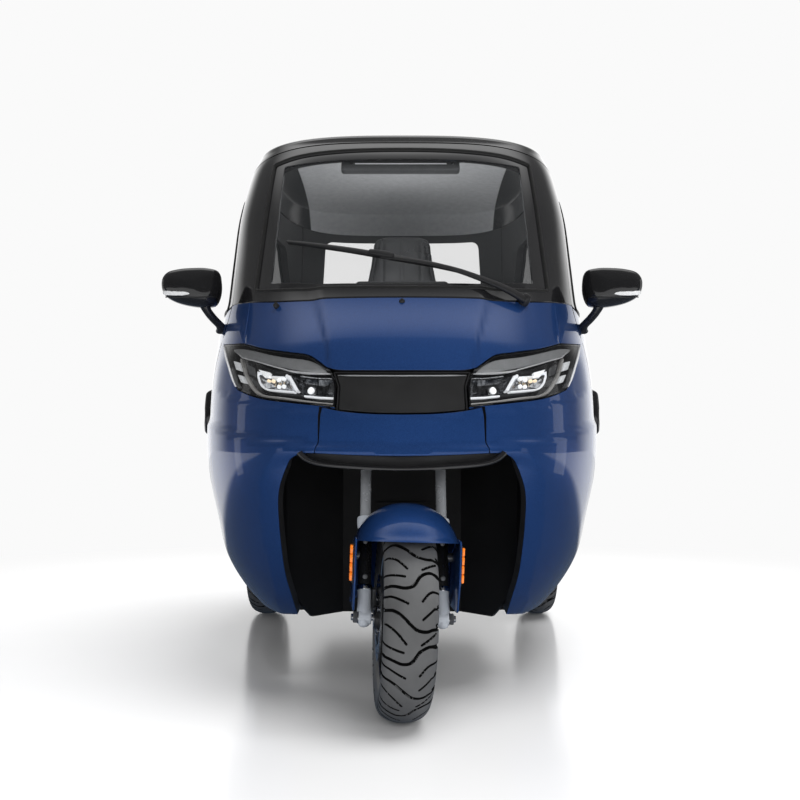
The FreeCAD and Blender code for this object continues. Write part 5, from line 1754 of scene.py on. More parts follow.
BROW = simple_mat("brow_satin", (0.34, 0.35, 0.36), 0.34, metal=0.35, vary=0.08, scale=30,
                  bump_s=0.04, bump_scale=700)
# amber lens with a faint glow: lit in the tail lamp bars, a painted glint on the fork's reflectors
AMBER = simple_mat("amber_lens", (0.85, 0.20, 0.012), 0.12, vary=0.08, scale=60, coat=0.8,
                   emit=0.22)
LAMPRED = simple_mat("lamp_red", (0.33, 0.006, 0.008), 0.08, vary=0.15, scale=25, coat=1.0,
                     emit=0.06)


def streak_metal(name, lo, hi, rough=0.16, stretch=(3.0, 3.0, 60.0), metal=1.0):
    m, nt, b = node_mat(name)
    b.inputs["Metallic"].default_value = metal
    tc = nt.nodes.new("ShaderNodeTexCoord")
    mp = nt.nodes.new("ShaderNodeMapping")
    mp.inputs["Scale"].default_value = stretch
    nt.links.new(tc.outputs["Object"], mp.inputs["Vector"])
    n = nt.nodes.new("ShaderNodeTexNoise")
    n.inputs["Scale"].default_value = 4.0
    n.inputs["Detail"].default_value = 4.0
    nt.links.new(mp.outputs["Vector"], n.inputs["Vector"])
    r = ramp(nt, n.outputs["Fac"], [(0.35, lo), (0.65, hi)])
    nt.links.new(r.outputs["Color"], b.inputs["Base Color"])
    r2 = ramp(nt, n.outputs["Fac"], [(0.3, max(0.0, rough - 0.05)), (0.7, rough + 0.06)])
    nt.links.new(r2.outputs["Color"], b.inputs["Roughness"])
    m.diffuse_color = (*hi, 1)
    return m


REFLECTOR = streak_metal("lamp_reflector", (0.40, 0.41, 0.43), (0.92, 0.93, 0.95), 0.20,
                         (55.0, 4.0, 12.0))
STREAK = streak_metal("lamp_streak", (0.05, 0.052, 0.056), (0.34, 0.35, 0.37), 0.2,
                      (45.0, 5.0, 14.0))


def clear_mat(name, tint, a0, a1, rough=0.0):
    """clear cover: see-through face on, more mirror-like at a slant"""
    m, nt, b = node_mat(name)
    b.inputs["Base Color"].default_value = (*tint, 1)
    b.inputs["IOR"].default_value = 1.55
    b.inputs["Coat Weight"].default_value = 1.0
    b.inputs["Coat Roughness"].default_value = 0.01
    n = tex_noise(nt, 7.0, 2.0)
    r = ramp(nt, n.outputs["Fac"], [(0.35, rough), (0.8, rough + 0.02)])
    nt.links.new(r.outputs["Color"], b.inputs["Roughness"])
    lw = nt.nodes.new("ShaderNodeLayerWeight")
    lw.inputs["Blend"].default_value = 0.35
    r3 = ramp(nt, lw.outputs["Facing"], [(0.0, a0), (0.75, (a0 + a1) * 0.4), (1.0, a1)])
    nt.links.new(r3.outputs["Color"], b.inputs["Alpha"])
    m.diffuse_color = (*tint, a0)
    return m


LENS = clear_mat("lamp_clear", (0.012, 0.013, 0.015), 0.06, 0.60)

# ------------------------------------------------------------------ headlights
lamp_loop = front_pts(dense(np.vstack([LAMP, LAMP[:1]]))[:-1])
panel("headlight_back_left", "body", [lamp_loop], [LAMPBLACK, LAMPBLACK], ["headlight_left"],
      depth=0.006, gap=0.002, edge=0.001, step=STEP, inset=0.034,
      both=("headlight_back_right", "body", ["headlight_right"]))
mb = MB()
LL = np.array(LAMP)
for i_, (ins, off) in enumerate(((0.017, 0.0045),)):
    ribbon(mb, offset_loop(resample(LL, 0.008), off), 0.003, ins, 0.034, closed=True, n=8)
mb.done("headlight_wall_left", [LAMPBLACK], "body",
        both=("headlight_wall_right", "body", ()))
panel("headlight_lens_left", "body", [lamp_loop], [LENS, LENS], (),
      depth=0.003, gap=0.0018, edge=0.0010, step=STEP,
      both=("headlight_lens_right", "body", ()))

# satin brow along the upper edge
BR = pic([(231.5, 349.4), (236.2, 347.9), (275, 353.2), (311.2, 358.2), (326.6, 370.0), (307, 368.5),
          (283, 364.8), (253.6, 359), (238.8, 355.6)])
BR = catmull(BR, 5, closed=True)
brow_loop = front_pts(dense(np.vstack([BR, BR[:1]]), 0.005)[:-1])
panel("headlight_brow_left", "body", [brow_loop], [BROW, LAMPBLACK], (),
      depth=0.016, gap=0.0, edge=0.0025, step=0.010, inset=0.006,
      both=("headlight_brow_right", "body", ()))

mb = MB()
# bright bezel down the outer edge and thin line under the brow; their faint glow is a painted highlight
ribbon(mb, [(0.5010, 0.9170), (0.4882, 0.8935), (0.4748, 0.8616), (0.4617, 0.8314), (0.4475, 0.8060),
            (0.4360, 0.7895)], 0.0050, -0.0008, 0.005, 0, taper=0.25)
ribbon(mb, pic([(232.5, 348.6), (239.3, 356.6), (262, 361.6), (283, 367), (306, 369.8),
                (330.0, 371.4)]), 0.0030, 0.007, 0.006, 0, taper=0.15)
mb.done("headlight_trim_left", [BEZEL_PAINTED_HIGHLIGHT], "body",
        both=("headlight_trim_right", "body", ()))

mb = MB()
DRL = catmull(pic([(237.2, 358.4), (240.8, 373), (245.5, 383.0), (251.4, 390.8), (259.4, 395.2),
                   (280.4, 397.8), (313.8, 402.3), (331.5, 403.9)]), 6)
ribbon(mb, DRL, 0.0072, 0.011, 0.012, 2, n=12)
# chamber frame: a U and a slanted bar
ribbon(mb, catmull(pic([(251.6, 369.4), (254.2, 381.7), (259.4, 387.0), (272.0, 388.9),
                        (288.4, 390.0)]), 5), 0.0055, 0.018, 0.014, 0, n=12)
ribbon(mb, pic([(281.9, 370.0), (287.5, 380.0), (292.4, 389.0)]), 0.0086, 0.018, 0.016, 0,
       n=12)
ribbon(mb, pic([(250.6, 368.8), (263.0, 370.6), (279.5, 371.6)]), 0.0040, 0.020, 0.014, 0,
       n=10)
# second chamber: top line, right edge and lower line
ribbon(mb, catmull(pic([(296.5, 373.4), (315.0, 375.2), (331.8, 376.8), (332.9, 386.0),
                        (331.0, 395.0)]), 5), 0.0042, 0.018, 0.014, 1, n=10)
ribbon(mb, pic([(300.0, 394.4), (315.0, 395.8), (331.0, 396.4)]), 0.0052, 0.018, 0.014, 0, n=10)
mb.done("headlight_guides_left", [LIGHTBAR, REFLECTOR, GUIDEGREY], "body",
        both=("headlight_guides_right", "body", ()))

mb = MB()
for seg in ([(229.4, 360.0), (235.0, 361.2), (236.0, 369.4), (231.2, 368.2)],
            [(232.8, 373.2), (238.0, 374.5), (240.2, 382.2), (236.0, 381.0)]):
    q_ = pic(seg)
    c_ = q_.mean(0)
    o_ = rounded_poly([tuple(p) for p in q_], 0.003, 3)
    P0, N0 = on_front(np.vstack([o_]), 0.009)
    P1, N1 = on_front(np.vstack([o_]), 0.020)
    mb.loft([P1, P0, P0 + (P0.mean(0) - P0) * 0.12 + N0 * 0.0006], 0)
mb.done("headlight_segments_left", [SEGMENT], "body",
        both=("headlight_segments_right", "body", ()))

# reflector bowls
c1 = pic([(253.2, 370.8), (280.4, 372.4), (291.0, 389.4), (261.0, 387.0), (255.4, 381.0)])
c2 = pic([(286.0, 372.6), (331.0, 377.6), (330.6, 394.2), (299.2, 393.4), (294.4, 388.4)])


def bowl(mb, pts, inset, deep, m, n=6, r=0.004):
    o_ = rounded_poly([tuple(p) for p in pts], r, 4)
    c_ = o_.mean(0)
    rings = []
    P0, N0 = on_front(o_, inset - 0.0015)
    rings.append(P0 - N0 * (deep + 0.006))
    rings.append(P0)
    for k in range(n + 1):
        t = k / n
        o2 = c_ + (o_ - c_) * (0.955 - 0.62 * t)
        P_, N_ = on_front(o2, inset + deep * math.sin(t * PI / 2))
        rings.append(P_)
    mb.loft(rings, m)


mb = MB()
bowl(mb, c1, 0.014, 0.015, 0)
bowl(mb, c2, 0.014, 0.014, 1)
mb.done("headlight_bowls_left", [REFLECTOR, STREAK], "body",
        both=("headlight_bowls_right", "body", ()))

mb = MB()
for (px_, py_, rr_) in ((272.3, 382.0, 0.0085), (278.2, 379.6, 0.0072)):
    xz = pic([(px_, py_)])
    P_, N_ = on_front(xz, 0.020)
    prof = [(-0.006, rr_ * 0.9), (0.0, rr_), (0.004, rr_ * 0.98), (0.0075, rr_ * 0.80),
            (0.0098, rr_ * 0.45), (0.0104, rr_ * 0.05)]
    mb.lathe(prof, P_[0], N_[0], 24, 0, closed=False)
    mb.lathe([(0.000, rr_ * 1.02), (0.003, rr_ * 1.02), (0.0035, rr_ * 1.2), (-0.001, rr_ * 1.2)],
             P_[0], N_[0], 24, 1)
# bright patch in the second chamber
P_, N_ = on_front(pic([(305.0, 389.4)]), 0.0215)
mb.lathe([(-0.004, 0.014), (0.0, 0.0145), (0.003, 0.012), (0.0045, 0.006), (0.005, 0.0005)],
         P_[0], N_[0], 28, 1, closed=False)
mb.done("headlight_projectors_left", [LENS, CHROME], "body",
        both=("headlight_projectors_right", "body", ()))
mb = MB()
# light patch under the chamber's upper edge, and the small lamps in it
q_ = pic([(252.0, 366.4), (264.2, 368.6), (263.6, 374.6), (258.4, 372.4)])
P0, N0 = on_front(rounded_poly([tuple(p) for p in q_], 0.002, 3), 0.012)
mb.loft([P0 - N0 * 0.006, P0, P0 + (P0.mean(0) - P0) * 0.10 + N0 * 0.0006], 0)
for px_, py_, rr_, m_ in ((262.8, 378.6, 0.0040, 1), (267.4, 378.8, 0.0046, 1),
                          (272.9, 377.6, 0.0050, 0), (278.4, 376.4, 0.0052, 0),
                          (273.2, 384.6, 0.0050, 0), (278.2, 384.2, 0.0052, 0),
                          (306.6, 388.4, 0.0088, 0)):
    P_, N_ = on_front(pic([(px_, py_)]), 0.0125)
    mb.lathe([(-0.006, rr_ * 0.9), (0.0, rr_), (0.002, rr_ * 0.8), (0.003, rr_ * 0.4),
              (0.0032, rr_ * 0.04)], P_[0], N_[0], 20, m_, closed=False)
mb.done("headlight_amber_left", [LEDWHITE, WARM], "body",
        both=("headlight_amber_right", "body", ()))

# ------------------------------------------------------------------ grille and lip
g_top = catmull([(-0.161, 0.8125), (-0.09, 0.811), (0.0, 0.8105), (0.09, 0.811),
                 (0.161, 0.8125)], 8)
g_low = catmull([(0.156, 0.722), (0.08, 0.715), (0.0, 0.713), (-0.08, 0.715),
                 (-0.156, 0.722)], 8)
gl = np.vstack([g_top[:-1], dense([(0.161, 0.8125), (0.151, 0.78), (0.154, 0.722)]), g_low[1:-1],
                dense([(-0.154, 0.722), (-0.151, 0.78), (-0.161, 0.8125)])])[:-1]
panel("grille_face", "body", [front_pts(dense(np.vstack([gl, gl[:1]]), 0.006)[:-1])],
      [GREY, TRIM], ["grille_panel"], depth=0.026, gap=0.0006, edge=0.003,
      step=STEP, inset=0.006)
mb = MB()
ribbon(mb, [(-0.156, 0.8075), (-0.09, 0.8060), (0.0, 0.8055), (0.09, 0.8060), (0.156, 0.8075)],
       0.0028, 0.0050, 0.004, 0, taper=0.1)
mb.done("grille_line", [BROW], "body")
# black plastic ring sunk in the gap round the grille: a dark part put where the gap's shadow falls, painted shade
mb = MB()
ribbon(mb, offset_loop(resample(gl, 0.008), -0.0028), 0.0042, 0.014, 0.020, closed=True, n=8)
mb.done("grille_shadow_ring", [TRIM], "body")

LT = catmull([(-0.236, 0.6165), (-0.199, 0.6155), (-0.1, 0.6105), (0.0, 0.6085),
              (0.1, 0.6105), (0.199, 0.6155), (0.236, 0.6165)], 6)
LW = catmull([(0.236, 0.6165), (0.222, 0.604), (0.194, 0.593), (0.1, 0.583),
              (0.0, 0.579), (-0.1, 0.583), (-0.194, 0.593), (-0.222, 0.604),
              (-0.236, 0.6165)], 6)
lipo = np.vstack([LT[:-1], LW[:-1]])
panel("lip_back", "body", [front_pts(dense(np.vstack([lipo, lipo[:1]]), 0.006)[:-1])],
      [TRIM, TRIM], ["front_bumper"], depth=0.020, gap=0.0004, edge=0.001,
      step=0.010, inset=0.010)
mb = MB()
LWb = LW + np.array([0.0, 0.0050])
LWb[:, 0] *= 0.985
ribbon(mb, LWb, 0.0105, -0.0030, 0.020, 0, n=14, power=2.6)
mb.done("lip_bar", [BLACK], "body")

# ------------------------------------------------------------------ washer nozzles
mb = MB()
for x_, z_ in ((-0.334, 1.0065), (0.0, 1.0010)):
    a_, q_ = a_front(np.array([abs(x_)]), np.array([z_]))
    a_ = a_ * (-1 if x_ < 0 else 1)
    P_, N_ = surf(a_, q_)
    mb.lathe([(-0.006, 0.0075), (0.0, 0.0078), (0.0035, 0.0070), (0.006, 0.0048),
              (0.0072, 0.0010)], P_[0], N_[0], 20, 0, closed=False)
    mb.rbox(P_[0] + [-0.0028, -0.006, -0.001], P_[0] + [0.0028, 0.004, 0.0075], 0.0012, 0)
mb.done("washer_nozzles", [TRIM], "body")

# ------------------------------------------------------------------ steered group frame
RAKE = math.radians(24.0)
AX = np.array([0.0, math.sin(RAKE), math.cos(RAKE)])
AXLE_Z = 0.236
AP = np.array([0.0, 0.040 / math.cos(RAKE), AXLE_Z])
AXLE = np.array([0.0, 0.0, AXLE_Z])


def turn_matrix(deg):
    t = math.radians(deg)
    K = np.array([[0, -AX[2], AX[1]], [AX[2], 0, -AX[0]], [-AX[1], AX[0], 0]])
    Rm = np.eye(3) + math.sin(t) * K + (1 - math.cos(t)) * K @ K
    p = AP - [0, U0, 0]
    M = np.eye(4)
    M[:3, :3] = Rm
    M[:3, 3] = p - Rm @ p
    return M


TURN = turn_matrix(5.0)


def along(d):
    return AP + AX * d


# ------------------------------------------------------------------ tyres
def tyre_mat():
    m, nt, b = node_mat("tyre_rubber")
    n = tex_noise(nt, 9.0, 5.0)
    r = ramp(nt, n.outputs["Fac"], [(0.3, (0.078, 0.079, 0.081)), (0.7, (0.112, 0.114, 0.117))])
    nt.links.new(r.outputs["Color"], b.inputs["Base Color"])
    r2 = ramp(nt, n.outputs["Fac"], [(0.3, 0.38), (0.7, 0.50)])
    nt.links.new(r2.outputs["Color"], b.inputs["Roughness"])
    b.inputs["Specular IOR Level"].default_value = 0.55
    n2 = tex_noise(nt, 850.0, 2.0)
    add_bump(nt, b, n2.outputs["Fac"], 0.22, 0.0003)
    m.diffuse_color = (0.03, 0.03, 0.03, 1)
    return m


TYRE = tyre_mat()
# near-black rubber for the groove floors: painted shade in the grooves, which are the tread's own rubber
GROOVE_PAINTED_SHADE = simple_mat("tyre_groove_painted_shade", (0.0035, 0.0035, 0.0036), 0.8, vary=0.2, scale=40, spec=0.15)
TREAD_A = [(-60, 27.4), (-38, 26.2), (-17.4, 24.9), (2.3, 26.4), (15.5, 31.3), (38.5, 34.2), (50.0, 33.4), (60, 31.5)]
TREAD_B = [(-60, 14.4), (-56.9, 14.2), (-33.9, 12.3), (-14.1, 8.3), (5.6, 3.8), (25.3, 2.3), (41.8, 3.1), (60, 7.5)]
CUTS = [[(-59, 21.6), (-43.7, 20.6), (-10.8, 16.8)], [(-58.5, -4.5), (-17.4, -8.7)],
        [(-56.9, 6.0), (-34, 1.8), (-12.5, -4.1)],
        [(20.4, 18.0), (35.2, 22.5), (58.2, 24.9)], [(22.0, 8.6), (40, 12.6), (58.2, 17.2)],
        [(20.4, -4.6), (51.6, 0.9)]]


def tyre_section(fine):
    half = np.array([(46, 150), (47.5, 153), (50.5, 158), (54.2, 166), (57.2, 177), (59.4, 188),
                     (60, 196), (59.2, 203), (56.2, 211), (49, 220.5), (38, 228.2), (24, 233.4),
                     (11, 235.5), (0, 236)]) / 1000.0
    c = catmull(half, 16)
    L_ = np.vstack([c, (c * [-1, 1])[::-1][1:]])
    d = np.concatenate([[0], np.cumsum(np.linalg.norm(np.diff(L_, axis=0), axis=1))])
    tot = d[-1]
    mid = tot / 2
    s = []
    t = -mid
    while t < mid:
        s.append(t)
        t += fine if abs(t) < 0.088 else 0.006
    s.append(mid)
    s = np.array(s)
    s = (s - s[::-1]) / 2
    x = np.interp(s + mid, d, L_[:, 0])
    r = np.interp(s + mid, d, L_[:, 1])
    return -s, x, r


def tyre(name, body, replaces, x0, u0_, xf=None, around=720, fine=0.0024):
    s, x, r = tyre_section(fine)
    per = 9
    k = around // per
    th_ = np.arange(k) * (2 * PI / around)
    # lateral coordinate to arc length
    xs_ = np.array([-60, -57, -49, -38, -24, -11, 0, 11, 24, 38, 49, 57, 60.0]) / 1000
    order = np.argsort(x)
    arc_of = lambda xm: np.interp(np.asarray(xm) / 1000.0, x[order], s[order])
    segs = []
    for c_, dep, hw in ([(TREAD_A, 0.0060, 0.0037), (TREAD_B, 0.0060, 0.0037)]
                        + [(c, 0.0048, 0.0028) for c in CUTS]):
        P_ = catmull(np.array(c_, float), 5) if len(c_) > 2 else np.array(c_, float)
        A_ = np.stack([arc_of(P_[:, 0]), np.radians(P_[:, 1]) * 0.232], 1)
        segs.append((A_, dep, hw))
    period = 2 * PI / per * 0.232
    G = np.stack(np.meshgrid(s, th_ * 0.232, indexing="xy"), -1).reshape(-1, 2)
    cut = np.zeros(len(G))
    inside = np.full(len(G), -1.0)
    away = np.zeros((len(G), 2))
    for A_, dep, hw in segs:
        dmin = np.full(len(G), 1.0)
        dq = np.zeros((len(G), 2))
        for sh in (-period, 0.0, period, 2 * period):
            B0, B1 = A_[:-1] + [0, sh], A_[1:] + [0, sh]
            AB = B1 - B0
            ll = np.maximum((AB ** 2).sum(1), 1e-12)
            t = np.clip(((G[:, None] - B0) * AB).sum(2) / ll, 0, 1)
            q = G[:, None] - (B0 + t[..., None] * AB)
            L1 = np.sqrt((q ** 2).sum(2))
            j1 = L1.argmin(1)
            d1 = L1[np.arange(len(G)), j1]
            m1 = d1 < dmin
            dmin[m1] = d1[m1]
            dq[m1] = q[np.arange(len(G)), j1][m1]
        m2 = hw - dmin > inside
        inside[m2] = (hw - dmin)[m2]
        away[m2] = dq[m2] / np.maximum(dmin[m2], 1e-6)[:, None]
        cut[m2] = dep
    # grid points near a groove's edge move onto the edge, so that it runs clean
    near = np.abs(inside) < fine * 0.52
    move = np.where(near[:, None], away * inside[:, None], 0.0)
    inside[near] = 0.0
    fade = np.clip((0.090 - np.abs(G[:, 0])) / 0.008, 0, 1)
    move = (move * (fade > 0.02)[:, None]).reshape(k, len(s), 2)
    cut = (np.where(inside > 0, cut, 0.0) * fade).reshape(k, len(s))
    # mask of points inside a groove, whose faces get the painted shade
    dark = ((inside >= 0) & (fade > 0.3)).reshape(k, len(s))
    rings = []
    nin = 5
    xi = np.linspace(x[-1], x[0], nin + 2)[1:-1]
    ribs = 0.0007 * (np.exp(-((r - 0.166) / 0.0012) ** 2) + np.exp(-((r - 0.186) / 0.0012) ** 2))
    Tn = np.stack([np.gradient(x), np.gradient(r)], 1)
    Tn /= np.linalg.norm(Tn, axis=1, keepdims=True)
    No = np.stack([Tn[:, 1], -Tn[:, 0]], 1)
    if No[len(s) // 2, 1] < 0:
        No = -No
    for i in range(around):
        a = 2 * PI * i / around
        c = cut[i % k]
        s1 = s + move[i % k, :, 0]
        so1 = np.argsort(s)
        x1_ = np.interp(s1, s[so1], x[so1])
        r1_ = np.interp(s1, s[so1], r[so1])
        xx = x1_ + No[:, 0] * (ribs - c)
        rr_ = r1_ + No[:, 1] * (ribs - c)
        a = a + np.concatenate([move[i % k, :, 1] / 0.232, np.zeros(nin)])
        X_ = np.concatenate([xx, xi])
        R_ = np.concatenate([rr_, np.full(nin, 0.1502)])
        rings.append(np.stack([x0 + X_, u0_ - np.cos(a) * R_, AXLE_Z + np.sin(a) * R_], 1))
    mb_ = MB()
    mb_.ring_loft(rings, 0)
    ns = len(s) + nin
    # faces lying wholly in a groove take the near-black groove colour: painted shade
    deep = np.zeros((around, ns), bool)
    cc = np.array([dark[i % k] for i in range(around)])
    nx = np.roll(cc, -1, 0)
    deep[:, :len(s) - 1] = (cc[:, :-1].astype(int) + cc[:, 1:] + nx[:, :-1] + nx[:, 1:]) >= 4
    mb_.m = [int(v) for v in deep.reshape(-1)]
    return mb_.done(name, [TYRE, GROOVE_PAINTED_SHADE], body, replaces, xf=xf, angle=50)


tyre("tyre_front", "front_wheel", ["front_tyre"], 0.0, 0.0, TURN)
tyre("tyre_rear_left", "rear_wheel_left", ["rear_tyre_left"], 0.502, 1.550, around=486,
     fine=0.0036)
tyre("tyre_rear_right", "rear_wheel_right", ["rear_tyre_right"], -0.502, 1.550, around=486,
     fine=0.0036)


# ------------------------------------------------------------------ rims
def rim(name, body, replaces, x0, u0_, xf=None, hub=(-0.040, 0.040), disc=False, bore=0.0125):
    mb_ = MB()
    o = np.array([x0, u0_, AXLE_Z])
    X = np.array([1.0, 0, 0])
    # barrel with lips
    mb_.lathe([(-0.0465, 0.1512), (-0.0475, 0.1490), (-0.0470, 0.1440), (-0.0400, 0.1385),
               (-0.0240, 0.1330), (0.0240, 0.1330), (0.0400, 0.1385), (0.0470, 0.1440),
               (0.0475, 0.1490), (0.0465, 0.1512), (0.0440, 0.1515), (0.0420, 0.1475),
               (0.0360, 0.1440), (0.0, 0.1400), (-0.0360, 0.1440), (-0.0420, 0.1475),
               (-0.0440, 0.1515)], o, X, 120, 0)
    # polished line on each lip
    for s_ in (-1, 1):
        mb_.lathe([(s_ * 0.0468, 0.1466), (s_ * 0.0486, 0.1472), (s_ * 0.0488, 0.1496),
                   (s_ * 0.0470, 0.1502)], o, X, 120, 1)
    # hub
    h0, h1 = hub
    prof = [(h0, bore + 0.0015), (h0, 0.024), (h0 + 0.004, 0.028), (h0 + 0.012, 0.029),
            (h0 + 0.018, 0.0335), (-0.012, 0.036), (0.012, 0.036), (h1 - 0.018, 0.0335),
            (h1 - 0.012, 0.029), (h1 - 0.004, 0.028), (h1, 0.024), (h1, bore + 0.0015)]
    mb_.lathe(prof, o, X, 56, 0)
    for s_, h_ in ((-1, h0), (1, h1)):
        mb_.lathe([(h_ - s_ * 0.0005, 0.0165), (h_ + s_ * 0.0006, 0.0170),
                   (h_ + s_ * 0.0006, 0.0235), (h_ - s_ * 0.0005, 0.0240)], o, X, 40, 1)
    # five pairs of spokes
    rr_ = np.linspace(0.028, 0.1370, 12)
    for k in range(5):
        for sd in (-1, 1):
            a = 2 * PI * k / 5 + PI / 2 + sd * np.radians(np.interp(rr_, [0.028, 0.07, 0.137],
                                                                   [9.0, 7.0, 12.5]))
            path = np.stack([np.zeros(12), -np.cos(a) * rr_, np.sin(a) * rr_], 1) + o
            half = np.interp(rr_, [0.028, 0.05, 0.09, 0.125, 0.137],
                             [0.026, 0.018, 0.0135, 0.017, 0.022])
            mb_.tube(path, half, n=16, m=0, wide=0.46, up=X, power=3.4, dome=False)
            for fs in (-1, 1):
                p2 = path[1:-1] + X * fs * (half[1:-1, None] * 0.985)
                mb_.tube(p2, np.full(10, 0.0009), n=8, m=1, wide=3.0, up=X, power=3.0)
    # valve
    va = o + [0.030, -math.cos(0.5) * 0.139, math.sin(0.5) * 0.139]
    mb_.tube([va, va + [0.004, math.cos(0.5) * 0.010, -math.sin(0.5) * 0.010],
              va + [0.010, math.cos(0.5) * 0.022, -math.sin(0.5) * 0.022]],
             [0.0040, 0.0036, 0.0030], n=12, m=2)
    if disc:
        n = 180
        th_ = np.linspace(0, 2 * PI, n, endpoint=False)
        out = 0.0990 + 0.0010 * np.tanh(3 * np.cos(10 * th_))
        inn = 0.0640 + 0.0018 * np.cos(10 * th_ + PI)
        rings = []
        for (rad, xx) in ((inn, -0.0560), (out, -0.0560), (out, -0.0600), (inn, -0.0600)):
            rings.append(np.stack([np.full(n, xx), -np.cos(th_) * rad, np.sin(th_) * rad], 1) + o)
        mb_.ring_loft(rings, 3)
        mb_.lathe([(-0.0598, 0.034), (-0.0598, 0.050), (-0.0562, 0.050), (-0.0562, 0.034)], o, X,
                  60, 2)
        for k in range(5):
            a = 2 * PI * k / 5
            r5 = np.linspace(0.046, 0.066, 4)
            path = np.stack([np.full(4, -0.058), -np.cos(a + (r5 - 0.046) * 12) * r5,
                             np.sin(a + (r5 - 0.046) * 12) * r5], 1) + o
            mb_.tube(path, np.full(4, 0.0017), n=10, m=2, wide=4.6, up=X, power=4.0)
            b_ = o + [-0.0600, -math.cos(a + 0.63) * 0.042, math.sin(a + 0.63) * 0.042]
            mb_.lathe([(-0.004, 0.0005), (-0.004, 0.0045), (-0.003, 0.0055), (0.002, 0.0055)],
                      b_, X, 16, 3, closed=False)
        for k in range(40):
            a = 2 * PI * k / 40
            rh = (0.074, 0.084, 0.092, 0.081)[k % 4]
            c_ = o + [-0.058, -math.cos(a) * rh, math.sin(a) * rh]
            mb_.lathe([(-0.0023, 0.0003), (-0.00225, 0.0026), (0.00225, 0.0026),
                       (0.0023, 0.0003)], c_, X, 12, 2, closed=False)
    return mb_.done(name, [DARKMET, CHROME, TRIM, STEEL], body, replaces, xf=xf,
                    angle=35)


rim("rim_front", "front_wheel", ["front_rim"], 0.0, 0.0, TURN, hub=(-0.070, 0.058), disc=True,
    bore=0.0082)
rim("rim_rear_left", "rear_wheel_left", ["rear_rim_left"], 0.502, 1.550)
rim("rim_rear_right", "rear_wheel_right", ["rear_rim_right"], -0.502, 1.550)

# ------------------------------------------------------------------ fork
GREYMET = simple_mat("grey_casting", (0.17, 0.175, 0.185), 0.35, metal=0.7, vary=0.1, scale=40,
                     bump_s=0.12, bump_scale=500)
CAST = simple_mat("silver_casting", (0.52, 0.555, 0.61), 0.34, metal=0.15, vary=0.06, scale=30,
                  bump_s=0.08, bump_scale=450, coat=0.2)
mb = MB()
X1 = np.array([1.0, 0, 0])
mb.lathe([(-0.1225, 0.0060), (-0.1215, 0.0078), (0.1215, 0.0078), (0.1225, 0.0060)], AXLE, X1,
         24, 3, closed=False)
for s_ in (-1, 1):
    f0 = AXLE + X1 * s_ * 0.092
    d_ = np.linspace(-0.016, 0.064, 9)
    rad = np.interp(d_, [-0.016, -0.004, 0.010, 0.03, 0.064], [0.0125, 0.0162, 0.0172, 0.0158, 0.0160])
    mb.tube([f0 + AX * t for t in d_], rad, n=28, m=0)
    # axle boss
    mb.lathe([(-0.0165, 0.0085), (-0.0165, 0.0150), (-0.0140, 0.0172), (0.0110, 0.0172),
              (0.0130, 0.0150), (0.0130, 0.0085)], f0, X1 * s_, 32, 0)
    # washer, nut, thread
    mb.lathe([(0.0130, 0.0080), (0.0130, 0.0148), (0.0150, 0.0148), (0.0150, 0.0080)], f0,
             X1 * s_, 32, 3)
    mb.lathe([(0.0152, 0.0080), (0.0152, 0.0128), (0.0165, 0.0140), (0.0240, 0.0140),
              (0.0255, 0.0124), (0.0255, 0.0080)], f0, X1 * s_, 6, 4)
    mb.lathe([(0.0255, 0.0072), (0.0295, 0.0074), (0.0305, 0.0060)], f0, X1 * s_, 20, 3,
             closed=False)
    # bright collar and black slider
    mb.lathe([(0.0630, 0.0140), (0.0632, 0.0176), (0.0645, 0.0184), (0.0740, 0.0184),
              (0.0752, 0.0176), (0.0754, 0.0140)], f0, AX, 32, 1)
    mb.lathe([(0.0750, 0.0120), (0.0750, 0.0156), (0.1400, 0.0158), (0.2080, 0.0160),
              (0.2140, 0.0168), (0.2160, 0.0168), (0.2160, 0.0120)], f0, AX, 32, 2)
    mb.lathe([(0.2160, 0.0132), (0.2160, 0.0172), (0.2240, 0.0196), (0.2400, 0.0200),
              (0.2440, 0.0190), (0.2460, 0.0132)], f0, AX, 32, 5)
    mb.lathe([(0.2100, 0.0126), (0.2330, 0.0130), (0.4180, 0.0130), (0.4235, 0.0120)], f0, AX,
             32, 6, closed=False)
    # clamp bolts and guard stay
    for dd in (0.100, 0.186):
        p_ = f0 + AX * dd + np.array([0, -1, 0]) * 0.0150
        mb.lathe([(-0.002, 0.0065), (0.004, 0.0065), (0.0055, 0.0052), (0.0060, 0.0010)], p_,
                 (0, -1, 0), 12, 4, closed=False)
    mb.tube([f0 + AX * 0.150 + X1 * s_ * t for t in (0.010, 0.022, 0.0245)],
            [0.0105, 0.0105, 0.0105], n=20, m=4, dome=False)
    # lamp-black clip for the wheel speed lead
    mb.rbox(f0 + AX * 0.046 + [-0.006, 0.012, -0.008], f0 + AX * 0.046 + [0.006, 0.022, 0.008],
            0.002, 2)
# bridge and stem
Mb = np.eye(4)
Mb[:3, 0] = X1
Mb[:3, 1] = (0.0, math.cos(RAKE), -math.sin(RAKE))
Mb[:3, 2] = AX
Mb[:3, 3] = along(0.384)
mb.rbox((-0.112, -0.060, 0.002), (0.112, 0.020, 0.024), 0.009, 2, 4, mat=Mb)
for s_ in (-1, 1):
    mb.lathe([(0.000, 0.0140), (0.000, 0.0205), (0.002, 0.0218), (0.024, 0.0218),
              (0.026, 0.0205), (0.026, 0.0140)],
             along(0.384) + X1 * s_ * 0.092 + Mb[:3, 1] * -0.040, AX, 28, 2)
    mb.tube([along(0.397) + X1 * s_ * 0.092 + Mb[:3, 1] * t for t in (-0.068, -0.060)],
            [0.0055, 0.0055], n=12, m=4)
mb.lathe([(0.385, 0.0120), (0.386, 0.0190), (0.392, 0.0199), (0.690, 0.0199), (0.692, 0.0150)],
         AP, AX, 36, 3, closed=False)
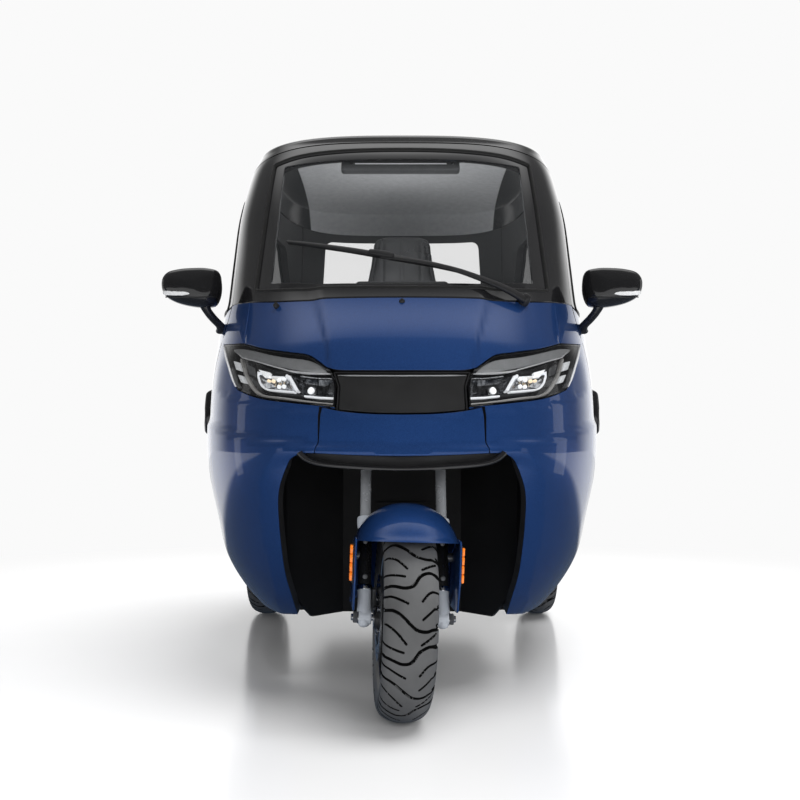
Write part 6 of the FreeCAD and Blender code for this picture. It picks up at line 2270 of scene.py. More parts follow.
# caliper
mb.rbox((-0.0995, 0.046, 0.226), (-0.0725, 0.104, 0.299), 0.008, 2, 4)
mb.rbox((-0.0735, 0.061, 0.236), (-0.0615, 0.099, 0.294), 0.003, 4, 2)
mb.rbox((-0.0935, 0.020, 0.268), (-0.0790, 0.060, 0.286), 0.004, 2, 2)
for zz in (0.238, 0.287):
    mb.lathe([(0.0, 0.0002), (0.0, 0.0060), (0.0045, 0.0060), (0.0055, 0.0048), (0.0055, 0.0002)],
             (-0.0990, 0.075, zz), (-1, 0, 0), 6, 3, closed=False)
for uu in (0.062, 0.088):
    mb.lathe([(0.0, 0.0002), (0.0, 0.0100), (0.002, 0.0110), (0.0030, 0.0002)],
             (-0.0988, uu, 0.262), (-1, 0, 0), 24, 4, closed=False)
TUBE = simple_mat("fork_tube", (0.50, 0.52, 0.55), 0.24, metal=0.55, vary=0.05, scale=60)
mb.done("fork_assembly", [CAST, CHROME, DARKMET, STEEL, GREYMET, CAST, TUBE], "steering",
        ["front_fork"],
        xf=TURN, angle=35)

# ------------------------------------------------------------------ mudguard
GR = 0.268
sec = np.array([(0.0, 0.2680), (0.015, 0.2674), (0.030, 0.2655), (0.044, 0.2616),
                (0.058, 0.2560), (0.078, 0.2440), (0.093, 0.2300), (0.106, 0.2120),
                (0.114, 0.1950), (0.1180, 0.1780), (0.1200, 0.1620)])
so = catmull(sec, 4)
so = np.vstack([(so * [-1, 1])[::-1], so[1:]])
ts_ = np.gradient(so, axis=0)
ts_ /= np.linalg.norm(ts_, axis=1, keepdims=True)
ns_ = np.stack([-ts_[:, 1], ts_[:, 0]], 1)
if ns_[len(so) // 2, 1] < 0:
    ns_ = -ns_


def guard_skin(off):
    """one face of the guard; rows from the front edge over the top to the rear edge"""
    o_ = so + ns_ * off
    x_, r_ = o_[:, 0], o_[:, 1]
    a0_ = np.degrees(np.arcsin(np.clip(0.1733 / (r_ * 1.00462), -1, 0.9999))) + 5.5
    nf = 56
    f_ = np.linspace(0, 1, nf) ** 1.25
    out = []
    for f in f_:
        a_ = np.radians(a0_ + (176.0 - a0_) * f)
        fl = 0.0038 * np.exp(-(f / 0.022) ** 2)
        out.append(np.stack([x_, -np.cos(a_) * (r_ + fl), AXLE_Z + np.sin(a_) * (r_ + fl)], 1))
    return out


G_o, G_i = guard_skin(0.0), guard_skin(-0.0045)
mb = MB()
nR, nC = len(G_o), len(so)
Vg = np.vstack(G_o + G_i)
Fg = []
off_ = nR * nC
for r in range(nR - 1):
    for k in range(nC - 1):
        Fg.append((r * nC + k, r * nC + k + 1, (r + 1) * nC + k + 1, (r + 1) * nC + k))
        Fg.append((off_ + r * nC + k, off_ + (r + 1) * nC + k, off_ + (r + 1) * nC + k + 1,
                   off_ + r * nC + k + 1))
for k in range(nC - 1):
    for r in (0, nR - 1):
        Fg.append((r * nC + k, off_ + r * nC + k, off_ + r * nC + k + 1, r * nC + k + 1))
for r in range(nR - 1):
    for k in (0, nC - 1):
        Fg.append((r * nC + k, (r + 1) * nC + k, off_ + (r + 1) * nC + k, off_ + r * nC + k))
mb.add(Vg, Fg, 0)
flap = rounded_poly([(-0.052, 0.257), (-0.077, 0.330), (-0.071, 0.424), (0.0, 0.424),
                     (0.12, 0.396), (0.188, 0.345), (0.188, 0.318), (0.114, 0.257)], 0.012, 5)
for s_ in (-1, 1):
    x0_, x1_ = (0.1168, 0.1212) if s_ > 0 else (-0.1168, -0.1212)
    mb.plate(flap, ((0, 0, 0), (0, 1, 0), (0, 0, 1), (1, 0, 0)), x0_, x1_, 0.0012, 0)
    b_ = AXLE + AX * 0.150 + X1 * s_ * 0.1212
    mb.lathe([(-0.001, 0.0085), (0.0015, 0.0085), (0.0022, 0.0060), (0.0052, 0.0058),
              (0.0062, 0.0045), (0.0064, 0.0004)], b_, X1 * s_, 18, 1, closed=False)
    b_ = AXLE + AX * 0.090 + X1 * s_ * 0.1212
    mb.lathe([(-0.001, 0.0075), (0.0015, 0.0075), (0.0020, 0.0050), (0.0045, 0.0048),
              (0.0050, 0.0004)], b_, X1 * s_, 18, 1, closed=False)
mb.done("mudguard_front", [PAINT, GREYMET], "steering", ["front_mudguard"], xf=TURN,
        angle=40)
mb = MB()
for s_ in (-1, 1):
    for k in range(4):
        z0_ = 0.3265 + k * 0.0205
        lo_ = np.array([0.1216, -0.054, z0_])
        hi_ = np.array([0.1312, -0.022, z0_ + 0.0190])
        if s_ < 0:
            lo_, hi_ = np.array([-hi_[0], lo_[1], lo_[2]]), np.array([-lo_[0], hi_[1], hi_[2]])
        mb.rbox(lo_, hi_, 0.0022, 0)
    lo_ = np.array([0.1212, -0.0585, 0.3205])
    hi_ = np.array([0.1250, -0.0175, 0.4120])
    if s_ < 0:
        lo_, hi_ = np.array([-hi_[0], lo_[1], lo_[2]]), np.array([-lo_[0], hi_[1], hi_[2]])
    mb.rbox(lo_, hi_, 0.0014, 1)
# the amber blocks glow faintly from the amber lens material: a painted glint, as these reflectors are no lamps
mb.done("fork_reflectors", [AMBER, TRIM], "steering", (), xf=TURN)

# ------------------------------------------------------------------ handlebar
GRIP = simple_mat("grip_rubber", (0.014, 0.014, 0.015), 0.6, vary=0.15, scale=60, bump_s=0.4,
                  bump_d=0.0006, bump_scale=380)
mb = MB()
topp = along(0.704)
mb.lathe([(0.0, 0.014), (0.0, 0.0245), (0.003, 0.026), (0.030, 0.026), (0.034, 0.0235),
          (0.034, 0.014)], along(0.692), AX, 36, 0)
mb.lathe([(0.034, 0.0004), (0.034, 0.0125), (0.0385, 0.0125), (0.0400, 0.0105), (0.0400, 0.0004)],
         along(0.692), AX, 6, 2, closed=False)
for s_ in (-1, 1):
    pts = np.array([topp + [0, 0, 0.004], topp + [s_ * 0.03, 0.02, 0.005],
                    topp + [s_ * 0.060, 0.045, 0.008], topp + [s_ * 0.105, 0.107, 0.026],
                    topp + [s_ * 0.150, 0.170, 0.045], topp + [s_ * 0.164, 0.199, 0.0490]])
    mb.tube(catmull(pts, 6), 0.0108, n=20, m=0)
    g0, g1 = topp + [s_ * 0.1500, 0.170, 0.045], topp + [s_ * 0.212, 0.300, 0.062]
    dv = (g1 - g0) / np.linalg.norm(g1 - g0)
    L_ = np.linalg.norm(g1 - g0)
    prof = [(0.020, 0.0120), (0.0205, 0.0158), (0.024, 0.0160)]
    t = 0.027
    while t < L_ - 0.010:
        prof += [(t, 0.0152), (t + 0.0012, 0.0143), (t + 0.0034, 0.0143), (t + 0.0046, 0.0152)]
        t += 0.0072
    prof += [(L_ - 0.006, 0.0160), (L_, 0.0155), (L_ + 0.002, 0.0120)]
    mb.lathe(prof, g0, dv, 32, 1, closed=False)
    # switch housing and lever
    c_ = g0 + dv * 0.008
    up_ = np.cross(np.array([1.0, 0, 0]) * s_, dv)
    up_ = np.array([0, 0, 1.0]) - dv * dv[2]
    up_ /= np.linalg.norm(up_)
    sd_ = np.cross(dv, up_)
    Mh = np.eye(4)
    Mh[:3, 0], Mh[:3, 1], Mh[:3, 2], Mh[:3, 3] = sd_, dv, up_, c_
    mb.rbox((-0.0185, -0.020, -0.017), (0.0185, 0.010, 0.0195), 0.006, 0, 3, mat=Mh)
    mb.rbox((-0.006, -0.010, 0.0190), (0.006, 0.000, 0.0225), 0.0015, 2, 2, mat=Mh)
    lv = [c_ - up_ * 0.016 + dv * 0.0, c_ - up_ * 0.030 + dv * 0.020,
          c_ - up_ * 0.036 + dv * 0.060, c_ - up_ * 0.035 + dv * 0.100,
          c_ - up_ * 0.031 + dv * 0.122]
    mb.tube(catmull(np.array(lv), 5), 0.0042, n=12, m=0, wide=1.7, up=up_)
mb.done("handlebar_assembly", [DARKMET, GRIP, GREYMET], "steering", ["handlebar"],
        xf=TURN, angle=35)

# ------------------------------------------------------------------ mirrors
MIRROR = simple_mat("mirror_silver", (0.86, 0.87, 0.88), 0.02, metal=1.0, vary=0.01,
                    rough_vary=0.01, scale=10)
STRIP = simple_mat("turn_strip", (0.66, 0.67, 0.68), 0.16, vary=0.04, scale=80, coat=0.6,
                   emit=0.15)
mo = np.array([(0.6950, 1.0930), (0.6925, 1.1180), (0.6780, 1.1350), (0.6450, 1.1445),
               (0.6050, 1.1480), (0.5600, 1.1470), (0.5320, 1.1380), (0.5245, 1.1100),
               (0.5260, 1.0700), (0.5400, 1.0400), (0.5650, 1.0330), (0.6150, 1.0370),
               (0.6600, 1.0500), (0.6860, 1.0680)])
mo = catmull(mo, 5, closed=True)
mc = mo.mean(0)
UF, UB = 0.5640, 0.6460
mb = MB()
prof_m = [(0.02, 0.0), (0.22, 0.0008), (0.45, 0.0035), (0.66, 0.0090), (0.82, 0.0170),
          (0.93, 0.0270), (0.985, 0.0380), (1.0, 0.0500), (0.998, 0.0680), (0.985, 0.0760),
          (0.965, 0.0790), (0.945, 0.0780), (0.935, 0.0720)]
rings = []
for sc, dp in prof_m:
    L_ = mc + (mo - mc) * sc
    # each ring of the housing sits at its own depth behind the front face
    rings.append(np.stack([L_[:, 0], np.full(len(L_), UF + dp), L_[:, 1]], 1))
mb.loft(rings, 0)
# glass
L_ = mc + (mo - mc) * 0.925
rings = [np.stack([(mc + (L_ - mc) * f)[:, 0], np.full(len(L_), UF + d),
                   (mc + (L_ - mc) * f)[:, 1]], 1)
         for f, d in ((0.96, 0.0715), (1.0, 0.0740), (0.99, 0.0752), (0.6, 0.0748), (0.05, 0.0746))]
mb.loft(rings, 1)


def mirror_face(x, z):
    """front surface of the housing"""
    d = np.array([x, z]) - mc
    lo_, hi_ = 0.0, 1.4
    t_ = np.linalg.norm(d)
    if t_ < 1e-6:
        return UF
    dr = d / t_
    best = None
    P_ = mo - mc
    ang = np.arctan2(P_[:, 1], P_[:, 0])
    rad = np.linalg.norm(P_, axis=1)
    o_ = np.argsort(ang)
    R_ = np.interp(math.atan2(dr[1], dr[0]), ang[o_], rad[o_], period=2 * PI)
    f = t_ / R_
    return UF + float(np.interp(f, [p[0] for p in prof_m[:8]], [p[1] for p in prof_m[:8]]))


# turn strip and the groove under it
sx = np.linspace(0.6885, 0.6080, 16)
zc = np.interp(sx, [0.608, 0.65, 0.6885], [1.0690, 1.0700, 1.0745])
mb.tube([(x, mirror_face(x, z) + 0.0012, z) for x, z in zip(sx, zc)],
        np.interp(sx, [0.608, 0.625, 0.68, 0.6885], [0.0030, 0.0066, 0.0074, 0.0050]), n=14, m=2,
        wide=0.45, up=(0, 0, 1), power=3.0)
sx = np.linspace(0.6840, 0.5400, 22)
zc = np.interp(sx, [0.54, 0.608, 0.65, 0.684], [1.0600, 1.0575, 1.0590, 1.0640])
mb.tube([(x, mirror_face(x, z) + 0.0008, z) for x, z in zip(sx, zc)],
        np.full(22, 0.0022), n=10, m=3, wide=0.9, up=(0, 0, 1))
# arm with a flared foot
fx = float(x_side(0.668, 0.975))
arm = catmull(np.array([(0.5720, 0.6120, 1.0440), (0.5650, 0.6190, 1.0250),
                        (0.5500, 0.6340, 1.0040), (0.5340, 0.6520, 0.9860),
                        (fx + 0.002, 0.6680, 0.9750)]), 6)
ra = np.interp(np.linspace(0, 1, len(arm)), [0, 0.25, 0.7, 0.9, 1.0],
               [0.0135, 0.0105, 0.0100, 0.0125, 0.0165])
mb.tube(arm, ra, n=20, m=0, wide=1.25, up=(0, 0.6, 0.8), dome=False)
mb.done("mirror_housing_left", [BLACK, MIRROR, STRIP, TRIM], "left_door", ["mirror_left"],
        both=("mirror_housing_right", "right_door", ["mirror_right"]), angle=32)

# ------------------------------------------------------------------ door handles
hx = float(x_side(1.10, 0.74))
u_c, z_c, hu, hz = 1.120, 0.741, 0.085, 0.089
nn_ = 40
ss = np.linspace(-1, 1, nn_)
Gs, Gt = np.meshgrid(ss, ss, indexing="ij")
# squircle map so that the outline has round corners
qx = Gs * np.sqrt(1 - 0.30 * Gt ** 2)
qz = Gt * np.sqrt(1 - 0.30 * Gs ** 2)
edge_ = np.maximum(np.abs(Gs), np.abs(Gt))
hgt = 0.0560 * (1 - np.clip(edge_, 0, 1) ** 9) ** 0.5 + 0.004 * (1 - Gs ** 2) * (1 - Gt ** 2)
slot_ = 1.0 / (1.0 + np.exp(np.clip((np.abs(Gs + 0.04) - 0.62) * 40, -60, 60)))
slot_ *= np.exp(-((Gt + 0.12) / 0.20) ** 4)
hgt = hgt - 0.024 * slot_
uu_ = u_c + qx * hu
zz2 = z_c + qz * hz
xb = x_side(uu_.ravel(), zz2.ravel()).reshape(uu_.shape)
Vt = np.stack([xb + 0.002 + np.maximum(hgt, 0.0), uu_, zz2], -1).reshape(-1, 3)
Vb = np.stack([xb - 0.004, uu_, zz2], -1).reshape(-1, 3)
Fh = []
for i in range(nn_ - 1):
    for j in range(nn_ - 1):
        a_ = i * nn_ + j
        Fh.append((a_, a_ + 1, a_ + nn_ + 1, a_ + nn_))
        Fh.append((nn_ * nn_ + a_, nn_ * nn_ + a_ + nn_, nn_ * nn_ + a_ + nn_ + 1,
                   nn_ * nn_ + a_ + 1))
rim_ = [i for i in range(nn_)] + [i * nn_ + nn_ - 1 for i in range(1, nn_)] \
    + [(nn_ - 1) * nn_ + j for j in range(nn_ - 2, -1, -1)] + [i * nn_ for i in range(nn_ - 2, 0, -1)]
for k in range(len(rim_)):
    a_, b_ = rim_[k], rim_[(k + 1) % len(rim_)]
    Fh.append((a_, b_, b_ + nn_ * nn_, a_ + nn_ * nn_))
mb = MB()
mb.add(np.vstack([Vt, Vb]), Fh, 0)
# key barrel under the grip
kx = float(x_side(1.165, 0.690))
mb.lathe([(0.0, 0.0085), (0.0590, 0.0085), (0.0602, 0.0075), (0.0604, 0.0004)],
         (kx, 1.165, 0.690), (1, 0, 0), 24, 1, closed=False)
mb.done("door_handle_body_left", [BLACK, STEEL], "left_door", ["door_handle_left"],
        both=("door_handle_body_right", "right_door", ["door_handle_right"]),
        angle=60)

# ------------------------------------------------------------------ wiper
mb = MB()
WPI = np.array([(0.322, 1.020, 0.018), (0.280, 1.042, 0.022), (0.218, 1.0665, 0.023),
                (0.140, 1.094, 0.022), (0.080, 1.109, 0.020), (0.010, 1.123, 0.018),
                (-0.054, 1.132, 0.016)])
pw = np.array([(x, float(u_front(x, z)) - o_, z) for x, z, o_ in WPI])
_, nW = on_front(WPI[:, :2])
rw = np.interp(np.linspace(0, 1, 7), [0, 0.3, 0.35, 1.0], [0.0075, 0.0068, 0.0050, 0.0038])
pc = catmull(pw, 5)
mb.tube(pc, np.interp(np.linspace(0, 1, len(pc)), np.linspace(0, 1, 7), rw), n=14, m=0, wide=1.5,
        up=nW[3], power=3.2)
P_, N_ = on_front(np.array([(0.322, 1.019)]))
mb.lathe([(-0.004, 0.0150), (0.004, 0.0165), (0.014, 0.0155), (0.022, 0.0130), (0.027, 0.0090),
          (0.029, 0.0004)], P_[0], N_[0], 30, 0, closed=False)
BPI = np.array([(-0.312, 1.1915), (-0.267, 1.180), (-0.222, 1.168), (-0.139, 1.149),
                (-0.056, 1.1305), (0.021, 1.115), (0.087, 1.102), (0.115, 1.096),
                (0.142, 1.090)])
bl = np.array([(x, float(u_front(x, z)), z) for x, z in BPI])
_, nB = on_front(BPI)
bc = catmull(bl + nB * 0.0035, 4)
mb.tube(bc, 0.0034, n=8, m=1, wide=0.6, up=nB[4], power=3.0)
bc2 = catmull(bl + nB * 0.0115, 4)
mb.tube(bc2, np.interp(np.linspace(-1, 1, len(bc2)), [-1, -0.4, 0, 0.4, 1],
                       [0.0022, 0.0040, 0.0050, 0.0040, 0.0022]), n=12, m=0, wide=1.9,
        up=nB[4], power=3.0)
c_ = bl[4] + nB[4] * 0.0165
tB = (bl[5] - bl[3]) / np.linalg.norm(bl[5] - bl[3])
mb.tube([c_ - tB * 0.030, c_ - tB * 0.012, c_ + tB * 0.018, c_ + tB * 0.034],
        [0.0060, 0.0078, 0.0078, 0.0060], n=14, m=0, wide=1.25, up=nB[4], power=3.2)
mb.done("wiper_assembly", [TRIM, RUBBER], "body", ["wiper"], angle=40)

# ------------------------------------------------------------------ rear corners and lamps
tlp = close(LAMPT)
tl_a = rear_pts(tlp)
panel("tail_lamp_back_left", "body", [tl_a], [LAMPBLACK, LAMPBLACK], ["tail_light_left"],
      depth=0.006, gap=0.0025, edge=0.001, step=STEP, inset=0.026, rear=True,
      both=("tail_lamp_back_right", "body", ["tail_light_right"]))
REDLENS = clear_mat("red_cover", (0.30, 0.004, 0.006), 0.72, 0.95)
panel("tail_lamp_cover_left", "body", [tl_a], [REDLENS, LAMPRED], (),
      depth=0.005, gap=0.0022, edge=0.0020, step=STEP, rear=True,
      both=("tail_lamp_cover_right", "body", ()))


def on_rear(xz, inset=0.0):
    xz = np.asarray(xz, float)
    a, q = a_rear(xz[:, 0], xz[:, 1])
    P_, N_ = surf(a, q)
    return P_ - N_ * inset, N_


def rear_bar(mb, xz, width, inset, thick, m=0, n=10, step=0.008):
    L = resample(np.asarray(xz, float), step, False)
    L = np.vstack([L, np.asarray(xz, float)[-1:]])
    P_, N_ = on_rear(L, inset)
    mb.tube(P_, np.full(len(P_), thick / 2), n=n, m=m, wide=width / thick, up=N_, power=3.0)


mb = MB()
for k, (zl, mt) in enumerate(((0.765, 0), (0.800, 0), (0.835, 0), (0.870, 1), (0.905, 1),
                              (0.940, 2))):
    xa = np.interp(zl, [0.735, 0.965], [0.405, 0.388]) + 0.016
    xb_ = np.interp(zl, [0.735, 0.990], [0.585, 0.560]) - 0.020
    rear_bar(mb, [(xa, zl), (xb_, zl + 0.004)], 0.022, 0.014, 0.012, mt, n=12)
mb.done("tail_lamp_bars_left", [LAMPRED, AMBER, LIGHTBAR], "body",
        both=("tail_lamp_bars_right", "body", ()))

# rear bumper: wraps round below the corners
zq = float(q_of_z(0.468))
zb2 = float(q_of_z(0.176))
u_ar1 = ARC_U + math.sqrt(ARC_R ** 2 - (0.468 - ARC_Z) ** 2)
ang_lo = math.asin((0.176 - ARC_Z) / ARC_R)
arc_b = np.array([(ARC_U + ARC_R * math.cos(t_), ARC_Z + ARC_R * math.sin(t_))
                  for t_ in np.linspace(math.asin((0.468 - ARC_Z) / ARC_R), ang_lo, 60)])
seg1 = side_pts(arc_b)
a_t = float(seg1[0][0])
a_b = float(seg1[-1][0])
top_run = np.stack([np.linspace(a_t, PI, 70)[::-1], np.full(70, zq)], 1)
bot_r = np.stack([np.linspace(a_b, PI, 70), np.full(70, zb2)], 1)[1:]
halfB = np.vstack([top_run, seg1[1:], bot_r])
otherB = halfB[::-1].copy()
otherB[:, 0] = -otherB[:, 0]
bump_aq = np.vstack([halfB[1:-1], [[PI, zb2]], otherB[1:-1], [[PI, zq]]])
HOLE = rounded_poly([(-0.119, 0.4045), (-0.119, 0.467), (0.119, 0.467), (0.119, 0.4045)], 0.006, 3)
panel("rear_bumper_skin", "body", [bump_aq], [PAINT, TRIM], ["rear_bumper"],
      depth=0.040, gap=0.0022, edge=0.0024, step=STEP, rear=True)
mb = MB()
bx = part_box("rear_bumper")
yb = 2.024
plate_o = rounded_poly([(-0.120, 0.405), (-0.120, 0.535), (0.120, 0.535), (0.120, 0.405)], 0.010, 5)
mb.plate(plate_o, ((0, 0, 0), (1, 0, 0), (0, 0, 1), (0, 1, 0)), yb - 0.040, yb - 0.0010, 0.003, 0)
inner_o = rounded_poly([(-0.112, 0.413), (-0.112, 0.527), (0.112, 0.527), (0.112, 0.413)], 0.006, 4)
mb.plate(inner_o, ((0, 0, 0), (1, 0, 0), (0, 0, 1), (0, 1, 0)), yb - 0.012, yb - 0.0002, 0.0008, 1)
for s_ in (-1, 1):
    mb.lathe([(-0.002, 0.0034), (-0.002, 0.0068), (0.0002, 0.0068), (0.0002, 0.0034)],
             (s_ * 0.090, yb - 0.0002, 0.470), (0, 1, 0), 24, 2)
    mb.lathe([(-0.010, 0.0002), (-0.010, 0.0034), (0.00025, 0.0034), (0.00025, 0.0002)],
             (s_ * 0.090, yb - 0.0002, 0.470), (0, 1, 0), 16, 3, closed=False)
# light over the plate
mb.rbox((-0.050, yb - 0.048, 0.5365), (0.050, yb - 0.006, 0.5500), 0.004, 0)
mb.done("plate_bracket", [TRIM, DARKMET, STEEL, LAMPBLACK], "body", ())

# boot lid: press button and lower grip
mb = MB()
P_, N_ = on_rear(np.array([(0.0, 0.690)]))
mb.lathe([(-0.003, 0.0170), (0.0035, 0.0170), (0.0050, 0.0150), (0.0044, 0.0120),
          (0.0052, 0.0100), (0.0056, 0.0004)], P_[0], N_[0], 32, 0, closed=False)
mb.done("boot_button", [BLACK], "boot", ())

# ------------------------------------------------------------------ materials for kept nodes
GALV = simple_mat("frame_black", (0.012, 0.012, 0.013), 0.42, vary=0.2, scale=22, bump_s=0.15,
                  bump_scale=500)
FLOORMAT = simple_mat("floor_mat", (0.020, 0.020, 0.021), 0.75, vary=0.2, scale=30, bump_s=0.6,
                      bump_d=0.0010, bump_scale=260)


def give(node, mat):
    ob = frame["nodes"][node]
    me = ob.data
    if len(me.materials) == 0:
        me.materials.append(mat)
    for k in range(len(me.materials)):
        me.materials[k] = mat


give("wheel_well", WELL)
give("floor_pan", FLOORMAT)
# ------------------------------------------------------------------ cabin


def leather(name, color, rough, grain=240.0, coat=0.60):
    """sealed leather: small cells with fine creases, slightly uneven gloss"""
    m, nt, b = node_mat(name)
    b.inputs["Coat Weight"].default_value = coat
    b.inputs["Coat Roughness"].default_value = 0.16
    b.inputs["Specular IOR Level"].default_value = 0.55
    n = tex_noise(nt, 9.0, 4.0)
    r = ramp(nt, n.outputs["Fac"], [(0.3, [c * 0.75 for c in color]),
                                    (0.7, [c * 1.35 for c in color])])
    nt.links.new(r.outputs["Color"], b.inputs["Base Color"])
    r2 = ramp(nt, n.outputs["Fac"], [(0.3, rough - 0.05), (0.7, rough + 0.07)])
    nt.links.new(r2.outputs["Color"], b.inputs["Roughness"])
    tc = nt.nodes.new("ShaderNodeTexCoord")
    v = nt.nodes.new("ShaderNodeTexVoronoi")
    v.feature = "DISTANCE_TO_EDGE"
    v.inputs["Scale"].default_value = grain
    nt.links.new(tc.outputs["Object"], v.inputs["Vector"])
    cr = ramp(nt, v.outputs["Distance"], [(0.0, 0.0), (0.14, 1.0)])
    last = add_bump(nt, b, cr.outputs["Color"], 0.30, 0.0006)
    m.diffuse_color = (*color, 1)
    return m


LEATHER = leather("seat_leather", (0.020, 0.0205, 0.0215), 0.30)
THREAD = simple_mat("seam_thread", (0.10, 0.10, 0.105), 0.7, vary=0.2, scale=200)
SOFTDASH = simple_mat("dash_skin", (0.020, 0.0205, 0.021), 0.55, vary=0.12, scale=40, bump_s=0.5,
                      bump_d=0.0004, bump_scale=520)
PANELGREY = simple_mat("panel_grey", (0.075, 0.078, 0.082), 0.5, vary=0.10, scale=40, bump_s=0.3,
                       bump_d=0.0003, bump_scale=600)
# pale plastic strip of the visor panel; its glow is a painted reflection
STRIP = simple_mat("visor_strip_painted_reflection", (0.62, 0.64, 0.66), 0.35, vary=0.04, scale=40, emit=0.35)
DISPLAY = simple_mat("display_glass", (0.006, 0.007, 0.008), 0.06, coat=1.0, vary=0.1, scale=10)
CASEGREY = simple_mat("battery_case", (0.045, 0.046, 0.048), 0.5, vary=0.15, scale=30, bump_s=0.4,
                      bump_d=0.0004, bump_scale=420)
COPPER = simple_mat("terminal_red", (0.30, 0.02, 0.015), 0.45, vary=0.15, scale=60)


def get_co(me):
    a = np.empty(len(me.vertices) * 3)
    me.vertices.foreach_get("co", a)
    return a.reshape(-1, 3)


def set_co(me, P):
    me.vertices.foreach_set("co", np.ascontiguousarray(P, dtype=np.float64).ravel())
    me.update()


def bake_mods(ob):
    dg = bpy.context.evaluated_depsgraph_get()
    dg.update()
    me = bpy.data.meshes.new_from_object(ob.evaluated_get(dg))
    old = ob.data
    mats = [m for m in old.materials]
    ob.modifiers.clear()
    ob.data = me
    me.name = ob.name
    if not len(me.materials):
        for m in mats:
            me.materials.append(m)
    bpy.data.meshes.remove(old)


def puff(ob, voxel, cap, pressure=4.0, smooth=5, fine=True):
    """stuffed form: an even mesh blown up by the cloth solver, no point moving past the cap"""
    m = ob.modifiers.new("even", "REMESH")
    m.mode = "VOXEL"
    m.voxel_size = voxel
    m2 = ob.modifiers.new("ease", "SMOOTH")
    m2.factor = 0.5
    m2.iterations = smooth
    bake_mods(ob)
    sc = bpy.context.scene
    co0 = get_co(ob.data).copy()
    c = ob.modifiers.new("stuffing", "CLOTH")
    st = c.settings
    st.quality = 4
    st.mass = 0.3
    st.tension_stiffness = 14
    st.compression_stiffness = 14
    st.shear_stiffness = 6
    st.bending_stiffness = 1.5
    st.use_pressure = True
    st.uniform_pressure_force = pressure
    st.effector_weights.gravity = 0
    c.collision_settings.use_collision = False
    c.collision_settings.use_self_collision = False
    c.point_cache.frame_start = 1
    c.point_cache.frame_end = 20
    for f in range(1, 21):
        sc.frame_set(f)
    dg = bpy.context.evaluated_depsgraph_get()
    ev = ob.evaluated_get(dg)
    co1 = get_co(ev.data).copy()
    ob.modifiers.clear()
    d = co1 - co0
    L_ = np.linalg.norm(d, axis=1, keepdims=True)
    d *= np.minimum(1.0, cap / np.maximum(L_, 1e-9))
    set_co(ob.data, co0 + d)
    sc.frame_set(1)
    if fine:
        s_ = ob.modifiers.new("fine", "SUBSURF")
        s_.levels = 1
        s_.render_levels = 1
        bake_mods(ob)
    ob.data.polygons.foreach_set("use_smooth", [True] * len(ob.data.polygons))


def carve(ob, fn):
    """move points along their normals by fn(P, N), P in car coordinates"""
    me = ob.data
    P_ = get_co(me).copy()
    N_ = np.empty(len(me.vertices) * 3)
    me.vertices.foreach_get("normal", N_)
    N_ = N_.reshape(-1, 3)
    Q_ = P_.copy()
    Q_[:, 1] += U0
    set_co(me, P_ + N_ * fn(Q_, N_)[:, None])


def groove(d, w, depth):
    return -depth * np.exp(-(d / w) ** 2)


def pleats(t, pitch, w, depth):
    """rolls between sewn lines"""
    r = np.abs((t / pitch + 0.5) % 1.0 - 0.5) * pitch
    return groove(r, w, depth) + 0.25 * depth * np.cos(2 * PI * t / pitch + PI)


# ---- driver's seat
TILT = math.radians(14.5)
SC, SS = math.cos(TILT), math.sin(TILT)
SEAT_W = catmull(np.array([(0.515, 0.222), (0.60, 0.230), (0.70, 0.233), (0.82, 0.230),
                           (0.93, 0.222), (1.02, 0.204), (1.09, 0.180), (1.15, 0.157),
                           (1.19, 0.144), (1.26, 0.126), (1.34, 0.112), (1.40, 0.102)]), 8)


def seat_xf(P_):
    """upright seat coordinates x, depth, z to the leaning ones"""
    P_ = np.asarray(P_, float)
    h = P_[:, 2] - 0.515
    return np.stack([P_[:, 0], 1.082 + P_[:, 1] * SC + h * SS,
                     0.515 - P_[:, 1] * SS + h * SC], 1)


def seat_un(P_):
    e = P_[:, 1] - 1.082
    f = P_[:, 2] - 0.515
    return np.stack([P_[:, 0], e * SC - f * SS, 0.515 + e * SS + f * SC], 1)


mb = MB()
mb.rbox((-0.232, 0.808, 0.466), (0.232, 1.092, 0.541), 0.028, seg=5)
cush = mb.done("seat_cushion", [LEATHER], "body", ("driver_seat",))
puff(cush, 0.008, 0.010)


def cush_form(P_, N_):
    x, u = P_[:, 0], P_[:, 1]
    top = sstep(0.25, 0.75, N_[:, 2])
    side = sstep(0.25, 0.75, -N_[:, 1]) * (1 - top)
    ax = np.abs(x)
    mid = sstep(0.158, 0.150, ax) * sstep(0.832, 0.842, u)
    d = top * (0.006 * (1 - (ax / 0.232) ** 2) + 0.006 * sstep(0.150, 0.190, ax))
    d += top * mid * pleats(u - 0.86, 0.048, 0.0045, 0.0050)
    d += top * groove(ax - 0.157, 0.0045, 0.006) * sstep(0.826, 0.834, u)
    d += top * groove(u - 0.832, 0.0045, 0.006) * sstep(0.164, 0.156, ax)
    d += (1 - top) * groove(P_[:, 2] - 0.508, 0.0040, 0.004) * sstep(0.6, 0.3, np.abs(N_[:, 2]))
    return d


carve(cush, cush_form)

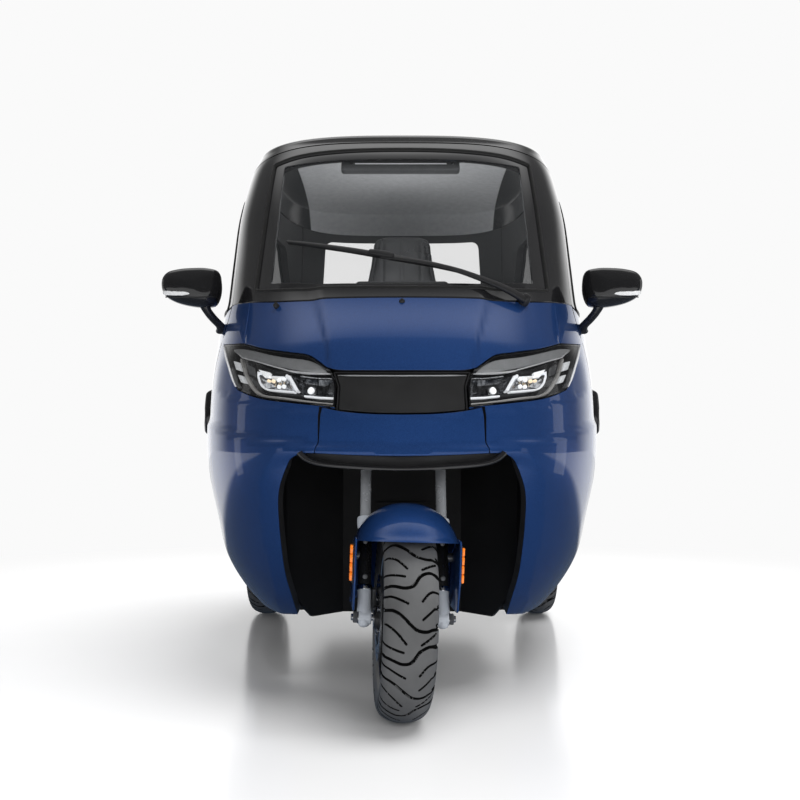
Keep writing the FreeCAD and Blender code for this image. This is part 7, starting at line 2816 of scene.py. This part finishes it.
# back with its head restraint, one stuffed form
mb = MB()
th_ = np.linspace(0, 2 * PI, 64, endpoint=False)
c_, s_ = np.cos(th_), np.sin(th_)
sx_ = np.sign(c_) * np.abs(c_) ** (2 / 3.4)
sy_ = np.sign(s_) * np.abs(s_) ** (2 / 3.0)
rings = []
zz = np.concatenate([np.linspace(0.513, 0.545, 5), np.linspace(0.56, 1.385, 42),
                     1.385 + 0.034 * np.sin(np.linspace(0.15, PI / 2 - 0.02, 9))])
for z in zz:
    w = float(np.interp(z, SEAT_W[:, 0], SEAT_W[:, 1]))
    t = 0.0405 - 0.008 * sstep(1.05, 1.25, z) - 0.004 * sstep(0.545, 0.513, z)
    if z > 1.385:
        k = math.sqrt(max(0.0, 1 - ((z - 1.385) / 0.0345) ** 2))
        w = w * (0.66 + 0.34 * k)
        t = t * (0.12 + 0.88 * k)
    y0 = 0.0475 + 0.004 * math.sin((z - 0.515) / 0.5 * PI)
    rings.append(np.stack([w * sx_, y0 + t * sy_, np.full(64, z)], 1))
mb.loft([seat_xf(r) for r in rings])
back = mb.done("seat_back", [LEATHER], "body", ("driver_seat",))
puff(back, 0.0100, 0.007)


def back_form(P_, N_):
    q = seat_un(P_)
    x, z = np.abs(q[:, 0]), q[:, 2]
    w = np.interp(z, SEAT_W[:, 0], SEAT_W[:, 1])
    front = sstep(0.3, 0.8, -N_[:, 1])
    rear = sstep(0.3, 0.8, N_[:, 1])
    low = sstep(0.545, 0.57, z) * sstep(1.135, 1.115, z)
    head = sstep(1.180, 1.195, z) * sstep(1.400, 1.380, z)
    inner = 0.135 * np.ones_like(z)
    d = front * low * (0.010 * sstep(0.120, 0.185, x) * sstep(0.235, 0.20, x))
    d += front * low * sstep(inner, inner - 0.008, x) * pleats(q[:, 0], 0.045, 0.0045, 0.0050)
    d += front * groove(x - inner, 0.0045, 0.0055) * low
    d += front * groove(z - 1.155, 0.0060, 0.0070)
    d += front * head * sstep(w - 0.018, w - 0.030, x) * pleats(q[:, 0], 0.068, 0.0050, 0.0034)
    d += front * head * groove(x - (w - 0.022), 0.0040, 0.0045)
    d += rear * groove(z - 1.155, 0.0050, 0.0040)
    d += (1 - front) * (1 - rear) * groove(q[:, 1] - 0.050, 0.0040, 0.0045)
    return d


carve(back, back_form)

mb = MB()
mb.rbox((-0.225, 0.815, 0.443), (0.225, 1.150, 0.470), 0.008)
mb.rbox((-0.205, 1.085, 0.455), (0.205, 1.180, 0.540), 0.012)
for sx in (-1, 1):
    mb.tube([(sx * 0.238, 1.085, 0.475), (sx * 0.242, 1.12, 0.505), (sx * 0.240, 1.150, 0.565),
             (sx * 0.236, 1.178, 0.640)], 0.011, n=12, m=1, wide=1.5)
mb.done("seat_frame", [TRIM, DARKMET], "body", ("driver_seat",))

# ---- bench behind
mb = MB()
mb.rbox((-0.392, 1.360, 0.606), (0.392, 1.655, 0.682), 0.026, seg=5)
bc = mb.done("bench_cushion", [LEATHER], "body", ("rear_seat",))
puff(bc, 0.0112, 0.008)


def bench_form(P_, N_):
    x, u = P_[:, 0], P_[:, 1]
    top = sstep(0.25, 0.75, N_[:, 2])
    d = top * 0.005 * (1 - (np.abs(x) / 0.40) ** 2)
    fld = sstep(1.388, 1.398, u)
    d += top * fld * sstep(0.352, 0.344, np.abs(x)) * sstep(0.020, 0.026, np.abs(x)) \
        * pleats(x, 0.058, 0.0050, 0.0050)
    d += top * groove(u - 1.390, 0.005, 0.006)
    d += top * groove(x, 0.006, 0.008)
    d += top * groove(np.abs(x) - 0.352, 0.005, 0.006)
    d += (1 - top) * groove(P_[:, 2] - 0.650, 0.0045, 0.004) * sstep(0.6, 0.3, np.abs(N_[:, 2]))
    return d


carve(bc, bench_form)

mb = MB()
prof = rounded_poly([(1.650, 0.612), (1.705, 1.108), (1.762, 1.108), (1.752, 0.612)], 0.022)
mb.plate(prof, ((-0.390, 0, 0), (0, 1, 0), (0, 0, 1), (1, 0, 0)), 0.0, 0.780, r=0.014)
bb = mb.done("bench_back", [LEATHER], "body", ("rear_seat",))
puff(bb, 0.0120, 0.006)


def bench_back_form(P_, N_):
    x, z = P_[:, 0], P_[:, 2]
    front = sstep(0.3, 0.8, -N_[:, 1])
    d = front * 0.006 * (1 - (np.abs(x) / 0.40) ** 2)
    d += front * sstep(0.70, 0.71, z) * sstep(1.055, 1.045, z) \
        * sstep(0.352, 0.344, np.abs(x)) * sstep(0.020, 0.026, np.abs(x)) \
        * pleats(x, 0.058, 0.0050, 0.0050)
    d += front * groove(z - 1.058, 0.005, 0.006)
    d += front * groove(x, 0.006, 0.008)
    d += front * groove(np.abs(x) - 0.352, 0.005, 0.006)
    return d


carve(bb, bench_back_form)

# ---- lamp and visor panel under the roof's front edge; its pale strip glows as a painted reflection
uz0, uz1 = float(u_front(0.0, 1.46)), float(u_front(0.0, 1.53))
du_, dz_ = uz1 - uz0, 0.07
ln__ = math.hypot(du_, dz_)
bdir = np.array([0.0, du_ / ln__, dz_ / ln__])
cdir = np.array([0.0, dz_ / ln__, -du_ / ln__])
u_p = float(u_front(0.0, 1.505)) + 0.050
s_p = 1075.0 / (2.5 + u_p)
x0_, x1_ = (342.0 - 402.0) / s_p, (459.0 - 402.0) / s_p
zb_ = 0.65 + (440.0 - 173.4) / s_p
zt_ = 0.65 + (440.0 - 155.0) / s_p
o_ = np.array([0.0, float(u_front(0.0, zb_)) + 0.045, zb_])
hh_ = (zt_ - zb_) / bdir[2]
mb = MB()
ol = rounded_poly([(x0_, 0.0), (x1_, 0.0), (x1_, hh_), (x0_, hh_)], 0.014)
mb.plate(ol, (o_, (1, 0, 0), bdir, cdir), 0.0, 0.022, r=0.005)
zs_ = 0.65 + (440.0 - 167.2) / s_p
hs_ = (zs_ - zb_) / bdir[2]
xs0, xs1 = (355.5 - 402.0) / s_p, (446.0 - 402.0) / s_p
sl = rounded_poly([(xs0, hs_ - 0.0022), (xs1, hs_ - 0.0022), (xs1, hs_ + 0.0022),
                   (xs0, hs_ + 0.0022)], 0.0020)
# pale strip across the panel in the glowing strip material: a painted reflection
mb.plate(sl, (o_, (1, 0, 0), bdir, -cdir), -0.001, 0.0016, r=0.0006, m=1)
for px_ in (352.0, 452.0):
    xc_ = (px_ - 402.0) / s_p
    mb.lathe([(-0.001, 0.0040), (0.0014, 0.0040), (0.0022, 0.0030), (0.0024, 0.0001)],
             o_ + bdir * hs_ + np.array([xc_, 0, 0]), -cdir, n=20, m=2, closed=False)
# two stays up to the roof
for sx in (-0.11, 0.11):
    mb.tube([o_ + bdir * (hh_ - 0.010) + cdir * 0.010 + np.array([sx, 0, 0]),
             o_ + bdir * (hh_ + 0.020) + cdir * 0.030 + np.array([sx, 0, 0])], 0.006, n=10, m=0)
mb.done("visor_panel", [PANELGREY, STRIP, SILVER], "body", ())

# ---- dashboard details; the shelf itself is the fixed one
mb = MB()
mb.plate(rounded_poly([(-0.118, 1.006), (0.118, 1.006), (0.118, 1.078), (-0.118, 1.078)], 0.012),
         ((0, 0.545, 0), (1, 0, 0), (0, 0, 1), (0, 1, 0)), -0.004, 0.0012, r=0.0008)
mb.plate(rounded_poly([(-0.104, 1.014), (0.104, 1.014), (0.104, 1.070), (-0.104, 1.070)], 0.007),
         ((0, 0.5458, 0), (1, 0, 0), (0, 0, 1), (0, 1, 0)), -0.001, 0.0009, r=0.0004, m=1)
for sx in (-1, 1):
    # round outlets on the shelf's rear edge
    o2 = np.array([sx * 0.262, 0.389, 1.0144])
    ax2 = np.array([0.0, 0.45, 0.89])
    mb.lathe([(-0.006, 0.022), (0.005, 0.022), (0.007, 0.0200), (0.005, 0.0170), (-0.006, 0.0170)],
             o2, ax2, n=36)
    for k in (-0.008, 0.0, 0.008):
        r_ = math.sqrt(0.0170 ** 2 - k * k)
        mb.tube([o2 + np.array([-r_, 0, 0]) + np.array([0, k * 0.89, -k * 0.45]),
                 o2 + np.array([r_, 0, 0]) + np.array([0, k * 0.89, -k * 0.45])], 0.0022, n=8,
                m=0, wide=0.5)
    for k in range(3):
        mb.rbox((sx * 0.150 + (k - 1) * 0.024 - 0.009 + sx * 0.020, 0.352, 1.008),
                (sx * 0.150 + (k - 1) * 0.024 + 0.009 + sx * 0.020, 0.372, 1.0155), 0.002, m=0)
mb.done("dash_details", [TRIM, DISPLAY], "body", ())
give("dashboard", SOFTDASH)

# ---- battery block under the seat
mb = MB()
mb.rbox((-0.198, 0.874, 0.214), (0.198, 1.196, 0.405), 0.008)
mb.rbox((-0.200, 0.871, 0.409), (0.200, 1.199, 0.440), 0.007)
for k in range(8):
    xc = -0.168 + k * 0.048
    mb.rbox((xc - 0.007, 0.8705, 0.235), (xc + 0.007, 0.880, 0.385), 0.003)
    mb.rbox((xc - 0.007, 1.190, 0.235), (xc + 0.007, 1.1995, 0.385), 0.003)
for sx in (-1, 1):
    for k in range(6):
        uc = 0.912 + k * 0.048
        a, b = sorted((sx * 0.190, sx * 0.1995))
        mb.rbox((a, uc - 0.007, 0.235), (b, uc + 0.007, 0.385), 0.003)
    mb.tube([(sx * 0.2005, 0.965, 0.425), (sx * 0.213, 0.985, 0.424), (sx * 0.213, 1.085, 0.424),
             (sx * 0.2005, 1.105, 0.425)], 0.0055, n=10, m=1)
for sx, m_ in ((-0.12, 2), (0.12, 1)):
    mb.lathe([(-0.003, 0.011), (0.004, 0.011), (0.0055, 0.009), (0.006, 0.0001)],
             (sx, 0.868, 0.425), (0, -1, 0), n=24, m=m_, closed=False)
mb.done("battery_case", [CASEGREY, TRIM, COPPER], "body", ("battery_pack",))

# ---- driven axle behind: finned case, beam, drums and coil springs
UA, ZA = 1.55, 0.236
mb = MB()
mb.lathe([(-0.104, 0.035), (-0.104, 0.060), (-0.096, 0.074), (-0.082, 0.080), (0.010, 0.082),
          (0.060, 0.083), (0.090, 0.076), (0.102, 0.058), (0.104, 0.035)],
         (0, UA, ZA), (1, 0, 0), n=56)
for k in range(9):
    xc = -0.072 + k * 0.0135
    mb.lathe([(-0.0022, 0.078), (-0.0022, 0.0895), (0.0, 0.0912), (0.0022, 0.0895),
              (0.0022, 0.078)], (xc, UA, ZA), (1, 0, 0), n=56)
for k in range(8):
    a = 2 * PI * k / 8
    mb.lathe([(-0.002, 0.0065), (0.006, 0.0065), (0.008, 0.005), (0.008, 0.0001)],
             (0.098, UA + 0.064 * math.cos(a), ZA + 0.064 * math.sin(a)), (1, 0, 0), n=6, m=2,
             closed=False)
for sx in (-1, 1):
    mb.lathe([(0.100, 0.029), (0.130, 0.040), (0.150, 0.030), (0.300, 0.0285), (0.430, 0.0285),
              (0.438, 0.034), (0.442, 0.034)], (0, UA, ZA), (sx, 0, 0), n=36, closed=False)
    mb.lathe([(0.440, 0.012), (0.532, 0.012), (0.5345, 0.009), (0.535, 0.0001)],
             (0, UA, ZA), (sx, 0, 0), n=28, m=2, closed=False)
    # saddle that carries the spring
    mb.rbox((sx * 0.330 - 0.030, UA - 0.034, ZA - 0.032), (sx * 0.330 + 0.030, UA + 0.034, ZA + 0.040),
            0.007)
mb.done("axle_casting", [CAST, DARKMET, STEEL], "body", ("rear_axle",))
mb = MB()
for sx in (-1, 1):
    t = np.linspace(0, 1, 220)
    turns = 6.5
    z_ = ZA + 0.052 + (0.566 - ZA - 0.052) * t
    a_ = 2 * PI * turns * t
    path = np.stack([sx * 0.330 + 0.0245 * np.cos(a_), UA + 0.0245 * np.sin(a_), z_], 1)
    mb.tube(path, 0.0048, n=10, m=0)
    mb.lathe([(0.0, 0.0305), (0.004, 0.0305), (0.006, 0.028), (0.008, 0.012)],
             (sx * 0.330, UA, ZA + 0.040), (0, 0, 1), n=32, m=1, closed=False)
    mb.lathe([(0.0, 0.012), (0.004, 0.028), (0.006, 0.0305), (0.014, 0.0305)],
             (sx * 0.330, UA, 0.567), (0, 0, 1), n=32, m=1, closed=False)
    mb.lathe([(0.0, 0.0150), (0.16, 0.0150), (0.165, 0.013), (0.166, 0.0075), (0.33, 0.0075)],
             (sx * 0.330, UA, ZA + 0.044), (0, 0, 1), n=24, m=1, closed=False)
mb.done("rear_springs", [DARKMET, GALV], "body", ("rear_axle",))

# ------------------------------------------------------------------ stage, lights, camera
bpy.context.scene.view_settings.view_transform = "Standard"
bpy.context.scene.view_settings.look = "None"


def stage_floor():
    m, nt, b = node_mat("studio_floor")
    n = tex_noise(nt, 1.3, 2.0)
    r = ramp(nt, n.outputs["Fac"], [(0.3, (0.86, 0.86, 0.865)), (0.7, (0.875, 0.875, 0.88))])
    nt.links.new(r.outputs["Color"], b.inputs["Base Color"])
    r2 = ramp(nt, n.outputs["Fac"], [(0.3, 0.17), (0.7, 0.20)])
    nt.links.new(r2.outputs["Color"], b.inputs["Roughness"])
    b.inputs["Specular IOR Level"].default_value = 0.35
    b.inputs["Emission Color"].default_value = (1.0, 1.0, 1.0, 1.0)
    b.inputs["Emission Strength"].default_value = 0.02
    # dimmer where gloss mirrors it, as a studio's dark walls would be
    out = [n_ for n_ in nt.nodes if n_.type == "OUTPUT_MATERIAL"][0]
    dim = nt.nodes.new("ShaderNodeEmission")
    dim.inputs["Color"].default_value = (0.40, 0.62, 1.0, 1.0)
    dim.inputs["Strength"].default_value = 0.10
    lp = nt.nodes.new("ShaderNodeLightPath")
    k_ = nt.nodes.new("ShaderNodeMath")
    k_.operation = "MULTIPLY"
    k_.inputs[1].default_value = 0.80
    nt.links.new(lp.outputs["Is Glossy Ray"], k_.inputs[0])
    geo = nt.nodes.new("ShaderNodeNewGeometry")
    sp_ = nt.nodes.new("ShaderNodeSeparateXYZ")
    nt.links.new(geo.outputs["Position"], sp_.inputs[0])
    far = nt.nodes.new("ShaderNodeMapRange")
    far.interpolation_type = "SMOOTHSTEP"
    far.inputs["From Min"].default_value = -1.7
    far.inputs["From Max"].default_value = -0.8
    far.inputs["To Min"].default_value = 0.15
    far.inputs["To Max"].default_value = 0.95
    nt.links.new(sp_.outputs["Y"], far.inputs["Value"])
    near_ = nt.nodes.new("ShaderNodeMapRange")
    near_.interpolation_type = "SMOOTHSTEP"
    near_.inputs["From Min"].default_value = 1.7
    near_.inputs["From Max"].default_value = 2.8
    near_.inputs["To Min"].default_value = 1.0
    near_.inputs["To Max"].default_value = 0.0
    nt.links.new(sp_.outputs["Y"], near_.inputs["Value"])
    both_ = nt.nodes.new("ShaderNodeMath")
    both_.operation = "MULTIPLY"
    nt.links.new(far.outputs["Result"], both_.inputs[0])
    nt.links.new(near_.outputs["Result"], both_.inputs[1])
    nt.links.new(both_.outputs[0], k_.inputs[1])
    # far away the floor runs into the backdrop without a line
    ln_ = nt.nodes.new("ShaderNodeVectorMath")
    ln_.operation = "LENGTH"
    nt.links.new(geo.outputs["Position"], ln_.inputs[0])
    run = nt.nodes.new("ShaderNodeMapRange")
    run.interpolation_type = "SMOOTHSTEP"
    run.inputs["From Min"].default_value = 1.7
    run.inputs["From Max"].default_value = 3.4
    nt.links.new(ln_.outputs["Value"], run.inputs["Value"])
    back = nt.nodes.new("ShaderNodeEmission")
    back.inputs["Color"].default_value = (1.0, 1.0, 1.0, 1.0)
    back.inputs["Strength"].default_value = 0.956
    mb_ = nt.nodes.new("ShaderNodeMixShader")
    nt.links.new(run.outputs["Result"], mb_.inputs[0])
    nt.links.new(b.outputs[0], mb_.inputs[1])
    nt.links.new(back.outputs[0], mb_.inputs[2])
    mx = nt.nodes.new("ShaderNodeMixShader")
    nt.links.new(k_.outputs[0], mx.inputs[0])
    nt.links.new(mb_.outputs[0], mx.inputs[1])
    nt.links.new(dim.outputs[0], mx.inputs[2])
    nt.links.new(mx.outputs[0], out.inputs["Surface"])
    me = bpy.data.meshes.new("floor")
    S_ = 14.0
    me.from_pydata([(-S_, -9.0, 0), (S_, -9.0, 0), (S_, 22.0, 0), (-S_, 22.0, 0)], [],
                   [(0, 1, 2, 3)])
    me.materials.append(m)
    ob = bpy.data.objects.new("studio_floor", me)
    bpy.context.scene.collection.objects.link(ob)
    return ob


stage_floor()


def area_light(name, loc, target, size, power, color=(1, 1, 1), spread=180):
    ld = bpy.data.lights.new(name, "AREA")
    ld.shape = "RECTANGLE"
    ld.size, ld.size_y = size
    ld.energy = power
    ld.color = color
    ld.spread = math.radians(spread)
    ob = bpy.data.objects.new(name, ld)
    ob.location = loc
    d = Vector(target) - Vector(loc)
    ob.rotation_euler = d.to_track_quat("-Z", "Y").to_euler()
    bpy.context.scene.collection.objects.link(ob)
    return ob


LIGHTS = [
    # name, place, aim, size, power, seen in gloss
    ("side_right", (3.1, 0.75, 1.0), (0.5, -0.3, 0.60), (0.55, 1.9), 2.0, True),
    ("side_left", (-3.1, 1.05, 1.0), (-0.5, -0.3, 0.60), (0.45, 1.9), 1.3, True),
    ("front_right", (3.0, -1.9, 1.9), (0.5, -0.4, 0.70), (0.9, 0.9), 14, False),
    ("front_soft", (0.5, -5.0, 1.7), (0.0, -0.4, 0.6), (2.6, 1.6), 92, False),
]
for nm_, lc_, tg_, sz_, pw_, gl_ in LIGHTS:
    lo_b = area_light(nm_, lc_, tg_, sz_, pw_)
    lo_b.visible_glossy = gl_
cab = area_light("cabin_fill", (0.0, 0.12, 1.12), (0.0, 0.34, 1.60), (0.5, 0.5), 3.4)
cab.visible_glossy = True
sun_d = bpy.data.lights.new("overhead", "SUN")
sun_d.energy = 2.38
sun_d.angle = math.radians(42)
sun_o = bpy.data.objects.new("overhead", sun_d)
sun_o.rotation_euler = Vector((-0.30, 0.08, -1.0)).to_track_quat("-Z", "Y").to_euler()
sun_o.visible_glossy = False
bpy.context.scene.collection.objects.link(sun_o)


def studio_world():
    w = bpy.data.worlds.new("studio")
    bpy.context.scene.world = w
    w.use_nodes = True
    nt = w.node_tree
    bg = nt.nodes["Background"]
    tc = nt.nodes.new("ShaderNodeTexCoord")
    sep = nt.nodes.new("ShaderNodeSeparateXYZ")
    nt.links.new(tc.outputs["Generated"], sep.inputs[0])

    def mr(src, a, b, lo, hi, kind="SMOOTHSTEP"):
        m = nt.nodes.new("ShaderNodeMapRange")
        m.interpolation_type = kind
        m.inputs["From Min"].default_value = a
        m.inputs["From Max"].default_value = b
        m.inputs["To Min"].default_value = lo
        m.inputs["To Max"].default_value = hi
        nt.links.new(src, m.inputs["Value"])
        return m.outputs["Result"]

    def op(kind, a, b):
        m = nt.nodes.new("ShaderNodeMath")
        m.operation = kind
        nt.links.new(a, m.inputs[0])
        if isinstance(b, float):
            m.inputs[1].default_value = b
        else:
            nt.links.new(b, m.inputs[1])
        return m.outputs[0]
    # pale all round where it is seen; what lights the car is bright behind it, dim in front
    back = mr(sep.outputs["Y"], 0.68, 0.985, 0.085, 1.30)
    up = mr(sep.outputs["Z"], 0.10, 0.80, 0.0, 0.05)
    hi = mr(sep.outputs["Z"], 0.62, 0.86, 0.0, 1.0)
    hb = mr(sep.outputs["Y"], 0.12, 0.44, 0.0, 0.85)
    tot = op("ADD", op("ADD", back, up), op("MULTIPLY", hi, hb))
    tot = op("MINIMUM", tot, 1.6)
    lp = nt.nodes.new("ShaderNodeLightPath")
    keep = op("SUBTRACT", lp.outputs["Is Camera Ray"], 0.0)
    inv = nt.nodes.new("ShaderNodeMath")
    inv.operation = "SUBTRACT"
    inv.inputs[0].default_value = 1.0
    nt.links.new(keep, inv.inputs[1])
    seen = op("MULTIPLY", keep, 0.956)
    # that pattern is for gloss only; matt surfaces get an even light
    gl = op("MULTIPLY", lp.outputs["Is Glossy Ray"], tot)
    ng = nt.nodes.new("ShaderNodeMath")
    ng.operation = "SUBTRACT"
    ng.inputs[0].default_value = 1.0
    nt.links.new(lp.outputs["Is Glossy Ray"], ng.inputs[1])
    ev = op("MULTIPLY", ng.outputs[0], 0.30)
    rest = op("MULTIPLY", op("ADD", gl, ev), inv.outputs[0])
    nt.links.new(op("ADD", seen, rest), bg.inputs["Strength"])
    bg.inputs["Color"].default_value = (1.0, 1.0, 1.0, 1.0)


studio_world()

cam_d = bpy.data.cameras.new("camera")
cam_d.sensor_width = 36.0
cam_d.lens = 48.375
cam_d.shift_x = -0.0025
cam_d.shift_y = 0.05
cam_d.clip_start = 0.05
cam_d.clip_end = 100.0
cam = bpy.data.objects.new("camera", cam_d)
cam.location = (0.0, -3.394, 0.65)
cam.rotation_euler = (math.radians(90), 0.0, 0.0)
bpy.context.scene.collection.objects.link(cam)
bpy.context.scene.camera = cam
